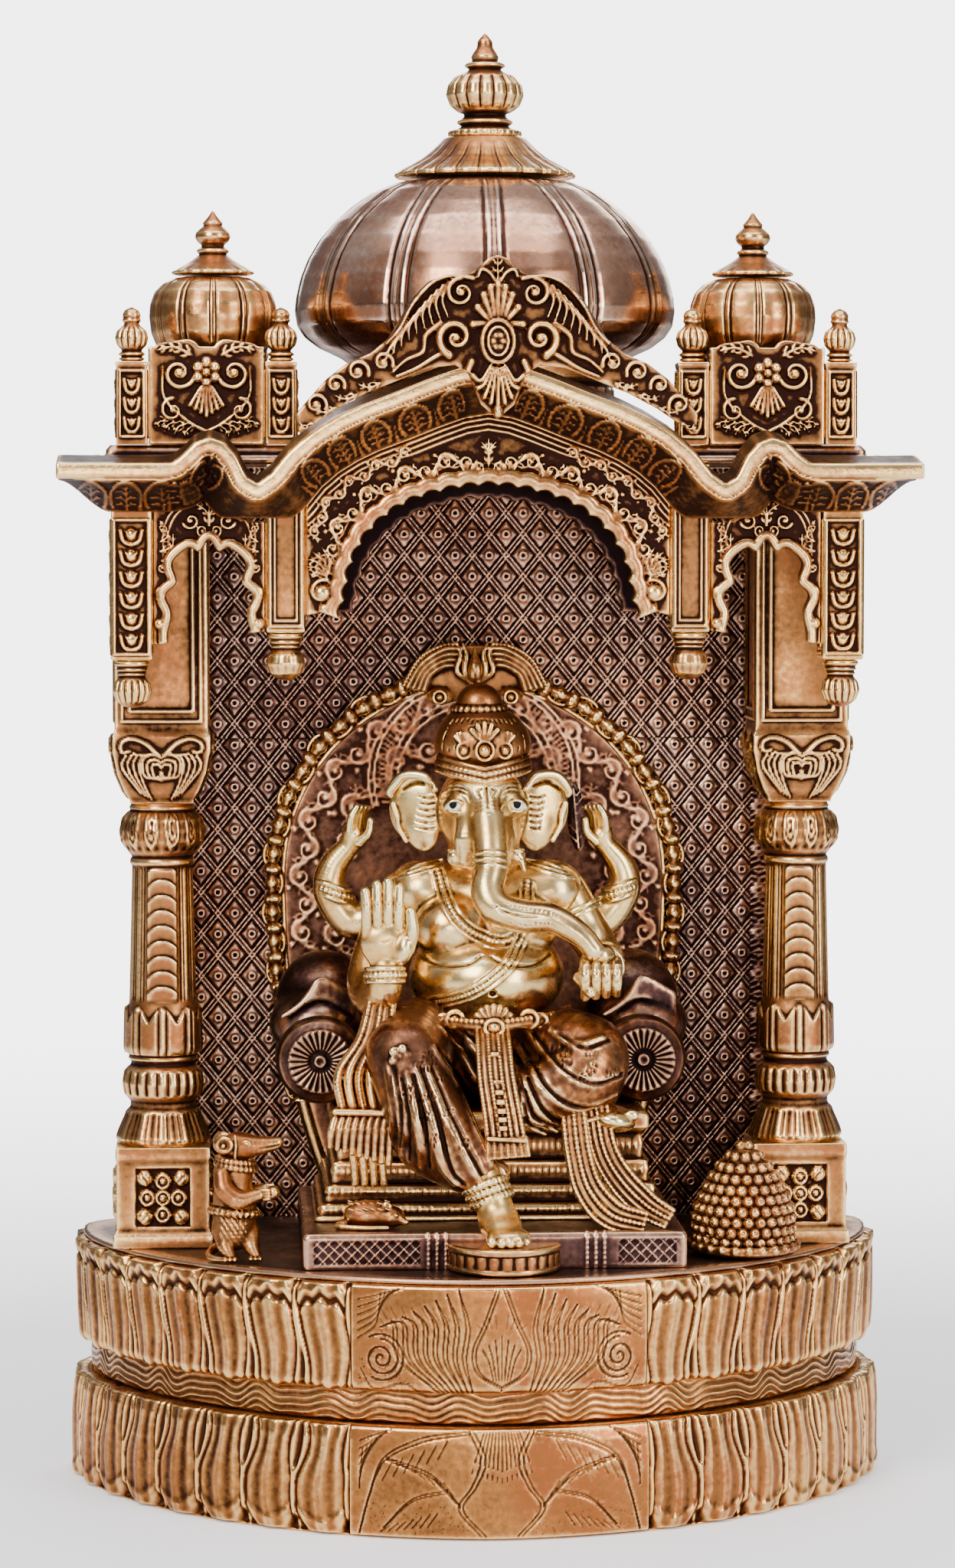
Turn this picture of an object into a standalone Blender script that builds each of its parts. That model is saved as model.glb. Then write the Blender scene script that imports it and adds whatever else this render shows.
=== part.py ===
"""Four-armed Ganesha seated in a pillared, domed brass shrine.

Metres, +Z up, front towards -Y. Every casting is its own closed object; touching
castings are kept GAP apart, so that no two of them overlap.
"""
import math

import bmesh
import bpy
from mathutils import Matrix, Vector

GAP = 0.0003

# Base: an oval plan with a full front and a shallow rounded rear.
BASE_HALF_WIDTH = 0.2675
BASE_WIDEST_Y = 0.085
BASE_FRONT = 0.2415
BASE_REAR = 0.0715
LOWER_TOP = 0.0690
WAIST_TOP = 0.0900
UPPER_TOP = 0.1565
DECK_Z = 0.1600

# Pillars
PILLAR_X = 0.2047
PILLAR_Y = 0.0200
PEDESTAL_TOP = 0.2245
SHAFT_TOP = 0.4443
CAPITAL_TOP = 0.6597
BOLT_RADIUS = 0.0030
BORE_RADIUS = 0.0035

# Canopy
ROOF_Z = 0.6600
ROOF_TOP = 0.6720
SCREEN_FRONT = -0.0785
SCREEN_BACK = -0.0705
EAVE_FRONT = -0.1200
EAVE_THICK = 0.0100
EAVE_RISE = 0.0060
EAVE_TIP_X = 0.2671
OUTER_POST_X = 0.2218
INNER_POST_X = 0.1262
POST_Y = -0.0665
DOME_X = 0.0030
DOME_Y = 0.0200
DRUM_TOP = 0.7220
SMALL_DOME_X = 0.1709
SMALL_DOME_Y = -0.0200

# Throne and figure
PLINTH_TOP = 0.1830
SEAT_TOP = 0.2505
HALO_Y = 0.1000
HALO_Z = 0.3900


def clear_scene():
    for obj in list(bpy.data.objects):
        bpy.data.objects.remove(obj)


def make_material(name, colour, rough, metal):
    mat = bpy.data.materials.new(name)
    mat.use_nodes = True
    shader = mat.node_tree.nodes["Principled BSDF"]
    shader.inputs["Base Color"].default_value = (*colour, 1.0)
    shader.inputs["Roughness"].default_value = rough
    shader.inputs["Metallic"].default_value = metal
    return mat


def new_object(name, bm, mat, collection=None):
    bmesh.ops.recalc_face_normals(bm, faces=bm.faces)
    mesh = bpy.data.meshes.new(name)
    bm.to_mesh(mesh)
    bm.free()
    mesh.materials.append(mat)
    obj = bpy.data.objects.new(name, mesh)
    (collection or idol).objects.link(obj)
    return obj


def add_rings(bm, rings):
    return [[bm.verts.new(p) for p in ring] for ring in rings]


def bridge(bm, low, high, closed=True):
    count = len(low)
    for i in range(count if closed else count - 1):
        j = (i + 1) % count
        bm.faces.new((low[i], low[j], high[j], high[i]))


def loft(name, rings, mat, collection=None):
    """A solid through rings of equal length, with a face at each end."""
    bm = bmesh.new()
    loops = add_rings(bm, rings)
    for low, high in zip(loops, loops[1:]):
        bridge(bm, low, high)
    bm.faces.new(loops[0])
    bm.faces.new(loops[-1])
    return new_object(name, bm, mat, collection)


def shell(name, rings, mat):
    """A ring-shaped solid: the last ring joins back to the first."""
    bm = bmesh.new()
    loops = add_rings(bm, rings)
    for low, high in zip(loops, loops[1:] + loops[:1]):
        bridge(bm, low, high)
    return new_object(name, bm, mat)


def circle(x, y, z, radius, count=24, ry=None, power=2.0):
    """A horizontal ring, round for power 2 and squarer above it."""
    points = []
    for i in range(count):
        a = 2 * math.pi * i / count
        c = math.cos(a)
        s = math.sin(a)
        px = math.copysign(abs(c) ** (2 / power), c)
        py = math.copysign(abs(s) ** (2 / power), s)
        points.append((x + radius * px, y + (ry or radius) * py, z))
    return points


def square(x, y, z, half, count=16):
    """A horizontal square, its points at the same angles as a circle's."""
    points = []
    for i in range(count):
        a = 2 * math.pi * i / count
        k = half / max(abs(math.cos(a)), abs(math.sin(a)))
        points.append((x + k * math.cos(a), y + k * math.sin(a), z))
    return points


def profile_object(name, x, y, points, closed, mat, count):
    """Turn (radius, height) points, listed down the outer side, about a vertical axis."""
    bm = bmesh.new()
    verts = [bm.verts.new((r, 0, z)) for r, z in points]
    for first, second in zip(verts, verts[1:]):
        bm.edges.new((first, second))
    if closed:
        bm.edges.new((verts[-1], verts[0]))
    mesh = bpy.data.meshes.new(name)
    bm.to_mesh(mesh)
    bm.free()
    mesh.materials.append(mat)
    obj = bpy.data.objects.new(name, mesh)
    obj.location = (x, y, 0)
    idol.objects.link(obj)
    turn = obj.modifiers.new("turn", "SCREW")
    turn.steps = count
    turn.render_steps = count
    turn.use_merge_vertices = True
    turn.merge_threshold = 0.00005
    return obj


def turned(name, x, y, profile, mat, count=24):
    """A solid of revolution through (radius, height) pairs, bottom to top."""
    points = [(0.0, profile[-1][1])] + profile[::-1] + [(0.0, profile[0][1])]
    return profile_object(name, x, y, points, False, mat, count)


def turned_shell(name, x, y, outer, inner, mat, count=24):
    """A hollow turned piece: the outer side bottom to top, then the inner side top to bottom."""
    return profile_object(name, x, y, outer[::-1] + inner[::-1], True, mat, count)


def sloped_section(point, direction, rx, ry, count=14):
    """An oval across a tube that runs along direction."""
    z_axis = Vector(direction).normalized()
    side = Vector((1, 0, 0)) if abs(z_axis.x) < 0.8 else Vector((0, 1, 0))
    y_axis = z_axis.cross(side).normalized()
    x_axis = y_axis.cross(z_axis)
    ring = []
    for i in range(count):
        a = 2 * math.pi * i / count
        p = Vector(point) + x_axis * rx * math.cos(a) + y_axis * ry * math.sin(a)
        ring.append(tuple(p))
    return ring


def limb(name, stations, mat, collection=None, count=14):
    """A tube through (x, y, z, rx, ry) stations."""
    rings = []
    for i, (x, y, z, rx, ry) in enumerate(stations):
        before = Vector(stations[max(i - 1, 0)][:3])
        after = Vector(stations[min(i + 1, len(stations) - 1)][:3])
        rings.append(sloped_section((x, y, z), after - before, rx, ry, count))
    return loft(name, rings, mat, collection)


def slab(name, outline, y_front, y_back, mat):
    """An upright plate: an (x, z) outline given depth along Y."""
    curve = bpy.data.curves.new(name, "CURVE")
    curve.dimensions = "2D"
    curve.fill_mode = "BOTH"
    curve.extrude = (y_back - y_front) / 2
    edge = curve.splines.new("POLY")
    edge.points.add(len(outline) - 1)
    for point, (x, z) in zip(edge.points, outline):
        point.co = (x, z, 0, 1)
    edge.use_cyclic_u = True
    curve.materials.append(mat)
    obj = bpy.data.objects.new(name, curve)
    obj.rotation_euler = (math.pi / 2, 0, 0)
    obj.location = (0, (y_front + y_back) / 2, 0)
    idol.objects.link(obj)
    return obj


def block(name, low, high, mat):
    """A box between two opposite corners."""
    bm = bmesh.new()
    bmesh.ops.create_cube(bm, size=1.0)
    size = [b - a for a, b in zip(low, high)]
    middle = [(a + b) / 2 for a, b in zip(low, high)]
    bmesh.ops.scale(bm, vec=size, verts=bm.verts)
    obj = new_object(name, bm, mat)
    obj.location = middle
    return obj


def mirrored(points, side):
    return [(side * p[0], *p[1:]) for p in points]


def drill(obj, x, y, z_low, z_high, radius):
    """Cut one round vertical hole."""
    bm = bmesh.new()
    bmesh.ops.create_cone(bm, cap_ends=True, segments=16, radius1=radius, radius2=radius, depth=z_high - z_low)
    cutter = new_object(obj.name + "_hole", bm, brass, cutters)
    cutter.location = (x, y, (z_low + z_high) / 2)
    cutter.hide_render = True
    cutter.display_type = "WIRE"
    cut = obj.modifiers.new("hole", "BOOLEAN")
    cut.operation = "DIFFERENCE"
    cut.solver = "EXACT"
    cut.object = cutter


def fuse(obj, others):
    """Join castings that are one piece of metal in the real object."""
    for other in others:
        other.hide_render = True
        other.display_type = "WIRE"
        join = obj.modifiers.new("join", "BOOLEAN")
        join.operation = "UNION"
        join.solver = "EXACT"
        join.object = other


# ---------------------------------------------------------------- base

def base_ring(inset, z, count=60):
    """The base's oval plan, drawn in by inset."""
    ring = []
    for i in range(count):
        a = 2 * math.pi * (i + 0.5) / count
        c = math.cos(a)
        s = math.sin(a)
        power = 1.8 if s < 0 else 3.2
        depth = (BASE_FRONT if s < 0 else BASE_REAR) - inset
        x = (BASE_HALF_WIDTH - inset) * math.copysign(abs(c) ** (2 / power), c)
        y = depth * math.copysign(abs(s) ** (2 / power), s)
        ring.append((x, BASE_WIDEST_Y + y, z))
    return ring


def base_shell(name, profile, wall, mat):
    outer = [base_ring(inset, z) for inset, z in profile]
    inner = [base_ring(inset + wall, z) for inset, z in (profile[-1], profile[0])]
    return shell(name, outer + inner, mat)


def build_base():
    lower = [(0, 0), (0, 0.006), (0.007, 0.011), (0.002, 0.028), (0.0005, 0.050)]
    lower += [(0.002, 0.060), (0.006, LOWER_TOP)]
    base_shell("base_lower_tier", lower, 0.0075, brass)
    waist = [(0.0145, LOWER_TOP + GAP), (0.0125, 0.0795), (0.0145, WAIST_TOP - GAP)]
    base_shell("base_waist_band", waist, 0.006, dark)
    upper = [(0.014, WAIST_TOP), (0.006, 0.098), (0.0045, 0.120), (0.0040, 0.145)]
    upper += [(0.0048, 0.152), (0.0065, UPPER_TOP)]
    base_shell("base_upper_tier", upper, 0.0075, brass)
    deck = loft("base_deck_plate", [base_ring(0.0068, UPPER_TOP + GAP), base_ring(0.0080, DECK_Z)], dark)
    for side in (-1, 1):
        drill(deck, side * PILLAR_X, PILLAR_Y, 0.15, 0.17, BORE_RADIUS)


# ---------------------------------------------------------------- pillars

def build_pillar(prefix, side):
    x = side * PILLAR_X
    y = PILLAR_Y
    pedestal = [(0.0318, DECK_Z + GAP), (0.0318, 0.1680), (0.0296, 0.1710), (0.0296, 0.2130)]
    pedestal += [(0.0312, 0.2170), (0.0312, PEDESTAL_TOP)]
    rings = [square(x, y, z, half) for half, z in pedestal]
    bore = [circle(x, y, pedestal[i][1], BORE_RADIUS, 16) for i in (-1, 0)]
    shell(prefix + "_pillar_pedestal", rings + bore, brass)

    shaft = [(0.0285, PEDESTAL_TOP + GAP), (0.0290, 0.2300), (0.0225, 0.2450), (0.0215, 0.2520)]
    shaft += [(0.0262, 0.2590), (0.0262, 0.2690), (0.0218, 0.2770), (0.0228, 0.2810)]
    shaft += [(0.0195, 0.4060), (0.0225, 0.4120), (0.0263, 0.4210), (0.0255, 0.4330), (0.0205, SHAFT_TOP)]
    bore = [(BORE_RADIUS, shaft[-1][1]), (BORE_RADIUS, shaft[0][1])]
    turned_shell(prefix + "_pillar_shaft", x, y, shaft, bore, brass, 20)

    capital = [(0.0200, SHAFT_TOP + GAP), (0.0205, 0.4480), (0.0290, 0.4740), (0.0312, 0.4780)]
    capital += [(0.0312, 0.4870), (0.0296, 0.4900), (0.0296, CAPITAL_TOP)]
    rings = [square(x, y, z, half) for half, z in capital]
    hole = [circle(x, y, z, BORE_RADIUS, 16) for z in (0.6350, capital[0][1])]
    bm = bmesh.new()
    loops = add_rings(bm, rings + hole)
    for low, high in zip(loops[:7], loops[1:7]):
        bridge(bm, low, high)
    bridge(bm, loops[7], loops[8])
    bridge(bm, loops[8], loops[0])
    bm.faces.new(loops[6])
    bm.faces.new(loops[7])
    new_object(prefix + "_pillar_capital", bm, brass)

    bolt = [circle(x, y, z, 0.0055, 6) for z in (0.1510, 0.1562)]
    bm = bmesh.new()
    head = add_rings(bm, bolt)
    rod = add_rings(bm, [circle(x, y, z, BOLT_RADIUS, 12) for z in (0.1562, 0.6300)])
    bridge(bm, head[0], head[1])
    bridge(bm, rod[0], rod[1])
    bm.faces.new(head[0])
    bm.faces.new(rod[1])
    for i in range(6):
        j = (i + 1) % 6
        inner = [rod[0][(2 * i + k) % 12] for k in (0, 1, 2)]
        bm.faces.new((head[1][i], head[1][j], inner[2], inner[1], inner[0]))
    new_object(prefix + "_pillar_tie_bolt", bm, steel)


def build_walls():
    block("back_plate", (-0.2000, 0.1205, DECK_Z + GAP), (0.2000, 0.1255, CAPITAL_TOP), dark)
    for prefix, side in (("left", -1), ("right", 1)):
        xs = sorted((side * 0.2003, side * 0.2063))
        low = (xs[0], 0.0540, DECK_Z + GAP)
        block(prefix + "_side_wall", low, (xs[1], 0.1255, CAPITAL_TOP), dark)


# ---------------------------------------------------------------- canopy

EAVE_LINE = (
    (0.0000, 0.7215), (0.0226, 0.7177), (0.0400, 0.7115), (0.0600, 0.7035), (0.0800, 0.6960),
    (0.0960, 0.6884), (0.1110, 0.6790), (0.1250, 0.6670), (0.1360, 0.6535), (0.1440, 0.6478),
    (0.1500, 0.6515), (0.1560, 0.6640), (0.1640, 0.6730), (0.1730, 0.6760), (0.1820, 0.6730),
    (0.1900, 0.6650), (0.1960, 0.6605), (0.2060, 0.6600), (0.2400, 0.6602), (EAVE_TIP_X, 0.6604),
)


def eave_height(x):
    """Top of the front eave's edge at a distance from the middle."""
    x = abs(x)
    for (x0, z0), (x1, z1) in zip(EAVE_LINE, EAVE_LINE[1:]):
        if x <= x1:
            return z0 + (z1 - z0) * (x - x0) / (x1 - x0)
    return EAVE_LINE[-1][1]


def build_eaves():
    line = mirrored(EAVE_LINE[:0:-1], -1) + list(EAVE_LINE)
    rings = []
    for x, z in line:
        back = POST_Y - 0.0135 - GAP
        top = z + EAVE_RISE
        rings.append([(x, EAVE_FRONT, z - EAVE_THICK), (x, EAVE_FRONT, z), (x, back, top), (x, back, top - EAVE_THICK)])
    loft("front_eave", rings, brass)
    for prefix, side in (("left", -1), ("right", 1)):
        tip = side * EAVE_TIP_X
        root = side * 0.2403
        rings = []
        for y in (SCREEN_FRONT, 0.1550):
            rings.append([(tip, y, 0.6506), (tip, y, 0.6604), (root, y, 0.6664), (root, y, 0.6566)])
        loft(prefix + "_side_eave", rings, brass)
    block("canopy_roof", (-0.2400, -0.0702, ROOF_Z), (0.2400, 0.1500, ROOF_TOP), dark)


def cusps(half, spring, crown, lobes, depth):
    """The underside of a cusped arch, from its left springing to its right."""
    points = []
    for i in range(lobes * 4 + 1):
        t = i / (lobes * 4)
        a = math.pi * (1 - t)
        bite = depth * abs(math.sin(math.pi * t * lobes))
        reach = 1 + (bite - depth) / half
        x = half * math.cos(a) * reach
        z = spring + (crown - spring) * math.sin(a) ** 0.8 * reach
        points.append((x, z))
    return points


def build_arches():
    edge = 0.1134
    opening = cusps(0.0880, 0.5760, 0.6440, 9, 0.0040)
    top = [(x, eave_height(x)) for x in (edge, 0.096, 0.080, 0.060, 0.040, 0.0226, 0.0)]
    top = top + mirrored(top[-2::-1], -1)
    outline = opening + [(0.0950, 0.5700), (edge, 0.5640)] + top + [(-edge, 0.5640), (-0.0950, 0.5700)]
    slab("central_arch", outline, SCREEN_FRONT, SCREEN_BACK, brass)
    for prefix, side in (("left", -1), ("right", 1)):
        middle = 0.17355
        half = 0.03445
        opening = [(middle + x, z) for x, z in cusps(0.0225, 0.5700, 0.6180, 3, 0.0040)]
        outline = opening + [(middle + 0.0265, 0.5560), (middle + half, 0.5450), (middle + half, 0.6597)]
        outline += [(middle - half, 0.6597), (middle - half, 0.5580), (middle - 0.0265, 0.5640)]
        slab(prefix + "_side_arch", mirrored(outline, side), SCREEN_FRONT, SCREEN_BACK, brass)


def build_hanging_post(name, x, half, bottom):
    pendant = [(0.0040, bottom), (0.0100, bottom + 0.0040), (0.0120, bottom + 0.0120), (0.0100, bottom + 0.0180)]
    pendant += [(0.0080, bottom + 0.0210), (0.0115, bottom + 0.0250), (0.0090, bottom + 0.0290)]
    rings = [circle(x, POST_Y, z, r, 16) for r, z in pendant]
    rings += [square(x, POST_Y, z, half) for z in (bottom + 0.0300, CAPITAL_TOP)]
    loft(name, rings, brass)


def build_parapet_post(name, x):
    y = -0.0600
    rings = [square(x, y, z, 0.0100) for z in (ROOF_TOP + GAP, 0.7237)]
    bud = [(0.0070, 0.7245), (0.0085, 0.7280), (0.0060, 0.7310), (0.0098, 0.7360), (0.0098, 0.7420)]
    bud += [(0.0055, 0.7460), (0.0045, 0.7490), (0.0060, 0.7520), (0.0050, 0.7550), (0.0010, 0.7575)]
    rings += [circle(x, y, z, r, 16) for r, z in bud]
    loft(name, rings, brass)


def build_parapet():
    for prefix, side in (("left", -1), ("right", 1)):
        build_hanging_post(prefix + "_outer_hanging_post", side * OUTER_POST_X, 0.0135, 0.5082)
        build_hanging_post(prefix + "_inner_hanging_post", side * INNER_POST_X, 0.0125, 0.5253)
        build_parapet_post(prefix + "_outer_parapet_post", side * 0.2213)
        build_parapet_post(prefix + "_inner_parapet_post", side * 0.1286)
        xs = sorted((side * 0.1389, side * 0.2110))
        block(prefix + "_parapet", (xs[0], -0.0700, ROOF_TOP + GAP), (xs[1], -0.0630, 0.7380), brass)
    outline = [(0.0000, 0.6863), (0.0120, 0.6960), (0.0200, 0.7150), (0.0300, 0.7160), (0.0600, 0.7060)]
    outline += [(0.0960, 0.6920), (0.1230, 0.6760), (0.1250, 0.7000), (0.1050, 0.7180), (0.0800, 0.7300)]
    outline += [(0.0600, 0.7500), (0.0480, 0.7720), (0.0300, 0.7810), (0.0150, 0.7790), (0.0080, 0.7853)]
    outline = outline + mirrored(outline[:0:-1], -1)
    slab("crest_ornament", outline, -0.1285, -0.1203, brass)


def build_domes():
    wall = 0.0040
    drum = [(0.0830, ROOF_TOP + GAP), (0.0840, DRUM_TOP)]
    bore = [(r - wall, z) for r, z in drum[::-1]]
    turned_shell("dome_drum", DOME_X, DOME_Y, drum, bore, brass, 32)
    outer = [(0.0840, DRUM_TOP + GAP), (0.0920, 0.7290), (0.1110, 0.7390), (0.1195, 0.7480)]
    outer += [(0.1217, 0.7590), (0.1200, 0.7720), (0.1140, 0.7900), (0.1030, 0.8080), (0.0880, 0.8240)]
    outer += [(0.0720, 0.8350), (0.0560, 0.8410), (0.0120, 0.8430)]
    inner = [(0.0120, 0.8385), (0.0550, 0.8370), (0.0840, 0.8200), (0.1100, 0.7860), (0.1177, 0.7590)]
    inner += [(0.1080, 0.7420), (0.0800, DRUM_TOP + GAP)]
    turned_shell("main_dome", DOME_X, DOME_Y, outer, inner, brass, 32)
    collar = [(0.0560, 0.8434), (0.0580, 0.8450), (0.0520, 0.8510), (0.0370, 0.8600), (0.0250, 0.8690)]
    turned("dome_collar", DOME_X, DOME_Y, collar, brass, 24)
    finial = [(0.0230, 0.8693), (0.0235, 0.8730), (0.0150, 0.8760), (0.0180, 0.8790), (0.0140, 0.8830)]
    finial += [(0.0220, 0.8890), (0.0250, 0.8970), (0.0220, 0.9050), (0.0120, 0.9110), (0.0100, 0.9150)]
    finial += [(0.0120, 0.9180), (0.0070, 0.9230), (0.0050, 0.9300), (0.0012, 0.9357)]
    turned("dome_finial", DOME_X, DOME_Y, finial, brass, 20)
    for prefix, side in (("left", -1), ("right", 1)):
        x = side * SMALL_DOME_X
        outer = [(0.0330, ROOF_TOP + GAP), (0.0330, 0.7310), (0.0375, 0.7400), (0.0400, 0.7530), (0.0385, 0.7640)]
        outer += [(0.0320, 0.7730), (0.0220, 0.7780), (0.0060, 0.7790)]
        inner = [(0.0060, 0.7760), (0.0210, 0.7750), (0.0300, 0.7705), (0.0355, 0.7630), (0.0370, 0.7530)]
        inner += [(0.0345, 0.7410), (0.0300, 0.7320), (0.0300, ROOF_TOP + GAP)]
        turned_shell(prefix + "_small_dome", x, SMALL_DOME_Y, outer, inner, brass, 18)
        finial = [(0.0250, 0.7793), (0.0260, 0.7815), (0.0150, 0.7880), (0.0075, 0.7930), (0.0095, 0.7960)]
        finial += [(0.0070, 0.7990), (0.0085, 0.8030), (0.0100, 0.8060), (0.0070, 0.8100), (0.0035, 0.8140), (0.0010, 0.8197)]
        turned(prefix + "_small_dome_finial", x, SMALL_DOME_Y, finial, brass, 16)


# ---------------------------------------------------------------- throne

def build_throne():
    section = [(-0.1170, DECK_Z + GAP), (-0.1150, PLINTH_TOP), (0.1210, PLINTH_TOP), (0.1230, DECK_Z + GAP)]
    slab("throne_plinth", section, -0.1050, 0.1100, brass)
    rings = []
    for z, half, front in ((PLINTH_TOP + GAP, 0.1120, -0.0560), (0.2050, 0.1110, -0.0550), (0.2060, 0.1040, -0.0480), (SEAT_TOP, 0.1040, -0.0480)):
        rings.append([(0.003 - half, front, z), (0.003 + half, front, z), (0.003 + half, 0.0925, z), (0.003 - half, 0.0925, z)])
    loft("throne_seat", rings, dark)
    arc = [math.pi * (1 + i / 14) for i in range(15)]
    rings = []
    for z, radius in ((DECK_Z + GAP, 0.0365), (0.1640, 0.0365), (0.1660, 0.0335), (0.1735, 0.0335), (0.1775, 0.0355)):
        rings.append([(0.0083 + radius * math.cos(a), -0.1053 + radius * math.sin(a), z) for a in arc])
    loft("footstool", rings, brass)
    for prefix, x in (("left", -0.1040), ("right", 0.1030)):
        rings = []
        for y, radius in ((-0.0160, 0.0200), (-0.0120, 0.0275), (0.0000, 0.0290), (0.0700, 0.0290), (0.0820, 0.0275)):
            middle = SEAT_TOP + GAP + 0.0290
            rings.append([(px, y, middle + pz) for px, pz, _ in circle(x, 0, 0, radius, 20)])
        loft(prefix + "_bolster", rings, dark)


def halo_point(t, grow):
    """A point on the horseshoe edge: t runs 0 to 1 from the left foot to the right foot."""
    a = math.radians(-43 + 266 * (1 - t))
    drop = 0.0 if math.sin(a) >= 0 else 1.0
    reach = 0.1280 + grow
    height = reach if not drop else 0.3000
    return (reach * math.cos(a), HALO_Z + height * math.sin(a))


def build_halo():
    steps = 40
    edge = [halo_point(i / steps, -0.0003) for i in range(steps + 1)]
    slab("halo_plate", edge, HALO_Y, HALO_Y + 0.0035, brass)
    rings = []
    for i in range(steps + 1):
        near = halo_point(i / steps, 0.0003)
        far = halo_point(i / steps, 0.0125)
        rings.append([(near[0], 0.0930, near[1]), (far[0], 0.0930, far[1]), (far[0], 0.1090, far[1]), (near[0], 0.1090, near[1])])
    loft("halo_garland", rings, brass)
    crest = [(-0.0480, 0.5060), (-0.0400, 0.5250), (-0.0250, 0.5370), (-0.0080, 0.5400), (0.0000, 0.5470)]
    crest = crest + mirrored(crest[-2::-1], -1)
    slab("halo_crest", crest, 0.0780, 0.0927, brass)


# ---------------------------------------------------------------- figure

def build_body():
    stations = [(0.001, 0.022, SEAT_TOP + GAP, 0.0560, 0.0460), (0.001, 0.020, 0.2650, 0.0640, 0.0520)]
    stations += [(0.001, 0.012, 0.2900, 0.0560, 0.0520), (0.003, 0.000, 0.3150, 0.0500, 0.0520)]
    stations += [(0.003, 0.000, 0.3300, 0.0470, 0.0490), (0.002, 0.004, 0.3480, 0.0410, 0.0400)]
    stations += [(0.001, 0.008, 0.3680, 0.0420, 0.0340), (0.000, 0.010, 0.3880, 0.0440, 0.0280)]
    stations += [(0.000, 0.010, 0.3990, 0.0380, 0.0230), (0.000, 0.008, 0.4080, 0.0240, 0.0190)]
    rings = [circle(x, y, z, rx, 20, ry, 2.3) for x, y, z, rx, ry in stations]
    body = loft("idol_body", rings, brass)
    hanging = [(-0.030, -0.020, 0.2830, 0.0200, 0.0200), (-0.048, -0.052, 0.2850, 0.0210, 0.0230)]
    hanging += [(-0.050, -0.075, 0.2750, 0.0200, 0.0220), (-0.030, -0.088, 0.2420, 0.0170, 0.0150)]
    hanging += [(-0.008, -0.100, 0.2120, 0.0120, 0.0110), (0.000, -0.108, 0.1960, 0.0110, 0.0110)]
    hanging += [(0.005, -0.115, 0.1935, 0.0110, 0.0080)]
    folded = [(0.030, -0.020, 0.2830, 0.0200, 0.0220), (0.056, -0.050, 0.2870, 0.0210, 0.0230)]
    folded += [(0.064, -0.066, 0.2780, 0.0180, 0.0200), (0.048, -0.076, 0.2640, 0.0150, 0.0160)]
    folded += [(0.020, -0.080, 0.2560, 0.0130, 0.0120), (0.000, -0.078, 0.2540, 0.0100, 0.0080)]
    foot = [(0.005, -0.107, 0.1935, 0.0105, 0.0085), (0.007, -0.120, 0.1880, 0.0125, 0.0078), (0.009, -0.136, 0.1850, 0.0120, 0.0060)]
    parts = [limb("cut_hanging_leg", hanging, brass, cutters), limb("cut_folded_leg", folded, brass, cutters)]
    parts.append(limb("cut_foot", foot, brass, cutters))
    fuse(body, parts)


def build_arms():
    blessing = [(-0.0600, 0.004, 0.3840, 0.0120, 0.0120), (-0.0680, -0.002, 0.3660, 0.0115, 0.0115)]
    blessing += [(-0.0740, -0.012, 0.3420, 0.0105, 0.0105), (-0.0720, -0.034, 0.3330, 0.0100, 0.0095)]
    blessing += [(-0.0660, -0.054, 0.3380, 0.0100, 0.0085), (-0.0640, -0.061, 0.3520, 0.0150, 0.0060)]
    blessing += [(-0.0640, -0.061, 0.3700, 0.0170, 0.0055), (-0.0635, -0.061, 0.3860, 0.0140, 0.0045), (-0.0635, -0.061, 0.4030, 0.0100, 0.0030)]
    limb("front_right_arm", blessing, brass)
    holding = [(0.0600, 0.004, 0.3840, 0.0120, 0.0120), (0.0700, -0.002, 0.3660, 0.0115, 0.0115)]
    holding += [(0.0780, -0.012, 0.3420, 0.0105, 0.0105), (0.0780, -0.036, 0.3300, 0.0100, 0.0095)]
    holding += [(0.0740, -0.056, 0.3290, 0.0105, 0.0100), (0.0710, -0.072, 0.3340, 0.0150, 0.0120), (0.0700, -0.078, 0.3430, 0.0110, 0.0090)]
    limb("front_left_arm", holding, brass)
    for name, side in (("rear_right_arm", -1), ("rear_left_arm", 1)):
        rear = [(0.0620, 0.0330, 0.3720, 0.0100, 0.0100), (0.0800, 0.0340, 0.3640, 0.0100, 0.0100)]
        rear += [(0.0930, 0.0330, 0.3740, 0.0095, 0.0095), (0.0960, 0.0310, 0.3930, 0.0085, 0.0085)]
        rear += [(0.0870, 0.0280, 0.4110, 0.0080, 0.0075), (0.0780, 0.0260, 0.4250, 0.0120, 0.0085), (0.0730, 0.0250, 0.4400, 0.0080, 0.0050)]
        limb(name, mirrored(rear, side), brass)


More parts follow.
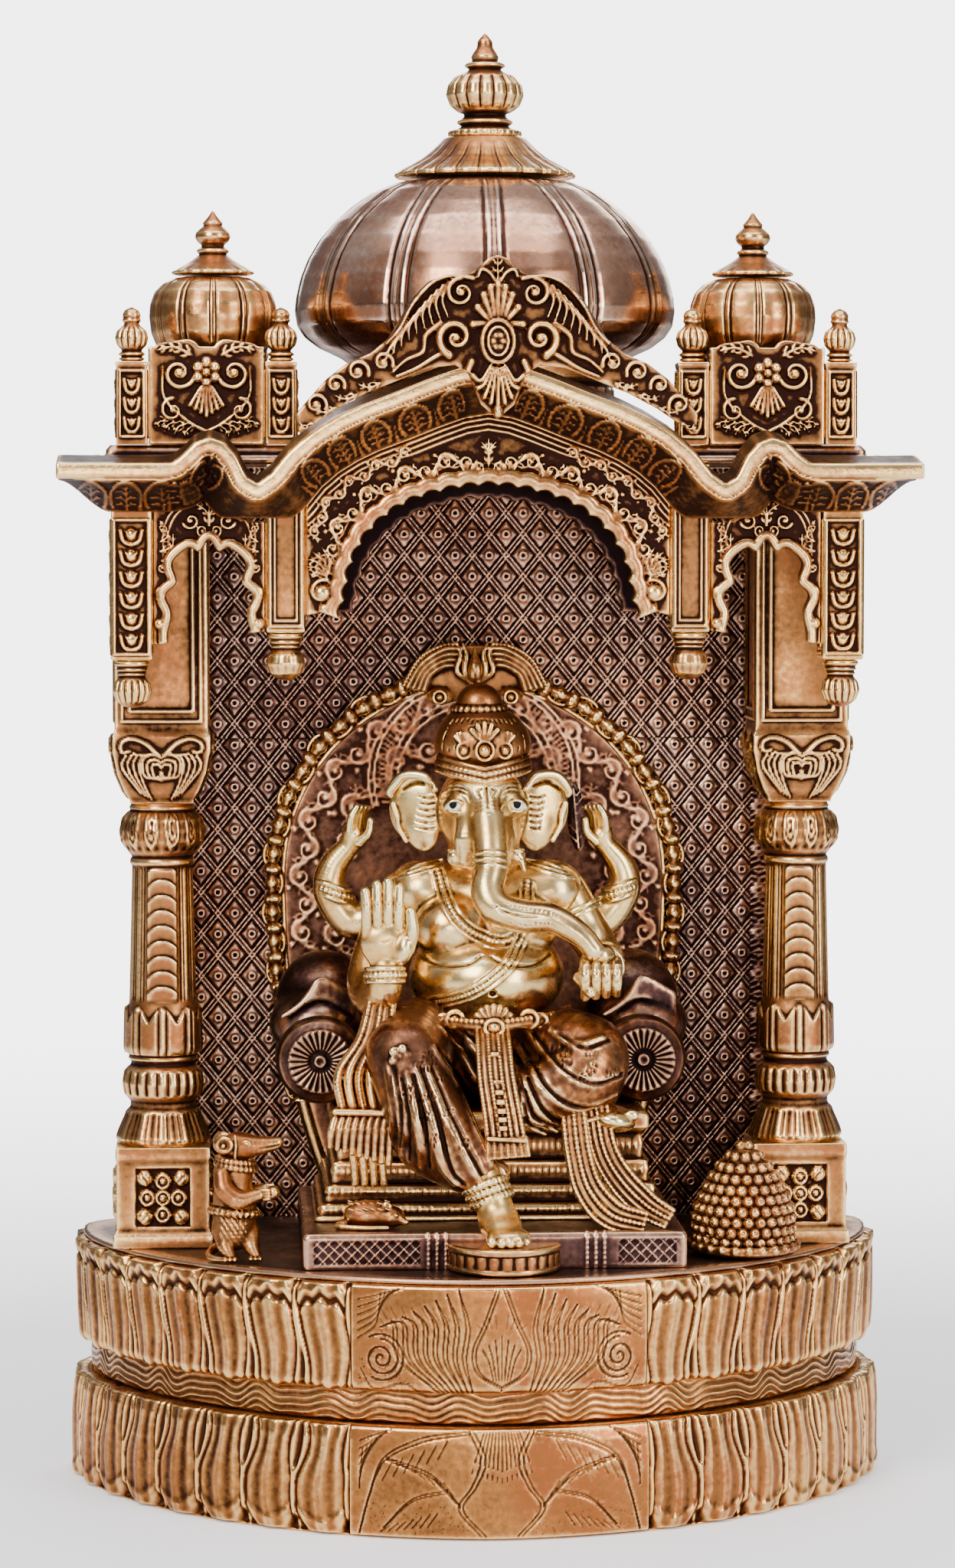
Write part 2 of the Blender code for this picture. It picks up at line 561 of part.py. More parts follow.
def build_head():
    stations = [(0.4085, 0.0200, 0.0180), (0.4150, 0.0250, 0.0240), (0.4300, 0.0320, 0.0320), (0.4480, 0.0350, 0.0350)]
    stations += [(0.4600, 0.0340, 0.0340), (0.4700, 0.0300, 0.0310)]
    rings = [circle(0.001, -0.004, z, rx, 20, ry) for z, rx, ry in stations]
    head = loft("idol_head", rings, brass)
    trunk = [(0.0020, -0.0240, 0.4390, 0.0170, 0.0160), (0.0030, -0.0400, 0.4280, 0.0150, 0.0130)]
    trunk += [(0.0020, -0.0500, 0.4080, 0.0120, 0.0110), (0.0030, -0.0570, 0.3900, 0.0110, 0.0100)]
    trunk += [(0.0140, -0.0610, 0.3780, 0.0105, 0.0095), (0.0330, -0.0640, 0.3750, 0.0090, 0.0085)]
    trunk += [(0.0520, -0.0680, 0.3710, 0.0080, 0.0075), (0.0660, -0.0720, 0.3650, 0.0065, 0.0065), (0.0700, -0.0740, 0.3590, 0.0060, 0.0055)]
    extra = [limb("cut_trunk", trunk, brass, cutters, 12)]
    for side in (-1, 1):
        bm = bmesh.new()
        bmesh.ops.create_uvsphere(bm, u_segments=16, v_segments=10, radius=1.0)
        bmesh.ops.scale(bm, vec=(0.0220, 0.0050, 0.0260), verts=bm.verts)
        ear = new_object("cut_ear_%d" % (side + 1), bm, brass, cutters)
        ear.location = (side * 0.0370, 0.0010, 0.4400)
        extra.append(ear)
    fuse(head, extra)
    crown = [(0.0330, 0.4703), (0.0345, 0.4740), (0.0320, 0.4830), (0.0270, 0.4960), (0.0190, 0.5060)]
    crown += [(0.0130, 0.5090), (0.0140, 0.5120), (0.0110, 0.5180), (0.0050, 0.5225), (0.0015, 0.5247)]
    turned("idol_crown", 0.0005, -0.0040, crown, brass, 24)
    for name, side in (("right_eye_inlay", -1), ("left_eye_inlay", 1)):
        bm = bmesh.new()
        bmesh.ops.create_uvsphere(bm, u_segments=12, v_segments=6, radius=1.0)
        bmesh.ops.scale(bm, vec=(0.0058, 0.0008, 0.0032), verts=bm.verts)
        eye = new_object(name, bm, enamel)
        turn = Matrix.Rotation(side * math.radians(38), 4, "Z")
        eye.matrix_world = Matrix.Translation((0.001 + side * 0.0226, -0.0338, 0.4450)) @ turn


def build_attendants():
    stations = [(0.1603, 0.0150, 0.0110), (0.1700, 0.0160, 0.0120), (0.1900, 0.0170, 0.0130), (0.2070, 0.0150, 0.0120)]
    stations += [(0.2150, 0.0090, 0.0090), (0.2210, 0.0120, 0.0100), (0.2300, 0.0190, 0.0110), (0.2390, 0.0140, 0.0090), (0.2450, 0.0060, 0.0050)]
    rings = [circle(-0.1540, -0.0620, z, rx, 16, ry) for z, rx, ry in stations]
    loft("attendant_mouse", rings, brass)
    heap = [(0.0300, 0.1603), (0.0355, 0.1640), (0.0360, 0.1670), (0.0310, 0.1680), (0.0300, 0.1850), (0.0230, 0.2050)]
    heap += [(0.0130, 0.2220), (0.0050, 0.2315)]
    turned("laddu_mound", 0.1640, -0.0480, heap, brass, 20)


clear_scene()
idol = bpy.data.collections.new("ganesha_idol")
cutters = bpy.data.collections.new("cutters")
bpy.context.scene.collection.children.link(idol)
bpy.context.scene.collection.children.link(cutters)
brass = make_material("aged_brass", (0.62, 0.40, 0.17), 0.30, 1.0)
dark = make_material("dark_patina", (0.20, 0.10, 0.05), 0.42, 1.0)
steel = make_material("tie_steel", (0.55, 0.55, 0.56), 0.35, 1.0)
enamel = make_material("white_enamel", (0.90, 0.88, 0.82), 0.15, 0.0)
build_base()
build_pillar("left", -1)
build_pillar("right", 1)
build_walls()
build_eaves()
build_arches()
build_parapet()
build_domes()
build_throne()
build_halo()
build_body()
build_arms()
build_head()
build_attendants()
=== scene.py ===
"""Looks for the brass Ganesha shrine: carved relief, the sculpted figure and antique patina.

Metres, +Z up, front towards -Y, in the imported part's frame. Flat and turned castings
are surfaces embossed by a height map; free shapes are distance fields turned into
meshes. Ends and edges that meet a CAD node's box are read from it. The profiles,
ornament and figure are placed by numbers in the same frame.
"""
import math

import bpy
import numpy as np
import openvdb as vdb
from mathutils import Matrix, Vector


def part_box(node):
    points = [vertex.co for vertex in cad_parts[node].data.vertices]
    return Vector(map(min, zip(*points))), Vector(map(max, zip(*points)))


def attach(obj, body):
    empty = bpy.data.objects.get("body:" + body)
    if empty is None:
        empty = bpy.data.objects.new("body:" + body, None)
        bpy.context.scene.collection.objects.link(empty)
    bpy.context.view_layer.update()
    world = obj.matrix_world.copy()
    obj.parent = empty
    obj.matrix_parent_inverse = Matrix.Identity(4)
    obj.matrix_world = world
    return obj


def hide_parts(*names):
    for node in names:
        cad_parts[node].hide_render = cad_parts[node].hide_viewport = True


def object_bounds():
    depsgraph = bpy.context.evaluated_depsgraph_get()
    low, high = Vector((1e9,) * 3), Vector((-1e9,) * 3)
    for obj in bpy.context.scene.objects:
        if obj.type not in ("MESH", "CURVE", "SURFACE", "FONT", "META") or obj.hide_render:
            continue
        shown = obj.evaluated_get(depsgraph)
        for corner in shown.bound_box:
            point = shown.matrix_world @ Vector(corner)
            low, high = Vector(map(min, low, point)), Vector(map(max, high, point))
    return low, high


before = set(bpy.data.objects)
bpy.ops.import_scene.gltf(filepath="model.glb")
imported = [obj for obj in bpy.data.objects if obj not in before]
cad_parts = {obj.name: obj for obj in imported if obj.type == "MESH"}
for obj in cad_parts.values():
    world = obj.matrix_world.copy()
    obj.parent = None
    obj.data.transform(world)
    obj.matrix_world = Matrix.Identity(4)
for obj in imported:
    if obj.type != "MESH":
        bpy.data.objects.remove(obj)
cad_low, cad_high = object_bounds()
TAU = 2 * math.pi


# ---------------------------------------------------------------- small maths

def node(name):
    """The low and high corner of a CAD node."""
    low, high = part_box(name)
    return np.array(low), np.array(high)


def plan_middle(low, high):
    return (low[0] + high[0]) / 2, (low[1] + high[1]) / 2


def smooth(edge0, edge1, x):
    t = np.clip((x - edge0) / (edge1 - edge0), 0, 1)
    return t * t * (3 - 2 * t)


def bump(x, middle, width):
    """A round hill of height 1 at middle, zero beyond width."""
    t = np.clip(np.abs(x - middle) / width, 0, 1)
    return (1 - t * t) ** 2


def curve(points, count=24):
    """A smooth path through a few points (Catmull-Rom)."""
    p = np.array(points, float)
    p = np.vstack([2 * p[0] - p[1], p, 2 * p[-1] - p[-2]])
    out = []
    spans = len(p) - 3
    per = max(2, count // spans)
    for i in range(spans):
        a, b, c, d = p[i:i + 4]
        for t in np.linspace(0, 1, per, endpoint=False):
            out.append(0.5 * (2 * b + (c - a) * t + (2 * a - 5 * b + 4 * c - d) * t ** 2
                              + (3 * b - a - 3 * c + d) * t ** 3))
    out.append(p[-2])
    return np.array(out)


def scroll(centre, radius, start, turns, hand=1, shrink=0.2, count=30):
    """A volute that winds inwards from its outer end."""
    t = np.linspace(0, 1, count)
    angle = np.radians(start) + hand * turns * TAU * t
    reach = radius * (1 - (1 - shrink) * t)
    return np.stack([centre[0] + reach * np.cos(angle), centre[1] + reach * np.sin(angle)], 1)


def flip(points, middle=0.0):
    """Mirror plan points left to right."""
    p = np.array(points, float)
    p[:, 0] = 2 * middle - p[:, 0]
    return p


# ---------------------------------------------------------------- meshes

PATINA_REACH = 14


def add_tone(mesh, scale):
    """Store how far each point stands proud of its surroundings, from -1 (hollow) to 1 (edge)."""
    n = len(mesh.vertices)
    co = np.empty(n * 3, np.float32)
    mesh.vertices.foreach_get("co", co)
    co = co.reshape(n, 3).astype(float)
    ends = np.empty(len(mesh.edges) * 2, np.int32)
    mesh.edges.foreach_get("vertices", ends)
    a, b = ends.reshape(-1, 2).T
    length = np.linalg.norm(co[a] - co[b], axis=1)
    pull = 1 / np.maximum(length, 0.6 * np.median(length)) ** 2
    whole = np.maximum(np.bincount(a, pull, n) + np.bincount(b, pull, n), 1e-9)
    soft = co.copy()
    for _ in range(PATINA_REACH):
        total = np.empty_like(soft)
        for k in range(3):
            total[:, k] = np.bincount(a, soft[b, k] * pull, n) + np.bincount(b, soft[a, k] * pull, n)
        soft = 0.3 * soft + 0.7 * total / whole[:, None]
    normal = np.empty(n * 3, np.float32)
    mesh.vertex_normals.foreach_get("vector", normal)
    proud = ((co - soft) * normal.reshape(n, 3)).sum(1) / scale
    tone = mesh.attributes.new("tone", "FLOAT", "POINT")
    tone.data.foreach_set("value", np.clip(proud, -1, 1).astype(np.float32))


def piece(name, verts, faces, material, stands_for=(), tone_scale=0.0006, flat_tail=0):
    """A finished piece that rides on the root body, smooth but for its last few faces."""
    mesh = bpy.data.meshes.new(name)
    mesh.from_pydata(np.asarray(verts).tolist(), [], faces)
    mesh.validate()
    mesh.polygons.foreach_set("use_smooth", np.arange(len(mesh.polygons)) < len(mesh.polygons) - flat_tail)
    mesh.update()
    add_tone(mesh, tone_scale)
    mesh.materials.append(material)
    obj = bpy.data.objects.new(name, mesh)
    bpy.context.scene.collection.objects.link(obj)
    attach(obj, "root")
    if stands_for:
        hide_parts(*stands_for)
    return obj


def darken_patina_and_shade(obj, amount):
    """Darken a piece's patina by amount(x, y, z): dark patina on relief grounds, and painted shade on the
    eave's cove and the arch soffit.
    """
    mesh = obj.data
    n = len(mesh.vertices)
    co = np.empty(n * 3, np.float32)
    tone = np.empty(n, np.float32)
    mesh.vertices.foreach_get("co", co)
    mesh.attributes["tone"].data.foreach_get("value", tone)
    tone -= amount(co[0::3], co[1::3], co[2::3])
    mesh.attributes["tone"].data.foreach_set("value", tone.astype(np.float32))
    return obj


def still_ends(obj, rows):
    """Give the two end rows of a sheet the tone of the rows beside them."""
    tone = np.empty(len(obj.data.vertices), np.float32)
    obj.data.attributes["tone"].data.foreach_get("value", tone)
    grid = tone[:-2].reshape(rows, -1)
    grid[0], grid[-1] = grid[1], grid[-2]
    obj.data.attributes["tone"].data.foreach_set("value", tone)
    return obj


def grid_faces(rows, columns, closed):
    """Quads over a grid of points, facing out when columns run anticlockwise seen from above."""
    i = np.arange(rows - 1)[:, None]
    j = np.arange(columns if closed else columns - 1)[None, :]
    k = (j + 1) % columns
    quads = np.stack([i * columns + j, i * columns + k, (i + 1) * columns + k, (i + 1) * columns + j], -1)
    return quads.reshape(-1, 4)


def orient(verts, faces):
    """Reverse the faces if the closed surface points inwards."""
    tri = faces[:, :3]
    a, b, c = verts[tri[:, 0]], verts[tri[:, 1]], verts[tri[:, 2]]
    volume = np.einsum("ij,ij->i", a, np.cross(b, c)).sum()
    if faces.shape[1] == 4:
        d = verts[faces[:, 3]]
        volume += np.einsum("ij,ij->i", a, np.cross(c, d)).sum()
    return faces if volume > 0 else faces[:, ::-1]


def surface(name, rings, material, stands_for=(), tone_scale=0.0006):
    """A closed piece through rings of points (rows, columns, 3), capped at both ends."""
    rows, columns = rings.shape[:2]
    verts = rings.reshape(-1, 3)
    quads = grid_faces(rows, columns, True)
    j = np.arange(columns)
    k = (j + 1) % columns
    verts = np.vstack([verts, rings[0].mean(0), rings[-1].mean(0)])
    low = np.stack([k, j, np.full(columns, rows * columns)], 1)
    last = (rows - 1) * columns
    high = np.stack([last + j, last + k, np.full(columns, rows * columns + 1)], 1)
    middle = rings.mean(1)
    run = middle[-1] - middle[0]
    spokes = rings[rows // 2] - middle[rows // 2]
    turn = np.cross(spokes, np.roll(spokes, -1, 0)).sum(0)
    if np.dot(turn, run) < 0:
        quads, low, high = quads[:, ::-1], low[:, ::-1], high[:, ::-1]
    faces = quads.tolist() + low.tolist() + high.tolist()
    return piece(name, verts, faces, material, stands_for, tone_scale, 2 * columns)


def band(name, loops, material, stands_for=(), tone_scale=0.0006):
    """A closed ring-shaped piece: rows follow a section that joins back to its start."""
    rows, columns = loops.shape[:2]
    quads = grid_faces(rows + 1, columns, True) % (rows * columns)
    verts = loops.reshape(-1, 3)
    return piece(name, verts, orient(verts, quads).tolist(), material, stands_for, tone_scale)


def emboss(points, height):
    """Push a closed grid of points out along its normals; rows run up, columns anticlockwise."""
    along = np.gradient(points, axis=0)
    across = (np.roll(points, -1, 1) - np.roll(points, 1, 1)) / 2
    normal = np.cross(across, along)
    length = np.linalg.norm(normal, axis=-1, keepdims=True)
    return points + normal / np.maximum(length, 1e-12) * height[..., None]


def resample(profile, step):
    """Points along a polyline at an even spacing."""
    p = np.array(profile, float)
    length = np.r_[0, np.cumsum(np.linalg.norm(np.diff(p, axis=0), axis=1))]
    count = max(2, int(round(length[-1] / step)) + 1)
    t = np.linspace(0, length[-1], count)
    return np.stack([np.interp(t, length, p[:, k]) for k in range(p.shape[1])], 1)


def rounded(profile, step, passes=2):
    """An even profile with its corners slightly worn."""
    p = resample(profile, step)
    for _ in range(passes):
        p[1:-1] = 0.5 * p[1:-1] + 0.25 * (p[:-2] + p[2:])
    return p


def lathe(name, x, y, profile, material, stands_for=(), around=96, step=0.0008, carve=None,
          tone_scale=0.0006):
    """A turned piece from (radius, height) pairs, bottom to top, with optional carving(angle, r, z)."""
    p = rounded(profile, step)
    angle = np.arange(around) / around * TAU
    r = np.repeat(p[:, :1], around, 1)
    z = np.repeat(p[:, 1:], around, 1)
    if carve is not None:
        r = r + carve(angle[None, :], r, z)
    r = np.maximum(r, 0.0001)
    rings = np.stack([x + r * np.cos(angle), y + r * np.sin(angle), z], -1)
    return surface(name, rings, material, stands_for, tone_scale)


# ---------------------------------------------------------------- relief height maps

class Relief:
    """A height map over two sorted axes, drawn with strokes, bosses and grooves."""

    def __init__(self, a, b):
        self.a = np.asarray(a, float)
        self.b = np.asarray(b, float)
        self.height = np.zeros((len(self.a), len(self.b)))
        self.A, self.B = np.meshgrid(self.a, self.b, indexing="ij")

    def window(self, low, high):
        i0, i1 = np.searchsorted(self.a, (low[0], high[0]))
        j0, j1 = np.searchsorted(self.b, (low[1], high[1]))
        return slice(i0, i1), slice(j0, j1)

    def line(self, points, width, end_width=None):
        """The round cross-section, 0 to 1, of a line that may taper."""
        mask = np.zeros_like(self.height)
        p = np.asarray(points, float)
        widths = np.linspace(width, width if end_width is None else end_width, len(p))
        for (p0, p1, w0, w1) in zip(p[:-1], p[1:], widths[:-1], widths[1:]):
            w = max(w0, w1)
            win = self.window(np.minimum(p0, p1) - w, np.maximum(p0, p1) + w)
            A, B = self.A[win], self.B[win]
            if not A.size:
                continue
            d = p1 - p0
            t = np.clip(((A - p0[0]) * d[0] + (B - p0[1]) * d[1]) / max(d @ d, 1e-12), 0, 1)
            gap = np.hypot(A - p0[0] - t * d[0], B - p0[1] - t * d[1])
            part = np.sqrt(np.clip(1 - (gap / np.maximum(w0 + (w1 - w0) * t, 1e-5)) ** 2, 0, 1))
            mask[win] = np.maximum(mask[win], part)
        return mask

    def stroke(self, points, width, height, end_width=None, level=0.0):
        """A raised line."""
        mask = self.line(points, width, end_width)
        self.height = np.where(mask > 0, np.maximum(self.height, level + height * mask), self.height)

    def groove(self, points, width, depth):
        """An engraved line."""
        self.height = self.height - depth * self.line(points, width)

    def boss(self, x, z, radius, height, level=0.0, stretch=1.0):
        win = self.window((x - radius, z - radius * stretch), (x + radius, z + radius * stretch))
        d2 = ((self.A[win] - x) / radius) ** 2 + ((self.B[win] - z) / (radius * stretch)) ** 2
        part = np.sqrt(np.clip(1 - d2, 0, 1))
        self.height[win] = np.where(part > 0, np.maximum(self.height[win], level + height * part),
                                    self.height[win])

    def ring(self, x, z, radius, width, height, level=0.0, stretch=1.0):
        t = np.linspace(0, TAU, 25)
        points = np.stack([x + radius * np.cos(t), z + radius * stretch * np.sin(t)], 1)
        self.stroke(points, width, height, level=level)

    def volute(self, centre, radius, start, turns, hand, width, height, level=0.0):
        """A scroll with a round eye."""
        path = scroll(centre, radius, start, turns, hand)
        self.stroke(path, width, height, width * 0.45, level)
        self.boss(*centre, radius * 0.3, height * 1.2, level)

    def leaf(self, base, tip, bend, width, height, level=0.0, lobes=4):
        """An acanthus leaf: a bent rib with round lobes either side of it."""
        base, tip = np.array(base, float), np.array(tip, float)
        side = np.array([-(tip - base)[1], (tip - base)[0]])
        middle = (base + tip) / 2 + side * bend
        rib = curve([base, middle, tip], 16)
        size = np.linalg.norm(tip - base)
        for k in range(lobes):
            t = (k + 0.4) / lobes
            at = rib[int(t * (len(rib) - 1))]
            ahead = rib[min(int(t * (len(rib) - 1)) + 2, len(rib) - 1)] - at
            ahead = ahead / max(np.linalg.norm(ahead), 1e-9)
            out = np.array([-ahead[1], ahead[0]])
            reach = width * (1 - 0.55 * t)
            for hand in (-1, 1):
                end = at + ahead * reach * 0.9 + out * hand * reach
                knee = at + ahead * reach * 0.25 + out * hand * reach * 0.65
                self.stroke([at, knee, end], size * 0.09, height * 0.75, size * 0.045, level)
        self.stroke(rib, size * 0.07, height, size * 0.03, level)
        return rib


def polygon_distance(X, Z, outline):
    """Signed distance to a closed outline, negative inside."""
    p = np.asarray(outline, float)
    q = np.roll(p, -1, 0)
    best = np.full(X.shape, 1e9)
    inside = np.zeros(X.shape, bool)
    for (x0, z0), (x1, z1) in zip(p, q):
        dx, dz = x1 - x0, z1 - z0
        t = np.clip(((X - x0) * dx + (Z - z0) * dz) / max(dx * dx + dz * dz, 1e-14), 0, 1)
        best = np.minimum(best, (X - x0 - t * dx) ** 2 + (Z - z0 - t * dz) ** 2)
        crossing = (z0 > Z) != (z1 > Z)
        slope = np.where(crossing, (x1 - x0) * (Z - z0) / (z1 - z0 if z1 != z0 else 1e-12) + x0, 0)
        inside ^= crossing & (X < slope)
    return np.where(inside, -1, 1) * np.sqrt(best)


class Plate(Relief):
    """An upright relief plate: an outline in X and Z with carving on its front."""

    def __init__(self, low_x, high_x, low_z, high_z, step):
        super().__init__(np.arange(low_x, high_x + step, step), np.arange(low_z, high_z + step, step))
        self.step = step
        self.outline = np.full(self.height.shape, 1.0)

    def add(self, points):
        self.outline = np.minimum(self.outline, polygon_distance(self.A, self.B, points))

    def cut(self, points):
        self.outline = np.maximum(self.outline, -polygon_distance(self.A, self.B, points))

    def add_line(self, points, width):
        """Grow the outline along a stroke."""
        p = np.asarray(points, float)
        for p0, p1 in zip(p[:-1], p[1:]):
            d = p1 - p0
            t = np.clip(((self.A - p0[0]) * d[0] + (self.B - p0[1]) * d[1]) / max(d @ d, 1e-12), 0, 1)
            gap = np.hypot(self.A - p0[0] - t * d[0], self.B - p0[1] - t * d[1]) - width
            self.outline = np.minimum(self.outline, gap)

    def build(self, name, front, back, material, stands_for=(), edge=0.0008, tone_scale=0.0006, ground=0.2):
        """front is the ground's Y; relief stands out from it towards -Y."""
        step = self.step
        pad = 2
        top = self.height.max()
        Y = np.arange(front - top - pad * step, back + (pad + 1) * step, step)
        shape = np.pad(self.outline, pad, constant_values=0.01)
        face = front - np.pad(self.height, pad, mode="edge")
        a = np.maximum(face[:, None, :] - Y[None, :, None], Y[None, :, None] - back)
        b = np.repeat(shape[:, None, :], len(Y), 1)
        phi = np.maximum(a, b) + 0.25 * edge * np.clip(1 - np.abs(a - b) / edge, 0, 1) ** 2
        origin = (self.a[0] - pad * step, Y[0], self.b[0] - pad * step)
        obj = field_piece(name, phi, origin, step, material, stands_for, tone_scale)
        return darken_patina_and_shade(obj, lambda x, y, z: ground * smooth(front - 0.0014, front - 0.0003, y))


# ---------------------------------------------------------------- distance fields

def field_piece(name, phi, origin, step, material, stands_for=(), tone_scale=0.0006):
    """Turn a distance field, negative inside, into a piece."""
    grid = vdb.FloatGrid(3.0)
    grid.copyFromArray(np.clip(phi / step, -3, 3).astype(np.float32))
    points, quads = grid.convertToQuads(isovalue=0.0)
    verts = points.astype(float) * step + np.array(origin)
    faces = orient(verts, quads.astype(np.int64))
    return piece(name, verts, faces.tolist(), material, stands_for, tone_scale)


class Field:
    """Clay: a distance field that shapes are blended into and carved out of."""

    def __init__(self, low, high, step):
        self.low = np.array(low, float)
        self.step = step
        count = np.ceil((np.array(high) - self.low) / step).astype(int) + 1
        self.axes = [self.low[k] + step * np.arange(count[k]) for k in range(3)]
        self.phi = np.full(count, 0.02, np.float32)

    def window(self, low, high):
        cut = []
        for k in range(3):
            i0, i1 = np.searchsorted(self.axes[k], (low[k], high[k]))
            cut.append(slice(max(i0 - 1, 0), i1 + 1))
        X = self.axes[0][cut[0]][:, None, None]
        Y = self.axes[1][cut[1]][None, :, None]
        Z = self.axes[2][cut[2]][None, None, :]
        return tuple(cut), X, Y, Z

    def merge(self, win, d, k, carve):
        old = self.phi[win]
        if not old.size:
            return
        if carve:
            h = np.clip(0.5 - 0.5 * (old + d) / k, 0, 1)
            self.phi[win] = old * (1 - h) - d * h + k * h * (1 - h)
        else:
            h = np.clip(0.5 + 0.5 * (old - d) / k, 0, 1)
            self.phi[win] = old * (1 - h) + d * h - k * h * (1 - h)

    def ball(self, centre, radii, k=0.001, turn=0.0, tilt=0.0, carve=False, lean=0.0):
        """An ellipsoid; turn is about Z, tilt about X, lean about Y, in degrees."""
        radii = np.broadcast_to(np.array(radii, float), 3)
        reach = radii.max() + k + 3 * self.step
        win, X, Y, Z = self.window(np.array(centre) - reach, np.array(centre) + reach)
        X, Y, Z = X - centre[0], Y - centre[1], Z - centre[2]
        if turn:
            c, s = math.cos(math.radians(turn)), math.sin(math.radians(turn))
            X, Y = X * c + Y * s, Y * c - X * s
        if tilt:
            c, s = math.cos(math.radians(tilt)), math.sin(math.radians(tilt))
            Y, Z = Y * c + Z * s, Z * c - Y * s
        if lean:
            c, s = math.cos(math.radians(lean)), math.sin(math.radians(lean))
            X, Z = X * c + Z * s, Z * c - X * s
        k0 = np.sqrt((X / radii[0]) ** 2 + (Y / radii[1]) ** 2 + (Z / radii[2]) ** 2)
        k1 = np.sqrt((X / radii[0] ** 2) ** 2 + (Y / radii[1] ** 2) ** 2 + (Z / radii[2] ** 2) ** 2)
        d = k0 * (k0 - 1) / np.maximum(k1, 1e-9)
        self.merge(win, d, k, carve)

    def tube(self, points, radii, k=0.001, carve=False):
        """A tapering tube through points."""
        p = np.asarray(points, float)
        r = np.interp(np.linspace(0, 1, len(p)), np.linspace(0, 1, np.size(radii)), np.atleast_1d(radii))
        low = np.min(p - r[:, None], 0) - k - 3 * self.step
        high = np.max(p + r[:, None], 0) + k + 3 * self.step
        win, X, Y, Z = self.window(low, high)
        best = None
        for p0, p1, r0, r1 in zip(p[:-1], p[1:], r[:-1], r[1:]):
            d = p1 - p0
            qx, qy, qz = X - p0[0], Y - p0[1], Z - p0[2]
            t = np.clip((qx * d[0] + qy * d[1] + qz * d[2]) / max(d @ d, 1e-12), 0, 1)
            gap = np.sqrt((qx - t * d[0]) ** 2 + (qy - t * d[1]) ** 2 + (qz - t * d[2]) ** 2)
            dist = gap - (r0 + (r1 - r0) * t)
            best = dist if best is None else np.minimum(best, dist)
        self.merge(win, best, k, carve)

    def front(self, points, lift=0.0):
        """Lay (x, z) points on the front of the clay, standing proud of it by lift."""
        p = np.asarray(points, float)
        spots = np.round((p - self.low[[0, 2]]) / self.step).astype(int)
        spots = np.clip(spots, 0, np.array(self.phi.shape)[[0, 2]] - 1)
        columns = self.phi[spots[:, 0], :, spots[:, 1]] < 0
        found = columns.any(1)
        y = self.axes[1][columns.argmax(1)]
        order = np.arange(len(p))
        y = np.interp(order, order[found], y[found])
        y[1:-1] = 0.5 * y[1:-1] + 0.25 * (y[:-2] + y[2:])
        return np.stack([p[:, 0], y - lift, p[:, 1]], 1)

    def box(self, low, high, k=0.001, edge=0.001):
        low, high = np.array(low, float), np.array(high, float)
        win, X, Y, Z = self.window(low - k - 3 * self.step, high + k + 3 * self.step)
        m, h = (low + high) / 2, (high - low) / 2 - edge
        qx, qy, qz = np.abs(X - m[0]) - h[0], np.abs(Y - m[1]) - h[1], np.abs(Z - m[2]) - h[2]
        out = np.sqrt(np.maximum(qx, 0) ** 2 + np.maximum(qy, 0) ** 2 + np.maximum(qz, 0) ** 2)
        d = out + np.minimum(np.maximum(np.maximum(qx, qy), qz), 0) - edge
        self.merge(win, d, k, False)

    def beads(self, points, radius, gap=2.1):
        """A string of beads along a path."""
        for p in resample(points, radius * gap):
            self.ball(p, (radius, radius, radius), 0.0004)

    def build(self, name, material, stands_for=(), tone_scale=0.0006):
        phi = self.phi
        for axis in range(3):
            edge = [slice(None)] * 3
            for side in (0, -1):
                edge[axis] = side
                phi[tuple(edge)] = np.maximum(phi[tuple(edge)], self.step)
        return field_piece(name, phi, self.low, self.step, material, stands_for, tone_scale)


# ---------------------------------------------------------------- materials

def link(tree, out, into):
    tree.links.new(out, into)


def noise(tree, scale, detail=3.0, rough=0.55):
    coords = tree.nodes.new("ShaderNodeTexCoord")
    texture = tree.nodes.new("ShaderNodeTexNoise")
    texture.inputs["Scale"].default_value = scale
    texture.inputs["Detail"].default_value = detail
    texture.inputs["Roughness"].default_value = rough
    link(tree, coords.outputs["Object"], texture.inputs["Vector"])
    return texture.outputs["Fac"]


def scaled(tree, value, low, high, to_low, to_high):
    remap = tree.nodes.new("ShaderNodeMapRange")
    remap.inputs["From Min"].default_value = low
    remap.inputs["From Max"].default_value = high
    remap.inputs["To Min"].default_value = to_low
    remap.inputs["To Max"].default_value = to_high
    link(tree, value, remap.inputs["Value"])
    return remap.outputs["Result"]


def combine(tree, first, second, operation="ADD"):
    node_ = tree.nodes.new("ShaderNodeMath")
    node_.operation = operation
    link(tree, first, node_.inputs[0])
    link(tree, second, node_.inputs[1])
    return node_.outputs[0]


def ramp(tree, value, stops):
    node_ = tree.nodes.new("ShaderNodeValToRGB")
    bar = node_.color_ramp
    while len(bar.elements) < len(stops):
        bar.elements.new(0.5)
    for element, (place, colour) in zip(bar.elements, stops):
        element.position = place
        element.color = (*colour, 1.0)
    link(tree, value, node_.inputs["Fac"])
    return node_.outputs["Color"]


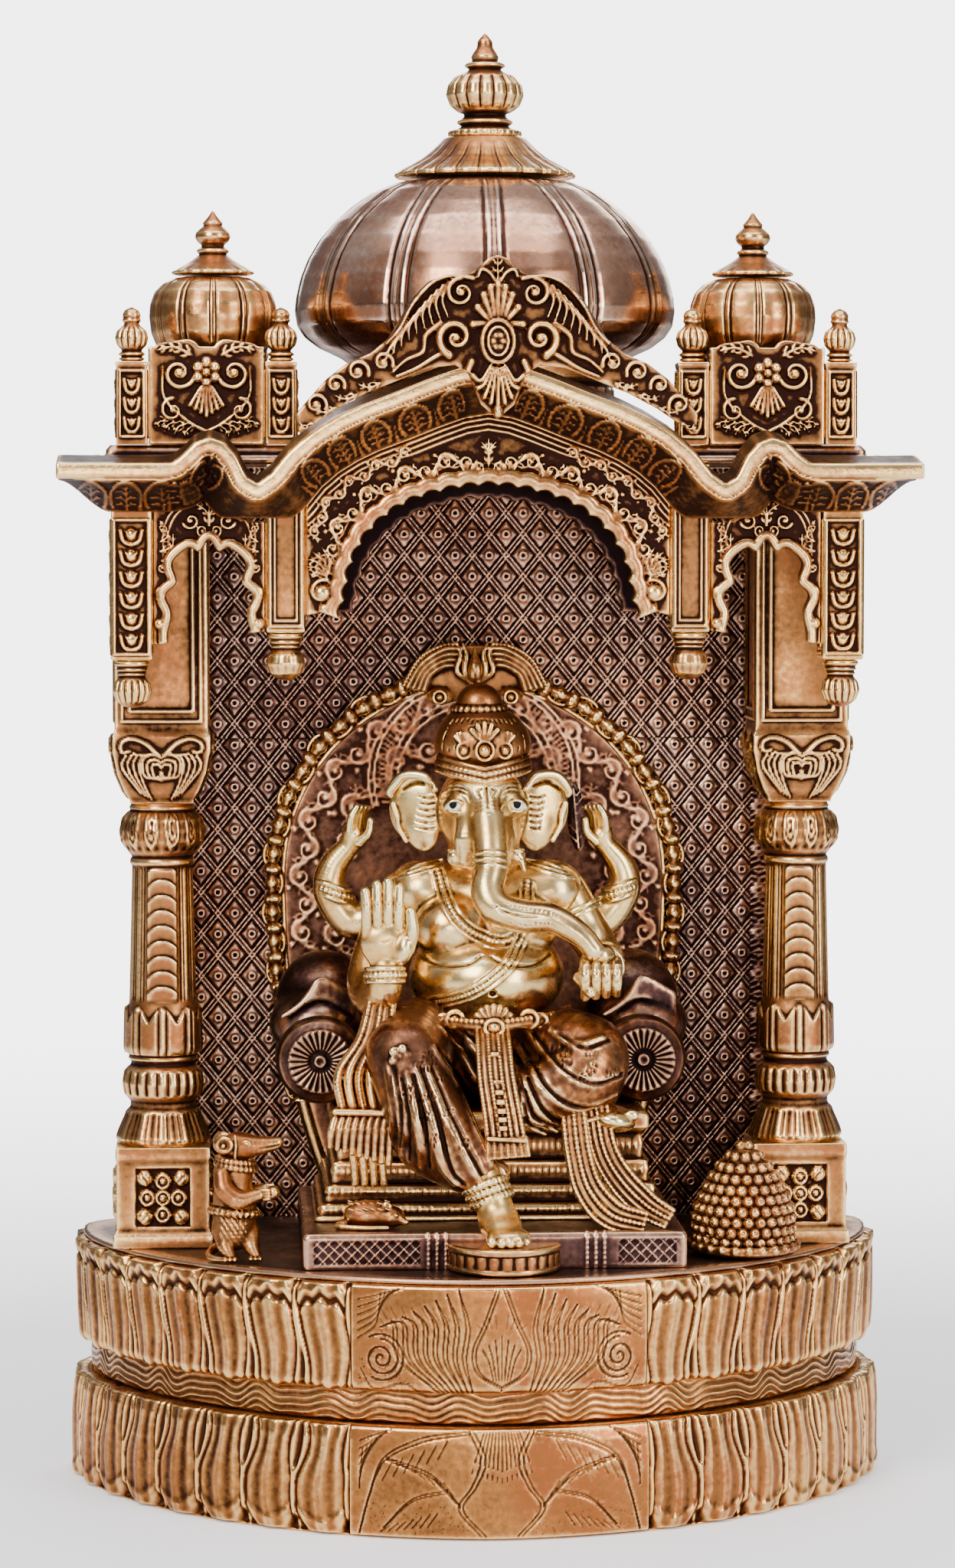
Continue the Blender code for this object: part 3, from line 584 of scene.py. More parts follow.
def patina(name, slot, hollow, body, warm, high, shift=0.0, rough=(0.55, 0.24), blotch=14.0, grain=0.25):
    """Antique brass: dark in the hollows, polished on the edges, blotched in between."""
    mat = bpy.data.materials.new(name)
    mat["slot"] = slot
    mat.use_nodes = True
    tree = mat.node_tree
    shader = tree.nodes["Principled BSDF"]
    shader.inputs["Metallic"].default_value = 1.0
    tone = tree.nodes.new("ShaderNodeAttribute")
    tone.attribute_name = "tone"
    worn = scaled(tree, tone.outputs["Fac"], -1, 1, 0.0, 1.0)
    speck = scaled(tree, noise(tree, 260.0, 4.0), 0.3, 0.7, -0.07, 0.07)
    cloud = scaled(tree, noise(tree, blotch, 3.0), 0.3, 0.7, -0.1 + shift, 0.1 + shift)
    height = combine(tree, combine(tree, worn, speck), cloud)
    dark = tuple(0.5 * (h + b) for h, b in zip(hollow, body))
    cool = ramp(tree, height, [(0.26, hollow), (0.44, dark), (0.56, body), (0.84, high), (1.0, high)])
    red = ramp(tree, height, [(0.28, hollow), (0.46, dark), (0.58, warm), (0.9, high), (1.0, high)])
    mix = tree.nodes.new("ShaderNodeMix")
    mix.data_type = "RGBA"
    link(tree, scaled(tree, noise(tree, 9.0, 2.0), 0.4, 0.6, 0.0, 1.0), mix.inputs["Factor"])
    link(tree, cool, mix.inputs["A"])
    link(tree, red, mix.inputs["B"])
    link(tree, mix.outputs["Result"], shader.inputs["Base Color"])
    gloss = scaled(tree, height, 0.3, 0.7, rough[0], rough[1])
    smudge = scaled(tree, noise(tree, 60.0, 3.0), 0.3, 0.7, -0.05, 0.07)
    link(tree, combine(tree, gloss, smudge), shader.inputs["Roughness"])
    relief = tree.nodes.new("ShaderNodeBump")
    relief.inputs["Strength"].default_value = grain
    relief.inputs["Distance"].default_value = 0.0006
    link(tree, combine(tree, noise(tree, 420.0, 4.0), noise(tree, 90.0, 2.0)), relief.inputs["Height"])
    link(tree, relief.outputs["Normal"], shader.inputs["Normal"])
    return mat


BRASS = patina("chased_brass", "aged_brass", (0.022, 0.008, 0.006), (0.48, 0.208, 0.064),
               (0.36, 0.108, 0.036), (0.97, 0.65, 0.26))
GILT = patina("gilded_brass", "aged_brass", (0.054, 0.018, 0.008), (0.48, 0.205, 0.056),
              (0.37, 0.11, 0.032), (0.98, 0.65, 0.25), rough=(0.46, 0.22), blotch=7.0)
GOLD = patina("polished_brass", "aged_brass", (0.08, 0.03, 0.012), (0.86, 0.57, 0.18),
              (0.68, 0.34, 0.085), (0.99, 0.84, 0.44), shift=0.1, rough=(0.46, 0.23), grain=0.12)
# The dome's body and edge colours are raised towards a pale pink-white: partly the brass's own colour, partly
# a painted sheen standing for the sky's reflection.
DOME_BRASS_AND_SHEEN = patina("dome_brass_and_painted_sheen", "aged_brass", (0.05, 0.018, 0.01), (0.66, 0.37, 0.23),
                (0.42, 0.17, 0.085), (0.96, 0.79, 0.62), rough=(0.38, 0.16), blotch=10.0, grain=0.06)
DARK = patina("dark_patina", "dark_patina", (0.008, 0.004, 0.004), (0.08, 0.04, 0.034),
              (0.13, 0.05, 0.028), (0.5, 0.3, 0.18), shift=-0.03, rough=(0.56, 0.28))
DUSK = patina("lattice_patina", "dark_patina", (0.011, 0.005, 0.005), (0.105, 0.051, 0.046),
              (0.2, 0.068, 0.032), (0.64, 0.38, 0.24), shift=-0.01, rough=(0.54, 0.28))
HALO = patina("halo_patina", "dark_patina", (0.036, 0.013, 0.009), (0.32, 0.145, 0.085),
              (0.38, 0.13, 0.05), (0.86, 0.56, 0.32), rough=(0.54, 0.3))
CLOTH = patina("cast_cloth", "aged_brass", (0.013, 0.006, 0.004), (0.2, 0.082, 0.042),
               (0.34, 0.13, 0.042), (0.88, 0.61, 0.3), shift=-0.02, rough=(0.46, 0.2))


def enamel(name, colour, rough, shine):
    mat = bpy.data.materials.new(name)
    mat["slot"] = "white_enamel"
    mat.use_nodes = True
    tree = mat.node_tree
    shader = tree.nodes["Principled BSDF"]
    dim = tuple(0.8 * c for c in colour)
    tint = ramp(tree, noise(tree, 300.0, 2.0), [(0.3, dim), (0.7, colour)])
    link(tree, tint, shader.inputs["Base Color"])
    shader.inputs["Roughness"].default_value = rough
    shader.inputs["Specular IOR Level"].default_value = shine
    return mat


WHITE = enamel("eye_white", (0.85, 0.83, 0.78), 0.15, 0.5)
BLACK = enamel("eye_black", (0.004, 0.004, 0.005), 0.45, 0.12)


# ---------------------------------------------------------------- base

BASE_LOW, BASE_HIGH = node("base_lower_tier")
WIDEST_Y = 0.085
PANEL_X = (-0.09, 0.098)
PETAL_PITCH = 0.0372


def base_plan(inset, angle):
    """The base's oval plan, drawn in by inset, at each angle."""
    half = BASE_HIGH[0] - inset
    depth = np.where(np.sin(angle) < 0, WIDEST_Y - BASE_LOW[1], BASE_HIGH[1] - WIDEST_Y) - inset
    power = np.where(np.sin(angle) < 0, 1.8, 3.2)
    c, s = np.cos(angle), np.sin(angle)
    x = half * np.sign(c) * np.abs(c) ** (2 / power)
    y = depth * np.sign(s) * np.abs(s) ** (2 / power)
    return x, WIDEST_Y + y


def plan_walk(count_front, count_panel, count_rear):
    """Angles round the plan with fine steps across the front, and the distance along it."""
    fine = np.linspace(0, TAU, 20001)
    x, y = base_plan(0.0, fine)
    length = np.r_[0, np.cumsum(np.hypot(np.diff(x), np.diff(y)))]
    front = fine[(y < WIDEST_Y - 0.001)]
    start = np.interp(front[0], fine, length)
    end = np.interp(front[-1], fine, length)
    panel = [np.interp(a, x[(y < 0) & (fine > math.pi)], length[(y < 0) & (fine > math.pi)]) for a in PANEL_X]
    spots = np.concatenate([
        np.linspace(0, start, count_rear, endpoint=False),
        np.linspace(start, panel[0], count_front, endpoint=False),
        np.linspace(panel[0], panel[1], count_panel, endpoint=False),
        np.linspace(panel[1], end, count_front, endpoint=False)])
    spots = np.unique(np.clip(spots, 0, length[-1] * 0.99999))
    return np.interp(spots, length, fine), spots, panel


def petal_relief(u, v, panel, upper):
    """Broad lotus petals with slim ones between them, swaying like an S."""
    U, V = np.meshgrid(u, v, indexing="ij")
    side = np.where(U < panel[0], panel[0] - U, U - panel[1])
    sway = 0.0027 * np.sin(TAU * (V * 0.85 + (0.05 if upper else 0.45)))
    across = np.abs((side + sway + 0.001) % PETAL_PITCH - PETAL_PITCH / 2)
    if upper:
        half = PETAL_PITCH * (0.335 + 0.09 * smooth(0.0, 0.55, V) + 0.035 * smooth(0.6, 0.9, V))
    else:
        half = PETAL_PITCH * (0.45 - 0.14 * bump(V, 0.8, 0.36))
    slim = PETAL_PITCH / 2 - half
    t, s = across / half, (PETAL_PITCH / 2 - across) / slim
    body = 0.0046 * np.sqrt(np.clip(1 - t ** 2, 0, 1)) - 0.0013 * bump(t, 0.42, 0.34)
    slip = 0.0034 * np.sqrt(np.clip(1 - s ** 2, 0, 1)) - 0.003 * bump(s, 0, 0.62) * smooth(0.003, 0.005, slim)
    height = np.where(t < 1, body, slip)
    if upper:
        lip = 0.9 - 0.11 * t ** 2 + 0.02 * np.cos(3 * math.pi * t)
        height += (t < 1) * (0.0014 * smooth(lip - 0.02, lip + 0.03, V) - 0.0018 * bump(V, lip - 0.055, 0.05))
        height -= 0.0045 * smooth(0.9, 1.0, V) * smooth(0.7, 1.05, t)
    else:
        lip = 0.04 + 0.13 * t ** 2
        height += 0.0008 * (t < 1) * bump(V, lip + 0.05, 0.07)
        height -= 0.0052 * smooth(lip, lip - 0.1, V) * smooth(0.3, 1.0, t)
    return height


def engrave_panel(relief, middle, upper):
    """Chased lotus and leaf scrolls on the plain front panel."""
    low_v, high_v = relief.b[0], relief.b[-1]
    tall = high_v - low_v

    def cut(points, width=0.0008, depth=0.0008, mirror=True):
        path = [(middle + x, low_v + z * tall) for x, z in points]
        path = curve(path, 40) if len(path) > 2 else np.array(path)
        relief.groove(path, width, depth)
        if mirror:
            relief.groove(flip(path, middle), width, depth)

    rng = np.random.RandomState(5)
    if upper:
        for grow in (0.0, 0.0022):
            cut([(0.0, 0.1 - grow * 8), (0.013 + grow, 0.22), (0.016 + grow, 0.42), (0.009 + grow, 0.66),
                 (0.001 + grow, 0.97)])
        for x in (0.0, 0.0035, 0.007, 0.0105):
            cut([(x * 0.5, 0.16), (x * 0.8, 0.34), (x * 1.15, 0.56 - x * 12)], 0.0006, mirror=x > 0)
            cut([(x * 0.9 + 0.003, 0.62), (x * 1.1 + 0.004, 0.74 - x * 8)], 0.0005, 0.0004)
        for k in range(8):
            s = 0.0062 * k
            for twist in (0.0, 0.0024):
                cut([(0.018 + 0.5 * s, 0.05), (0.022 + 0.95 * s + twist, 0.34),
                     (0.02 + 1.08 * s + twist, 0.64),
                     (0.027 + 1.15 * s, 0.97 - 0.05 * k)], 0.0007, 0.0007)
            for j in range(3):
                cut([(0.026 + 1.08 * s, 0.5 + 0.1 * j), (0.03 + 1.08 * s, 0.6 + 0.1 * j)], 0.0005, 0.0004)
        for hand in (-1, 1):
            eye = (middle + hand * 0.0765, low_v + 0.34 * tall)
            relief.groove(scroll(eye, 0.012, 90, 2.1, hand, 0.12, 60), 0.0009, 0.001)
            relief.groove(scroll(eye, 0.015, 90 - 30 * hand, 0.66, hand, 0.9, 30), 0.0009, 0.001)
        for k in range(6):
            cut([(0.092, 0.86 - 0.07 * k), (0.08, 0.9 - 0.05 * k), (0.062 + 0.003 * k, 0.97 - 0.01 * k)],
                0.0006, 0.0006)
        cut([(0.052, 0.05), (0.062, 0.12), (0.082, 0.08), (0.09, 0.24)], 0.0007, 0.0007)
    else:
        for grow in (0.0, 0.0028):
            cut([(0.018 + grow, 0.98), (0.01 + grow * 1.2, 0.72), (0.016 + grow, 0.48), (0.024 + grow, 0.28),
                 (0.01 + grow, 0.04)])
            cut([(0.02, 0.97 - grow * 9), (0.05, 0.9 - grow * 12), (0.074, 0.72 - grow * 12), (0.083, 0.4),
                 (0.09, 0.04)])
            cut([(0.026, 0.3 + grow * 6), (0.044, 0.56 + grow * 10), (0.072, 0.7 + grow * 8)], 0.0008, 0.0008)
            cut([(0.034, 0.45 - grow * 8), (0.056, 0.36 - grow * 8), (0.074, 0.1)], 0.0007, 0.0007)
        for k in range(-6, 7):
            cut([(k * 0.0018, 0.97), (k * 0.0023, 0.84), (k * 0.0028, 0.62 + 0.014 * abs(k))], 0.0007, 0.0007,
                False)
            cut([(k * 0.003, 0.56 + 0.014 * abs(k)), (k * 0.0031, 0.52 + 0.014 * abs(k))], 0.0006, 0.0006,
                False)
        for k in range(7):
            cut([(0.03 + 0.006 * k, 0.4 + 0.05 * k), (0.036 + 0.006 * k, 0.52 + 0.03 * k)], 0.0006, 0.0006)
            cut([(0.034 + 0.007 * k, 0.88 - 0.04 * k), (0.04 + 0.007 * k, 0.72 - 0.04 * k)], 0.0006, 0.0006)
            cut([(0.07 + k * 0.003, 0.97 - k * 0.03), (0.09, 0.86 - k * 0.07)], 0.0007, 0.0007)
            cut([(0.04 + 0.005 * k, 0.24 - 0.02 * k), (0.046 + 0.005 * k, 0.12 - 0.01 * k)], 0.0006, 0.0006)
    for _ in range(150):
        u, v = rng.rand(2)
        x = 0.054 + 0.038 * u if upper else 0.02 + 0.07 * u
        spot = (middle + math.copysign(x, rng.rand() - 0.5), low_v + (0.04 + 0.3 * v) * tall)
        relief.groove([spot, spot], 0.0006, 0.0004)


def base_tier(name, profile, height_of, stands_for, material, counts, step=0.0009):
    """A hollow tier: an embossed outer skin, a rim, and a plain inner wall."""
    outer = rounded(profile, step, 1)
    angle, spots, panel = plan_walk(*counts)
    rows = []
    for inset, z in outer:
        px, py = base_plan(max(inset, 0.0), angle)
        rows.append(np.stack([px, py, np.full(len(px), z)], -1))
    grid = emboss(np.array(rows), height_of(spots, outer, panel).T)
    wall = 0.0075
    inner = []
    for inset, z in (profile[-1], profile[0]):
        px, py = base_plan(inset + wall, angle)
        inner.append(np.stack([px, py, np.full(len(px), z)], -1))
    return band(name, np.vstack([grid, np.array(inner)]), material, stands_for, 0.0007)


def build_base():
    lower_top = node("base_lower_tier")[1][2]
    waist_low, waist_high = node("base_waist_band")
    upper_low, upper_high = node("base_upper_tier")
    deck_low, deck_high = node("base_deck_plate")

    def tier_height(upper):
        def height_of(spots, outer, panel):
            z = outer[:, 1]
            v = (z - z[0]) / (z[-1] - z[0])
            along = np.r_[0, np.cumsum(np.hypot(*np.diff(outer, axis=0).T))]
            petals = petal_relief(spots, v, panel, upper)
            relief = Relief(spots, along)
            engrave_panel(relief, (panel[0] + panel[1]) / 2, upper)
            inside = ((spots > panel[0]) & (spots < panel[1]))[:, None]
            front = (np.interp(spots, [panel[0] - 0.36, panel[0] - 0.34, panel[1] + 0.34, panel[1] + 0.36],
                               [0, 1, 1, 0]))[:, None]
            plain = 0.0028 + 0.75 * relief.height
            height = np.where(inside, plain, petals * front)
            edge = bump(spots, panel[0], 0.001) + bump(spots, panel[1], 0.001)
            height = height * (1 - 0.9 * np.clip(edge, 0, 1)[:, None])
            ends = smooth(0.0, 0.03, v) * smooth(1.0, 0.97, v)
            return height * ends[None, :]
        return height_of

    skirt = [(0.005, 0.0), (0.0048, 0.004), (0.0046, 0.015), (0.0044, 0.045), (0.0052, 0.06),
             (0.007, lower_top)]
    base_tier("lotus_skirt_lower", skirt, tier_height(False), ["base_lower_tier"], GILT, (420, 310, 60))
    crown = [(0.014, upper_low[2]), (0.009, upper_low[2] + 0.004), (0.008, 0.11), (0.0078, 0.14),
             (0.0082, 0.15), (0.009, upper_high[2])]
    base_tier("lotus_skirt_upper", crown, tier_height(True), ["base_upper_tier"], GILT, (420, 310, 60))

    def waves(spots, outer, panel):
        z = outer[:, 1]
        v = (z - z[0]) / (z[-1] - z[0])
        U, V = np.meshgrid(spots, v, indexing="ij")
        sway = 0.9 * np.sin(TAU * U / 0.047) + 0.5 * np.sin(TAU * U / 0.029 + 1.0)
        twist = 0.7 * np.sin(TAU * U / 0.094 + 2.0)
        lines = np.cos(TAU * (V * 4.5 + 0.9 * sway * (0.7 + 0.3 * twist)))
        return 0.00032 * lines * smooth(0, 0.1, V) * smooth(1, 0.9, V)

    belt = [(0.015, waist_low[2]), (0.0142, waist_low[2] + 0.002), (0.0138, 0.0795), (0.015, waist_high[2])]
    base_tier("waist_band", belt, waves, ["base_waist_band"], GILT, (420, 300, 60), 0.0008)

    angle = plan_walk(150, 90, 50)[0]
    rows = []
    for inset, z in ((0.01, deck_low[2]), (0.009, deck_low[2] + 0.0006), (0.0095, deck_high[2] - 0.0004),
                     (0.012, deck_high[2]), (0.016, deck_high[2])):
        px, py = base_plan(inset, angle)
        rows.append(np.stack([px, py, np.full(len(px), z)], -1))
    for shrink in np.linspace(0.97, 0.05, 40):
        px, py = base_plan(0.016, angle)
        ripple = 0.0002 * np.sin(px * shrink * 90) * np.sin(py * shrink * 70)
        rows.append(np.stack([px * shrink, 0.02 + (py - 0.02) * shrink, deck_high[2] - 0.0001 + ripple], -1))
    surface("deck_plate", np.array(rows), DARK, ["base_deck_plate"])


# ---------------------------------------------------------------- square and turned helpers

def squared(name, x, y, profile, material, stands_for=(), draw=None, deep=0.0, across=44, step=0.0009):
    """An upright four-sided piece from (half width, height) pairs, with the same relief on each face."""
    p = rounded(profile, step, 1)
    u = np.arange(across) / across * 2 - 1
    lifts = []
    for extra in (0.0, deep):
        face = Relief(u * (p[:, 0].max() + extra), p[:, 1])
        if draw is not None:
            draw(face, extra > 0)
        lifts.append(face.height.T * smooth(1.0, 0.94, np.abs(u))[None, :])
    half = p[:, :1]
    wide, tall = half + 0 * u, np.repeat(p[:, 1:], across, 1)
    front = np.stack([x + u * wide, y - half - deep - lifts[0], tall], -1)
    right = np.stack([x + half + lifts[1], y + u * (wide + deep), tall], -1)
    back = np.stack([x - u * wide, y + half + deep + lifts[0], tall], -1)
    left = np.stack([x - half - lifts[1], y - u * (wide + deep), tall], -1)
    rings = np.concatenate([front, right, back, left], 1)
    return surface(name, rings, material, stands_for)


def twin(obj, name, stands_for=()):
    """The mirror image of a finished piece on the other side of the middle."""
    mesh = obj.data.copy()
    mesh.name = name
    co = np.empty(len(mesh.vertices) * 3, np.float32)
    mesh.vertices.foreach_get("co", co)
    co[0::3] *= -1
    mesh.vertices.foreach_set("co", co)
    mesh.flip_normals()
    mesh.update()
    copy = bpy.data.objects.new(name, mesh)
    bpy.context.scene.collection.objects.link(copy)
    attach(copy, "root")
    if stands_for:
        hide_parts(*stands_for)
    return copy


def frame_line(face, half, low, high, width=0.0009, height=0.0012):
    """A raised rectangular outline."""
    corners = [(-half, low), (half, low), (half, high), (-half, high), (-half, low)]
    face.stroke(corners, width, height)


def sink(face, half, low, high, depth=0.0012):
    """Lower a rectangular panel."""
    inside = np.maximum(np.abs(face.A) - half, np.abs(face.B - (low + high) / 2) - (high - low) / 2)
    face.height -= depth * smooth(0.0006, -0.0006, inside)


def gadroons(angle, count, depth, sharp=0.5):
    """Round lobes side by side, deepest between them."""
    return -depth * (1 - np.abs(np.cos(angle * count / 2)) ** sharp)


def vine(face, path, size, width, height, hand=1):
    """A running scroll: volutes on alternate sides of a waving stem, with bosses and leaves."""
    stations = resample(curve(path, 60), size * 2.15)
    heading = np.gradient(stations, axis=0)
    heading /= np.linalg.norm(heading, axis=1, keepdims=True)
    side = np.stack([-heading[:, 1], heading[:, 0]], 1)
    for k, (p, t, n) in enumerate(zip(stations, heading, side)):
        way = hand * (1 if k % 2 else -1)
        centre = p + n * way * size * 0.22
        start = math.degrees(math.atan2(-t[1], -t[0]))
        face.volute(centre, size * 0.92, start, 1.35, -way, width, height)
        out = p - n * way * size * 0.95
        face.leaf(p + t * size * 0.5, out + t * size * 1.3, 0.25 * way, size * 0.55, height * 0.9, 0.0, 2)
        face.boss(*(p + n * way * size * 1.05 + t * size * 0.9), size * 0.26, height)
    if len(stations) > 1:
        wave = np.array([p + n * (hand if k % 2 else -hand) * size * 0.75 for k,
                         (p, n) in enumerate(zip(stations, side))])
        face.stroke(curve(wave, 12 * len(wave)), width, height * 0.85)


# ---------------------------------------------------------------- pillars

def build_pillars():
    low, high = node("right_pillar_shaft")
    x, y = (low[:2] + high[:2]) / 2
    low, high = node("right_pillar_pedestal")

    def rosette(face, _):
        z = 0.1925
        sink(face, 0.0185, z - 0.0185, z + 0.0185, 0.0022)
        face.ring(0, z, 0.0042, 0.0011, 0.0026)
        face.boss(0, z, 0.0027, 0.003)
        for k in range(4):
            a = k * math.pi / 2
            c, s = math.cos(a), math.sin(a)
            face.ring(0.0107 * c, z + 0.0107 * s, 0.0042, 0.0013, 0.003)
            face.boss(0.0107 * c, z + 0.0107 * s, 0.0026, 0.0024)
            d = math.pi / 4 + a
            face.boss(0.0175 * math.cos(d), z + 0.0175 * math.sin(d), 0.0052, 0.0034, -0.001)
            face.groove([(0.012 * math.cos(d), z + 0.012 * math.sin(d)),
                         (0.022 * math.cos(d), z + 0.022 * math.sin(d))], 0.0007, 0.0012)

    foot = [(0.0318, low[2]), (0.032, 0.165), (0.0316, 0.1685), (0.0298, 0.1712), (0.0296, 0.215),
            (0.0304, 0.218), (0.03, high[2])]
    pedestal = squared("pedestal_right", x, y, foot, BRASS, ["right_pillar_pedestal"], rosette, across=60)
    twin(pedestal, "pedestal_left", ["left_pillar_pedestal"])

    low, high = node("right_pillar_shaft")

    def carve(angle, r, z):
        a = angle + math.pi / 2
        turn = (a + math.pi) % TAU - math.pi
        out = 0 * (a + z)
        skirt = smooth(0.2255, 0.2275, z) * smooth(0.247, 0.244, z)
        sweep = a * 6 + 0 * z
        out = out + skirt * (0.0016 * np.abs(np.cos(sweep)) - 0.0008 * bump(np.abs(np.sin(sweep)), 0.62, 0.2))
        drum = smooth(0.2555, 0.258, z) * smooth(0.273, 0.2705, z)
        out = out + drum * gadroons(a, 22, 0.0022, 0.6)
        lift = (z - 0.282) / 0.032
        tips = 0.7 + 0.3 * np.abs(np.cos(a * 4))
        leaf = smooth(0.0, 0.04, lift) * smooth(tips + 0.02, tips - 0.06, lift)
        rib = 0.0008 * bump(np.abs(np.sin(a * 4)), 0.0, 0.16) - 0.0012 * bump(np.abs(np.sin(a * 4)), 0.45,
                                                                              0.16)
        out = out + leaf * (0.0017 + rib)
        body = smooth(0.316, 0.32, z) * smooth(0.4045, 0.401, z)
        lines = np.abs(turn)
        flute = bump(lines, 0.62, 0.05) + bump(lines, 0.74, 0.05) + bump(lines, 0.98, 0.06) + bump(lines, 1.1,
                                                                                                   0.06)
        for k in range(6):
            flute = flute + bump(lines, 1.4 + 0.28 * k, 0.07)
        out = out - body * 0.0012 * flute
        scale = (z - 0.318) / 0.0098
        arc = (scale + 2.2 * turn ** 2) % 1.0
        column = body * smooth(0.5, 0.42, lines)
        out = out + column * (0.0016 * arc * smooth(1.0, 0.9, arc) + 0.0004)
        petal = smooth(0.4125, 0.4155, z) * smooth(0.4395, 0.437, z)
        v = (z - 0.4125) / 0.027
        u = (a * 6 / TAU * 2) % 1.0 - 0.5
        rad = np.hypot(u * 1.5, (v - 0.62) * 0.9)
        out = out + petal * (0.0013 * bump(rad, 0.42, 0.12) + 0.001 * bump(rad, 0.22,
                                                                           0.1) + 0.0012 * bump(rad, 0, 0.1))
        return out - 0.0006 * (1 - body) * bump(v, 0.1, 0.12) * np.abs(np.sin(a * 12))

    shaft = [(0.0285, low[2]), (0.029, 0.229), (0.027, 0.2345), (0.0228, 0.244), (0.0232, 0.2462),
             (0.0212, 0.248),
             (0.021, 0.252), (0.0228, 0.254), (0.0255, 0.257), (0.0266, 0.264), (0.0255, 0.271),
             (0.0226, 0.274),
             (0.0206, 0.2755), (0.0206, 0.278), (0.0226, 0.2795), (0.0216, 0.2815), (0.0231, 0.286),
             (0.0226, 0.31),
             (0.0216, 0.316), (0.0194, 0.404), (0.0209, 0.4052), (0.0207, 0.408), (0.0192, 0.4095),
             (0.0222, 0.413),
             (0.026, 0.42), (0.0266, 0.427), (0.025, 0.434), (0.0216, 0.4385), (0.0202, 0.4395),
             (0.0214, 0.4412),
             (0.0202, 0.4428), (0.0198, high[2])]
    column = lathe("pillar_shaft_right", x, y, shaft, BRASS, ["right_pillar_shaft", "right_pillar_tie_bolt"],
                   150, 0.0007, carve)
    twin(column, "pillar_shaft_left", ["left_pillar_shaft", "left_pillar_tie_bolt"])

    low, high = node("right_pillar_capital")

    def bracket(face, _):
        for k in range(3):
            g = 0.0032 * k
            heart = curve([(0, 0.46 + 0.3 * g), (0.005 + g, 0.462), (0.0062 + g, 0.469 + g * 0.5),
                           (0.0022 + g * 0.6, 0.47 + g), (0, 0.468 + g)], 20)
            face.stroke(heart, 0.0012, 0.0022)
            face.stroke(flip(heart), 0.0012, 0.0022)
        face.boss(0, 0.464, 0.0022, 0.0026)
        for hand in (-1, 1):
            for k in range(4):
                g = 0.0036 * k
                rib = curve([(0.01 + g * 0.7, 0.448 + g * 0.3), (0.0135 + g, 0.457 + g * 0.5),
                             (0.015 + g * 1.1, 0.47),
                             (0.012 + g, 0.476)], 14)
                face.stroke(rib * (hand, 1), 0.0013, 0.0022, 0.0009)
            top = curve([(0.002, 0.476), (0.01, 0.4835), (0.019, 0.4865), (0.0255, 0.4835), (0.025, 0.478),
                         (0.0205, 0.4785)], 20)
            face.stroke(top * (hand, 1), 0.0018, 0.0026, 0.0012)
            low_leaf = curve([(0.003, 0.4775), (0.01, 0.476), (0.018, 0.477)], 12)
            face.stroke(low_leaf * (hand, 1), 0.0014, 0.0022, 0.0008)
        frame_line(face, 0.0262, 0.4975, 0.656, 0.0011, 0.0013)
        frame_line(face, 0.0212, 0.504, 0.65, 0.0009, 0.0011)
        sink(face, 0.02, 0.5052, 0.6488, 0.0007)

    capital = [(0.02, low[2]), (0.0203, 0.447), (0.0235, 0.452), (0.0282, 0.464), (0.03, 0.474),
               (0.0311, 0.478),
               (0.0312, 0.488), (0.0298, 0.4915), (0.0296, 0.493), (0.0296, high[2])]
    top = squared("pillar_capital_right", x, y, capital, BRASS, ["right_pillar_capital"], bracket, across=60)
    twin(top, "pillar_capital_left", ["left_pillar_capital"])


# ---------------------------------------------------------------- walls

def lattice_height(X, Z):
    """Raised diamonds, each with a ring and a dot, between pairs of diagonal bars."""
    run, rise = 0.0113, 0.014
    p = (X / run + Z / rise) / 2
    q = (X / run - Z / rise) / 2
    fp, fq = np.abs(p - np.round(p)), np.abs(q - np.round(q))
    edge = np.maximum(fp, fq)
    cell = smooth(0.325, 0.29, edge)
    bars = sum(bump(f, 0.43, 0.056) for f in (fp, fq))
    cx, cz = (np.round(p) + np.round(q)) * run, (np.round(p) - np.round(q)) * rise
    rad = np.hypot(X - cx, Z - cz)
    return (0.001 * cell + 0.001 * np.clip(bars, 0, 1) * (1 - cell)
            + 0.001 * bump(rad, 0.0021, 0.0011) - 0.0006 * bump(rad, 0, 0.0011))


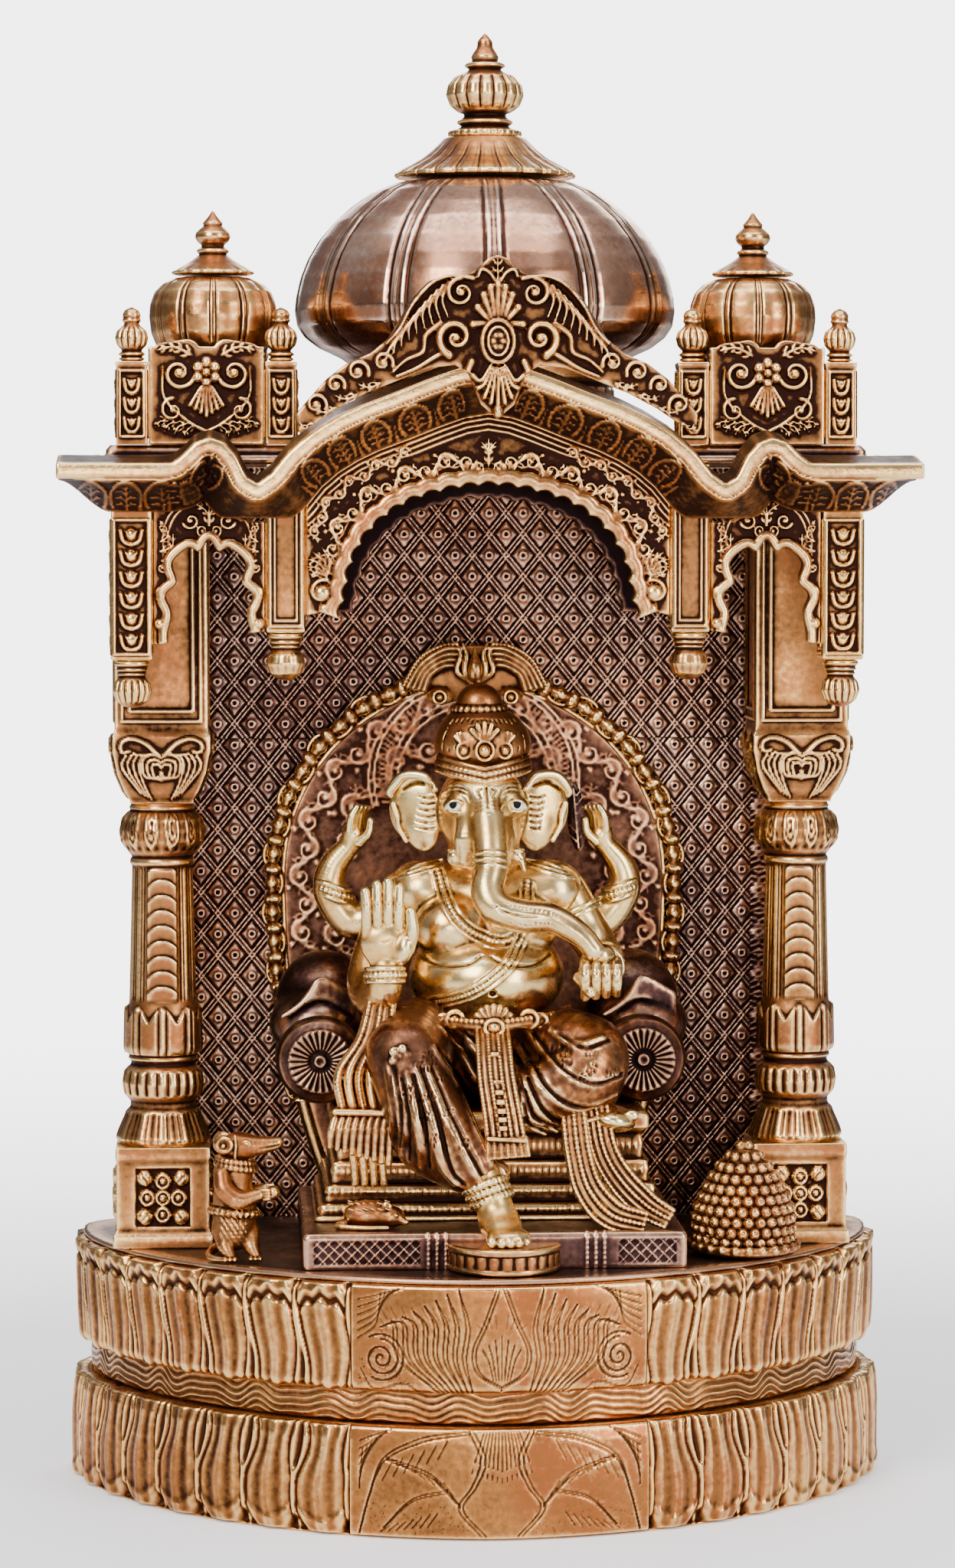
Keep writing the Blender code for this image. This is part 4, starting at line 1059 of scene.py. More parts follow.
def build_back():
    low, high = node("back_plate")
    front = low[1] + 0.0014

    def sheet(name, z_low, z_high, columns, step, stands_for):
        z = np.arange(z_low, z_high + step / 2, step)
        X, Z = np.meshgrid(columns, z)
        face = np.stack([X, front - lattice_height(X, Z), Z], -1)
        back_x = np.linspace(high[0], low[0], 30)
        BX, BZ = np.meshgrid(back_x, z)
        rear = np.stack([BX, 0 * BX + high[1] - 0.0006, BZ], -1)
        return still_ends(surface(name, np.concatenate([face, rear], 1), DUSK, stands_for), len(z))

    fine = 0.00095
    side = np.arange(0.1, 0.186, fine)
    edge = np.linspace(0.187, high[0], 6)
    lower = np.concatenate([-edge[::-1], -side[::-1], np.linspace(-0.098, 0.098, 40), side, edge])
    upper = np.concatenate([[low[0]], np.arange(-0.19, 0.19 + fine / 2, fine), [high[0]]])
    sheet("lattice_lower", low[2], 0.48, lower, fine, ["back_plate"])
    sheet("lattice_upper", 0.4802, high[2], upper, fine, [])

    low, high = node("right_side_wall")

    def panel(face, wide):
        if wide:
            frame_line(face, 0.03, 0.17, 0.65, 0.0012, 0.0011)
            frame_line(face, 0.024, 0.178, 0.642, 0.0009, 0.0009)
            for z in np.arange(0.2, 0.63, 0.0335):
                face.ring(0, z, 0.009, 0.001, 0.001)
                face.ring(0, z, 0.0045, 0.001, 0.001)
                for a in np.arange(8) * math.pi / 4:
                    face.leaf((0.01 * math.cos(a), z + 0.01 * math.sin(a)),
                              (0.0155 * math.cos(a), z + 0.0155 * math.sin(a)), 0.2, 0.002, 0.0009, 0, 2)

    x, y = plan_middle(low, high)
    half = (high[0] - low[0]) / 2 - 0.0009
    deep = (high[1] - low[1]) / 2 - half - 0.0003
    wall = squared("side_wall_right", x, y, [(half, low[2]), (half, high[2])], BRASS, ["right_side_wall"],
                   panel, deep, 48, 0.0017)
    twin(wall, "side_wall_left", ["left_side_wall"])


# ---------------------------------------------------------------- eave

EAVE = np.array([
    (0.0, 0.7215), (0.0226, 0.7177), (0.04, 0.7115), (0.06, 0.7035), (0.08, 0.696),
    (0.096, 0.6884), (0.111, 0.679), (0.125, 0.667), (0.136, 0.6535), (0.144, 0.6478),
    (0.15, 0.6515), (0.156, 0.664), (0.164, 0.673), (0.173, 0.676), (0.182, 0.673),
    (0.19, 0.665), (0.196, 0.6605), (0.206, 0.66), (0.24, 0.6602), (0.2671, 0.6604)])
STRIP = 0.0095
COVE = 0.03


def eave_map(A, B):
    """Distance below the eave line, and how far along it, for every point of a plate."""
    line = resample(EAVE, 0.002)
    along = np.r_[0, np.cumsum(np.hypot(*np.diff(line, axis=0).T))]
    best = np.full(A.shape, 1e9)
    place = np.zeros(A.shape)
    X = np.abs(A)
    for p0, p1, s in zip(line[:-1], line[1:], along):
        d = p1 - p0
        t = np.clip(((X - p0[0]) * d[0] + (B - p0[1]) * d[1]) / (d @ d), 0, 1)
        gap = np.hypot(X - p0[0] - t * d[0], B - p0[1] - t * d[1])
        place = np.where(gap < best, s + t * np.linalg.norm(d), place)
        best = np.minimum(best, gap)
    below = np.interp(X, line[:, 0], line[:, 1]) - B
    return np.where(below > 0, best, below), place


def build_eave():
    low, high = node("front_eave")
    back = high[1]
    reach = back - low[1]
    plate = Plate(0.0, high[0], 0.627, 0.729, 0.001)
    depth, along = eave_map(plate.A, plate.B)
    limit = COVE - (COVE - STRIP - 0.001) * smooth(0.234, 0.2671, plate.A)
    plate.outline = np.maximum(-depth - 0.0058, depth - limit)
    plate.outline = np.maximum(plate.outline, plate.A - high[0] + 0.0005)
    lip = 1 - ((depth - STRIP / 2) / (STRIP / 2)) ** 4
    strip = reach - 0.0012 + 0.0012 * np.clip(lip, 0, 1)
    fall = (depth - STRIP) / (limit - STRIP)
    cove = (reach - 0.004) * (1 - np.clip(fall, 0, 1) ** 0.85) + 0.004 * smooth(1, 0, fall) + 0.0015
    leaves = Relief(np.arange(-0.02, 0.36, 0.0009), np.arange(0.0, 0.036, 0.0009))
    middle = STRIP + 0.0105
    for s in np.concatenate([np.arange(0.03, 0.16, 0.0262), np.arange(0.185, 0.226, 0.02),
                             np.arange(0.242, 0.31, 0.0215)]):
        tall = 0.0092
        arch = np.array([(s + 0.0098 * math.cos(a),
                          middle + 0.001 - tall * math.sin(a)) for a in np.linspace(-0.6, math.pi + 0.6, 20)])
        leaves.stroke(arch, 0.0015, 0.0026)
        leaves.stroke([(s, middle + 0.0085), (s, middle - 0.0065)], 0.0009, 0.0022)
        for k in range(4):
            for hand in (-1, 1):
                z = middle + 0.0065 - 0.0036 * k
                leaves.stroke([(s, z), (s + hand * 0.003, z - 0.0026), (s + hand * 0.0058, z - 0.0022)],
                              0.001, 0.0018, 0.0006)
        leaves.stroke([(s + 0.0131, middle + 0.009), (s + 0.0131, middle - 0.001)], 0.0016, 0.0018, 0.0005)
    i = np.clip(((along + 0.02) / 0.0009).astype(int), 0, len(leaves.a) - 1)
    j = np.clip((depth / 0.0009).astype(int), 0, len(leaves.b) - 1)
    cove = cove + leaves.height[i, j] * smooth(1.0, 0.9, fall) * smooth(0.0, 0.06, fall)
    top = strip * (1 - np.clip(-depth / 0.0058, 0, 1))
    plate.height = np.where(depth < 0, top, np.where(depth < STRIP, strip, cove))
    eave = plate.build("front_eave_right", back, back, BRASS, ["front_eave"], ground=0.0)
    # Painted shade: the cove behind the front strip is darkened by 0.45 as if in shadow, and the frontmost
    # strip is made 0.2 lighter.
    darken_patina_and_shade(eave, lambda x, y,
           z: 0.45 * smooth(low[1] + 0.0025, low[1] + 0.006, y) - 0.2 * smooth(low[1] + 0.003, low[1], y))
    twin(eave, "front_eave_left")

    low, high = node("right_side_eave")
    section = rounded([(low[0], low[2] + 0.001), (low[0] + 0.01, low[2]), (high[0] - 0.006, low[2] + 0.0035),
                       (high[0] - 0.0008, 0.656), (high[0], 0.66), (high[0] - 0.0015, 0.6625),
                       (low[0], high[2]),
                       (low[0], low[2] + 0.001)], 0.0016, 2)[:-1]
    y = np.arange(low[1], high[1] + 0.0008, 0.0016)
    ripple = bump((y - low[1]) % 0.0215, 0.01075, 0.01)
    rings = []
    for yy, lift in zip(y, ripple):
        fade = smooth(0.2665, 0.26, section[:, 0]) * (section[:, 1] < 0.6575)
        rings.append(np.stack([section[:, 0], np.full(len(section), yy),
                               section[:, 1] - 0.0016 * lift * fade + 0.0016 * fade], -1))
    edge = surface("side_eave_right", np.array(rings), BRASS, ["right_side_eave"])
    twin(edge, "side_eave_left", ["left_side_eave"])

    low, high = node("canopy_roof")
    rows = [(0.003, low[2]), (0.0004, low[2] + 0.002), (0.0004, low[2] + 0.005), (0.0024, low[2] + 0.0065),
            (0.0024, low[2] + 0.009), (0.005, high[2])]
    slab("roof", low, high, rows, DARK, ["canopy_roof"])


def slab(name, low, high, edge, material, stands_for=(), step=0.0025, side=None):
    """A flat rectangular casting with a moulded edge given as (inset, height) pairs."""
    corner = 0.003
    wide, deep = (high[0] - low[0]) / 2, (high[1] - low[1]) / 2
    cx, cy = plan_middle(low, high)
    outline = []
    for (ax, ay), start in zip(((1, -1), (1, 1), (-1, 1), (-1, -1)), (-90, 0, 90, 180)):
        for a in np.radians(start + np.array([0, 30, 60, 90])):
            outline.append((ax * (wide - corner) + corner * math.cos(a),
                            ay * (deep - corner) + corner * math.sin(a)))
    ring = resample(outline + outline[:1], step)[:-1]
    rows = []
    for inset, z in rounded(edge, 0.0008, 1):
        p = ring * ((wide - inset) / wide, (deep - inset) / deep)
        rows.append(np.stack([cx + p[:, 0], cy + p[:, 1], np.full(len(p), z)], -1))
    if side is not None:
        rows = list(emboss(np.array(rows), side(np.array(rows))))
    last = rows[-1]
    ripple = 0.00025
    for shrink in np.linspace(0.96, 0.02, 36):
        p = np.array([cx, cy, 0]) + (last - (cx, cy, 0)) * (shrink, shrink, 1)
        p[:, 2] = last[:, 2].mean() + ripple * (np.sin(p[:, 0] * 110) * np.sin(p[:, 1] * 130) - 1)
        rows.append(p)
    return surface(name, np.array(rows), material, stands_for)


# ---------------------------------------------------------------- arches

def cusped(path, lobe, depth):
    """Break a smooth arch into round lobes that bite outwards."""
    p = resample(curve(path, 80), 0.0007)
    length = np.r_[0, np.cumsum(np.hypot(*np.diff(p, axis=0).T))]
    count = max(1, round(length[-1] / lobe))
    t = np.gradient(p, axis=0)
    n = np.stack([-t[:, 1], t[:, 0]], 1) / np.linalg.norm(t, axis=1, keepdims=True)
    return p + n * (depth * (np.abs(np.sin(math.pi * count * length / length[-1])) - 0.4))[:, None]


ARCH = [(-0.0935, 0.564), (-0.0895, 0.58), (-0.085, 0.6), (-0.074, 0.619), (-0.054, 0.635), (-0.028, 0.644),
        (0.0, 0.6475), (0.028, 0.644), (0.054, 0.635), (0.074, 0.619), (0.085, 0.6), (0.0895, 0.58),
        (0.0935, 0.564)]


def build_arch():
    low, high = node("central_arch")
    front, back = low[1] + 0.001, high[1]
    opening = cusped(ARCH, 0.0125, 0.0026)
    hole = np.vstack([opening, [(0.0935, 0.5), (-0.0935, 0.5)]])
    plate = Plate(low[0], high[0], low[2] - 0.001, 0.704, 0.0009)
    plate.outline = np.maximum(np.abs(plate.A) - high[0], -np.minimum(plate.B - 0.56, 1))
    gap = polygon_distance(plate.A, plate.B, hole)
    plate.outline = np.maximum(plate.outline, -gap)
    foot = [(-0.1134, 0.559), (-0.1134, 0.566), (-0.104, 0.568), (-0.0935, 0.564), (-0.0935, 0.55)]
    plate.cut(foot)
    plate.cut(flip(foot))
    depth, _ = eave_map(plate.A, plate.B)
    plate.outline = np.maximum(plate.outline, COVE - 0.006 - depth)
    for d in (0.0325, 0.0358, 0.0392):
        plate.height += 0.0014 * bump(depth, d, 0.0014)
    plate.height += 0.0022 * smooth(0.031, 0.03, depth)
    plate.height += 0.0012 * bump(gap, 0.0117, 0.0012)
    plate.height = np.where(gap < 0.0092,
                            0.003 * np.sqrt(np.clip(1 - ((gap - 0.0046) / 0.0047) ** 2, 0, 1)) + 0.0008,
                            plate.height)
    for hand in (-1, 1):
        path = np.array([(0.0135, 0.6625), (0.034, 0.6585), (0.056, 0.65), (0.074, 0.64), (0.088, 0.627),
                         (0.097, 0.611), (0.101, 0.595)])
        vine(plate, path * (hand, 1), 0.0064, 0.0013, 0.0026, hand)
        outer = np.array([(0.052, 0.666), (0.07, 0.658), (0.088, 0.647), (0.102, 0.633), (0.107, 0.618)])
        vine(plate, outer * (hand, 1), 0.0042, 0.001, 0.0022, -hand)
        plate.volute((hand * 0.0062, 0.6575), 0.0052, -90, 1.2, hand, 0.0013, 0.0028)
        plate.boss(hand * 0.1035, 0.58, 0.0058, 0.0046)
        plate.volute((hand * 0.1035, 0.58), 0.0088, 90 + 20 * hand, 0.8, -hand, 0.0016, 0.0036)
        for k in range(5):
            a = math.radians(90 + hand * (10 + 30 * k))
            tip = (hand * 0.101 - 0.013 * math.cos(a), 0.598 + 0.01 * math.sin(a))
            plate.leaf((hand * 0.101, 0.59), tip, 0.2 * hand, 0.003, 0.003, 0, 3)
        plate.boss(hand * 0.102, 0.57, 0.004, 0.0034)
    for k in (-1, 0, 1):
        plate.leaf((0, 0.66), (k * 0.0045, 0.676 - abs(k) * 0.002), 0.15 * k, 0.0028, 0.0026, 0, 3)
    plate.boss(0, 0.655, 0.0026, 0.0032, stretch=1.4)
    plate.build("central_arch", front, back, BRASS, ["central_arch"], ground=0.32)

    soffit = Plate(-0.113, 0.113, 0.566, 0.67, 0.0011)
    inner = opening * (0.93, 1) - (0.0, 0.0085)
    inner = np.vstack([inner, [(0.086, 0.5), (-0.086, 0.5)]])
    soffit.outline = np.maximum(np.abs(soffit.A) - 0.1125, np.abs(soffit.B - 0.618) - 0.05)
    soffit.cut(inner)
    inside = soffit.build("arch_soffit", back + 0.0003, back + 0.02, DARK)
    # Painted shade: the soffit takes the dark patina and is darkened a further 0.5 all over, for the shadow
    # inside the arch.
    darken_patina_and_shade(inside, lambda x, y, z: 0.5 + 0 * x)

    low, high = node("right_side_arch")
    middle = (low[0] + high[0]) / 2
    plate = Plate(low[0], high[0], low[2] - 0.001, 0.656, 0.0008)
    lobes = [(-0.0255, 0.556), (-0.0232, 0.568), (-0.0268, 0.579), (-0.02, 0.587), (-0.0225, 0.599),
             (-0.013, 0.608),
             (-0.006, 0.606), (0.0, 0.613), (0.006, 0.606), (0.013, 0.608), (0.0225, 0.599), (0.02, 0.587),
             (0.0268, 0.579), (0.0232, 0.568), (0.0255, 0.556)]
    edge = curve(lobes, 90) + (middle, 0)
    hole = np.vstack([edge, [(middle + 0.0255, 0.52), (middle - 0.0255, 0.52)]])
    gap = polygon_distance(plate.A, plate.B, hole)
    slope = 0.548 + (high[0] - plate.A) * 0.12
    plate.outline = np.maximum(np.maximum(low[0] - plate.A, plate.A - high[0]), slope - plate.B)
    plate.outline = np.maximum(plate.outline, -gap)
    depth, _ = eave_map(plate.A, plate.B)
    plate.outline = np.maximum(plate.outline, 0.0235 - depth)
    hump = np.hypot((plate.A - middle) * 0.92, plate.B - 0.615)
    wave = np.where(plate.B > 0.615, hump, np.abs(plate.A - middle) * 0.92)
    for r in (0.0262, 0.0232):
        plate.height += 0.0013 * bump(wave, r, 0.0012) * (plate.B > 0.6)
    plate.height = np.where(gap < 0.0062,
                            0.0028 * np.sqrt(np.clip(1 - ((gap - 0.0031) / 0.0032) ** 2, 0, 1)) + 0.0008,
                            plate.height)
    for hand in (-1, 1):
        plate.volute((middle + hand * 0.0042, 0.619), 0.0036, -90, 1.2, hand, 0.0011, 0.0026)
        plate.volute((middle + hand * 0.0112, 0.625), 0.0052, 200 if hand < 0 else -20, 1.2, -hand, 0.0012,
                     0.0024)
        plate.volute((middle + hand * 0.029, 0.596), 0.0042, 90, 1.2, hand, 0.0012, 0.0026)
        plate.volute((middle + hand * 0.029, 0.58), 0.0042, 90, 1.2, -hand, 0.0012, 0.0028)
        plate.boss(middle + hand * 0.03, 0.561, 0.004, 0.004)
        for k in range(3):
            plate.leaf((middle + hand * 0.03, 0.606 + 0.006 * k),
                       (middle + hand * (0.0225 + 0.004 * k), 0.617 + 0.004 * k), 0.3 * hand,
                       0.0024, 0.0022, 0, 3)
    for k in (-1, 0, 1):
        plate.leaf((middle, 0.622), (middle + k * 0.008, 0.639 - abs(k) * 0.0035), 0.2 * k, 0.0032, 0.0026, 0,
                   3)
    arch = plate.build("side_arch_right", low[1] + 0.001, high[1], BRASS, ["right_side_arch"], ground=0.32)
    twin(arch, "side_arch_left", ["left_side_arch"])


# ---------------------------------------------------------------- posts and parapets

def build_posts():
    def scales(face, low, high, half):
        frame_line(face, half * 0.8, low, high, 0.0009, 0.001)
        sink(face, half * 0.72, low + 0.0012, high - 0.0012, 0.0016)
        count = max(3, round((high - low) / 0.0142))
        for k in range(count):
            z = low + 0.003 + k * (high - low - 0.005) / count
            w = half * 0.5
            cup = curve([(-w, z + 0.0085), (-w * 0.75, z + 0.002), (0, z), (w * 0.75, z + 0.002),
                         (w, z + 0.0085)], 16)
            face.stroke(cup, 0.0014, 0.003, level=-0.0016)
            face.boss(0, z + 0.006, w * 0.55, 0.003, -0.0016, 1.1)
            face.stroke([(-w * 0.5, z + 0.008), (0, z + 0.0035), (w * 0.5, z + 0.008)], 0.0007, 0.0034,
                        level=-0.0016)

    def outer(face, _):
        scales(face, 0.542, 0.6255, 0.0135)

    def inner(face, _):
        frame_line(face, 0.01, 0.5595, 0.645, 0.0009, 0.0011)
        sink(face, 0.0065, 0.5635, 0.645, 0.0018)
        frame_line(face, 0.007, 0.563, 0.645, 0.0006, 0.0008)

    for kind, half, draw in (("outer", 0.0135, outer), ("inner", 0.0125, inner)):
        low, high = node(f"right_{kind}_hanging_post")
        x, y = plan_middle(low, high)
        z = low[2] + 0.03
        shaft = [(half * 0.86, z), (half * 0.97, z + 0.0012), (half - 0.001, z + 0.003),
                 (half - 0.001, high[2])]
        post = squared(f"{kind}_post_right", x, y, shaft, BRASS, [f"right_{kind}_hanging_post"], draw,
                       across=36)
        twin(post, f"{kind}_post_left", [f"left_{kind}_hanging_post"])
        b = low[2]
        drop = [(0.0006, b), (0.0055, b + 0.0012), (0.01, b + 0.0045), (0.0123, b + 0.0105),
                (0.0112, b + 0.016),
                (0.0085, b + 0.019), (0.0078, b + 0.02), (0.0098, b + 0.0212), (0.0082, b + 0.0225),
                (0.0104, b + 0.024),
                (0.009, b + 0.0255), (0.0114, b + 0.0272), (0.0108, b + 0.0295), (0.006, b + 0.0297)]

        def flutes(angle, r, z, b=b, fluted=kind == "outer"):
            belly = smooth(b + 0.002, b + 0.006, z) * smooth(b + 0.0185, b + 0.016, z)
            return belly * gadroons(angle, 14, 0.002 if fluted else 0.0003, 0.6)

        pendant = lathe(f"{kind}_pendant_right", x, y, drop, BRASS, [], 84, 0.0007, flutes)
        twin(pendant, f"{kind}_pendant_left")

    for kind in ("outer", "inner"):
        low, high = node(f"right_{kind}_parapet_post")
        x, y = plan_middle(low, high)

        def face_draw(face, _):
            scales(face, 0.677, 0.718, 0.0095)

        post = squared(f"{kind}_parapet_post_right", x, y,
                       [(0.0096, low[2]), (0.0094, 0.7205), (0.01, 0.7218), (0.0098, 0.7237)],
                       BRASS, [f"right_{kind}_parapet_post"], face_draw, across=30)
        twin(post, f"{kind}_parapet_post_left", [f"left_{kind}_parapet_post"])
        bud = [(0.006, 0.7239), (0.0085, 0.7255), (0.006, 0.7268), (0.0088, 0.7284), (0.0058, 0.7305),
               (0.0092, 0.734),
               (0.0104, 0.7385), (0.0092, 0.743), (0.005, 0.7462), (0.0044, 0.748), (0.0062, 0.7492),
               (0.005, 0.7508),
               (0.0058, 0.753), (0.004, 0.756), (0.0006, 0.7575)]
        top = lathe(f"{kind}_bud_right", x, y, bud, BRASS, [], 72, 0.0007,
                    lambda a, r,
                    z: smooth(0.7315, 0.7345, z) * smooth(0.7465, 0.7435, z) * gadroons(a, 12, 0.0018, 0.6))
        twin(top, f"{kind}_bud_left")

    low, high = node("right_parapet")
    middle = (low[0] + high[0]) / 2
    plate = Plate(low[0], high[0], low[2], high[2], 0.0009)
    plate.outline = np.maximum(np.abs(plate.A - middle) - (high[0] - low[0]) / 2, plate.B - 0.733)
    for hand in (-1, 1):
        plate.add_line([(middle + hand * 0.012, 0.729), (middle + hand * 0.026, 0.727)], 0.0085)
        plate.volute((middle + hand * 0.017, 0.7165), 0.0098, 200 if hand > 0 else -20, 1.3, hand, 0.0019,
                     0.0034)
        plate.boss(middle + hand * 0.017, 0.7165, 0.0036, 0.0048)
        plate.volute((middle + hand * 0.021, 0.6935), 0.0075, 90, 1.2, -hand, 0.0017, 0.003)
        stem = curve([(middle, 0.68), (middle + hand * 0.012, 0.687), (middle + hand * 0.026, 0.701),
                      (middle + hand * 0.027, 0.72)], 20)
        plate.stroke(stem, 0.0017, 0.0028, 0.001)
        for k in range(4):
            plate.leaf((middle + hand * (0.006 + 0.006 * k), 0.684 + 0.001 * k),
                       (middle + hand * (0.014 + 0.006 * k), 0.6765 + 0.002 * k), 0.2 * hand, 0.003,
                       0.0026, 0, 2)
        plate.leaf((middle + hand * 0.01, 0.728), (middle + hand * 0.03, 0.731), 0.15 * hand, 0.0036, 0.0028,
                   0, 4)
    for a in np.arange(6) * math.pi / 3 + math.pi / 6:
        plate.boss(middle + 0.0062 * math.cos(a), 0.717 + 0.0062 * math.sin(a), 0.0038, 0.0046)
    plate.boss(middle, 0.717, 0.0032, 0.0064)
    for k in range(-3, 4):
        plate.stroke([(middle + k * 0.0012, 0.708), (middle + k * 0.0034, 0.69 + abs(k) * 0.0022)], 0.0012,
                     0.0032, 0.0018)
    wall = plate.build("parapet_right", low[1] + 0.0015, high[1], BRASS, ["right_parapet"])
    twin(wall, "parapet_left", ["left_parapet"])


# ---------------------------------------------------------------- crest

def build_crest():
    low, high = node("crest_ornament")
    cx = 0.003
    front, back = low[1] + 0.003, high[1]
    plate = Plate(low[0], high[0] + 0.004, low[2] - 0.002, high[2] + 0.002, 0.0009)
    shape = [(0.0, 0.687), (0.0105, 0.696), (0.018, 0.715), (0.026, 0.72), (0.042, 0.718), (0.062, 0.71),
             (0.08, 0.703), (0.098, 0.6935), (0.115, 0.682), (0.1215, 0.678), (0.123, 0.69), (0.115, 0.7),
             (0.104, 0.712), (0.092, 0.721), (0.078, 0.727), (0.067, 0.736), (0.06, 0.748), (0.052, 0.761),
             (0.042, 0.771), (0.03, 0.775), (0.019, 0.7745), (0.012, 0.779), (0.006, 0.785), (0.0, 0.787)]
    outline = np.vstack([np.array(shape) + (cx, 0), flip(shape[::-1]) + (cx, 0)])
    plate.add(outline)

    def both(points, width, height, end=None):
        p = curve(points, 26) + (cx, 0)
        plate.stroke(p, width, height, end)
        plate.stroke(flip(p, cx), width, height, end)

    for hand in (-1, 1):
        plate.volute((cx + hand * 0.0225, 0.764), 0.009, 90, 1.4, -hand, 0.0021, 0.0044)
        plate.boss(cx + hand * 0.0225, 0.764, 0.003, 0.0056)
        plate.volute((cx + hand * 0.0258, 0.7367), 0.0112, -70 if hand > 0 else 250, 1.35, hand, 0.003,
                     0.0056, 0.0008)
        plate.boss(cx + hand * 0.0258, 0.7367, 0.0034, 0.0062)
        for x, z, r in ((0.07, 0.7215, 0.0062), (0.0855, 0.716, 0.007), (0.099, 0.708, 0.0058),
                        (0.111, 0.696, 0.0066)):
            plate.volute((cx + hand * x, z), r, 200 if hand > 0 else -20, 1.3, -hand, 0.0017, 0.0036)
            plate.boss(cx + hand * x, z, r * 0.42, 0.0048)
        for x, z in ((0.078, 0.709), (0.092, 0.702), (0.105, 0.694), (0.116, 0.684)):
            plate.leaf((cx + hand * (x - 0.006), z), (cx + hand * (x + 0.007), z - 0.001), -0.2 * hand, 0.003,
                       0.003, 0, 3)
        for k in range(9):
            t = k / 8
            root = (0.03 + 0.028 * t, 0.77 - 0.03 * t ** 1.3)
            bend = (root[0] + 0.004 + 0.004 * t, root[1] - 0.01)
            tip = (root[0] + 0.0005 + 0.01 * t, root[1] - 0.021 + 0.004 * t)
            path = curve([root, bend, tip], 12) * (hand, 1) + (cx, 0)
            plate.stroke(path, 0.0019, 0.0034, 0.0008)
    both([(0.015, 0.7725), (0.027, 0.7745), (0.04, 0.77), (0.052, 0.757), (0.06, 0.742), (0.068, 0.733)],
         0.0018, 0.0048, 0.0012)
    both([(0.035, 0.745), (0.044, 0.738), (0.046, 0.728), (0.056, 0.723), (0.064, 0.716)], 0.0024, 0.004,
         0.0012)
    both([(0.033, 0.728), (0.04, 0.724), (0.05, 0.718), (0.062, 0.713)], 0.002, 0.0036, 0.001)
    both([(0.016, 0.722), (0.02, 0.715), (0.03, 0.716), (0.042, 0.713)], 0.0028, 0.005, 0.002)
    for k in range(-4, 5):
        a = math.radians(90 - 15 * k)
        root = (cx + 0.0075 * math.cos(a), 0.742 + 0.007 * math.sin(a))
        tip = (cx + 0.0175 * math.cos(a), 0.746 + 0.023 * math.sin(a) - 0.0008 * k * k)
        plate.stroke([root, tip], 0.0018, 0.0046, 0.003)
        plate.boss(*tip, 0.003, 0.0056)
        b = math.radians(-90 + 11 * k)
        root = (cx + 0.0065 * math.cos(b), 0.724 + 0.006 * math.sin(b))
        knee = (cx + 0.0125 * math.cos(b) * 1.2, 0.722 + 0.016 * math.sin(b))
        tip = (cx + 0.013 * math.sin(math.radians(11 * k)) * 1.7, 0.696 + 0.0011 * k * k)
        plate.stroke(curve([root, knee, tip], 10), 0.0012, 0.0056, 0.002)
    plate.boss(cx, 0.6915, 0.0034, 0.006, stretch=1.5)
    plate.boss(cx, 0.7343, 0.0112, 0.0062, stretch=1.3)
    plate.ring(cx, 0.7343, 0.0098, 0.0016, 0.0022, 0.0046, 1.32)
    plate.ring(cx, 0.7343, 0.0062, 0.001, 0.0018, 0.0056, 1.4)
    for a in np.arange(6) * math.pi / 3:
        plate.boss(cx + 0.003 * math.cos(a), 0.7343 + 0.004 * math.sin(a), 0.0017, 0.0016, 0.0058)
    plate.leaf((cx, 0.77), (cx, 0.785), 0.0, 0.0044, 0.0046, 0, 3)
    both([(0.001, 0.77), (0.005, 0.776), (0.01, 0.778), (0.012, 0.774)], 0.0015, 0.0042)
    plate.build("crest", front, back, BRASS, ["crest_ornament"], tone_scale=0.0009)


# ---------------------------------------------------------------- domes

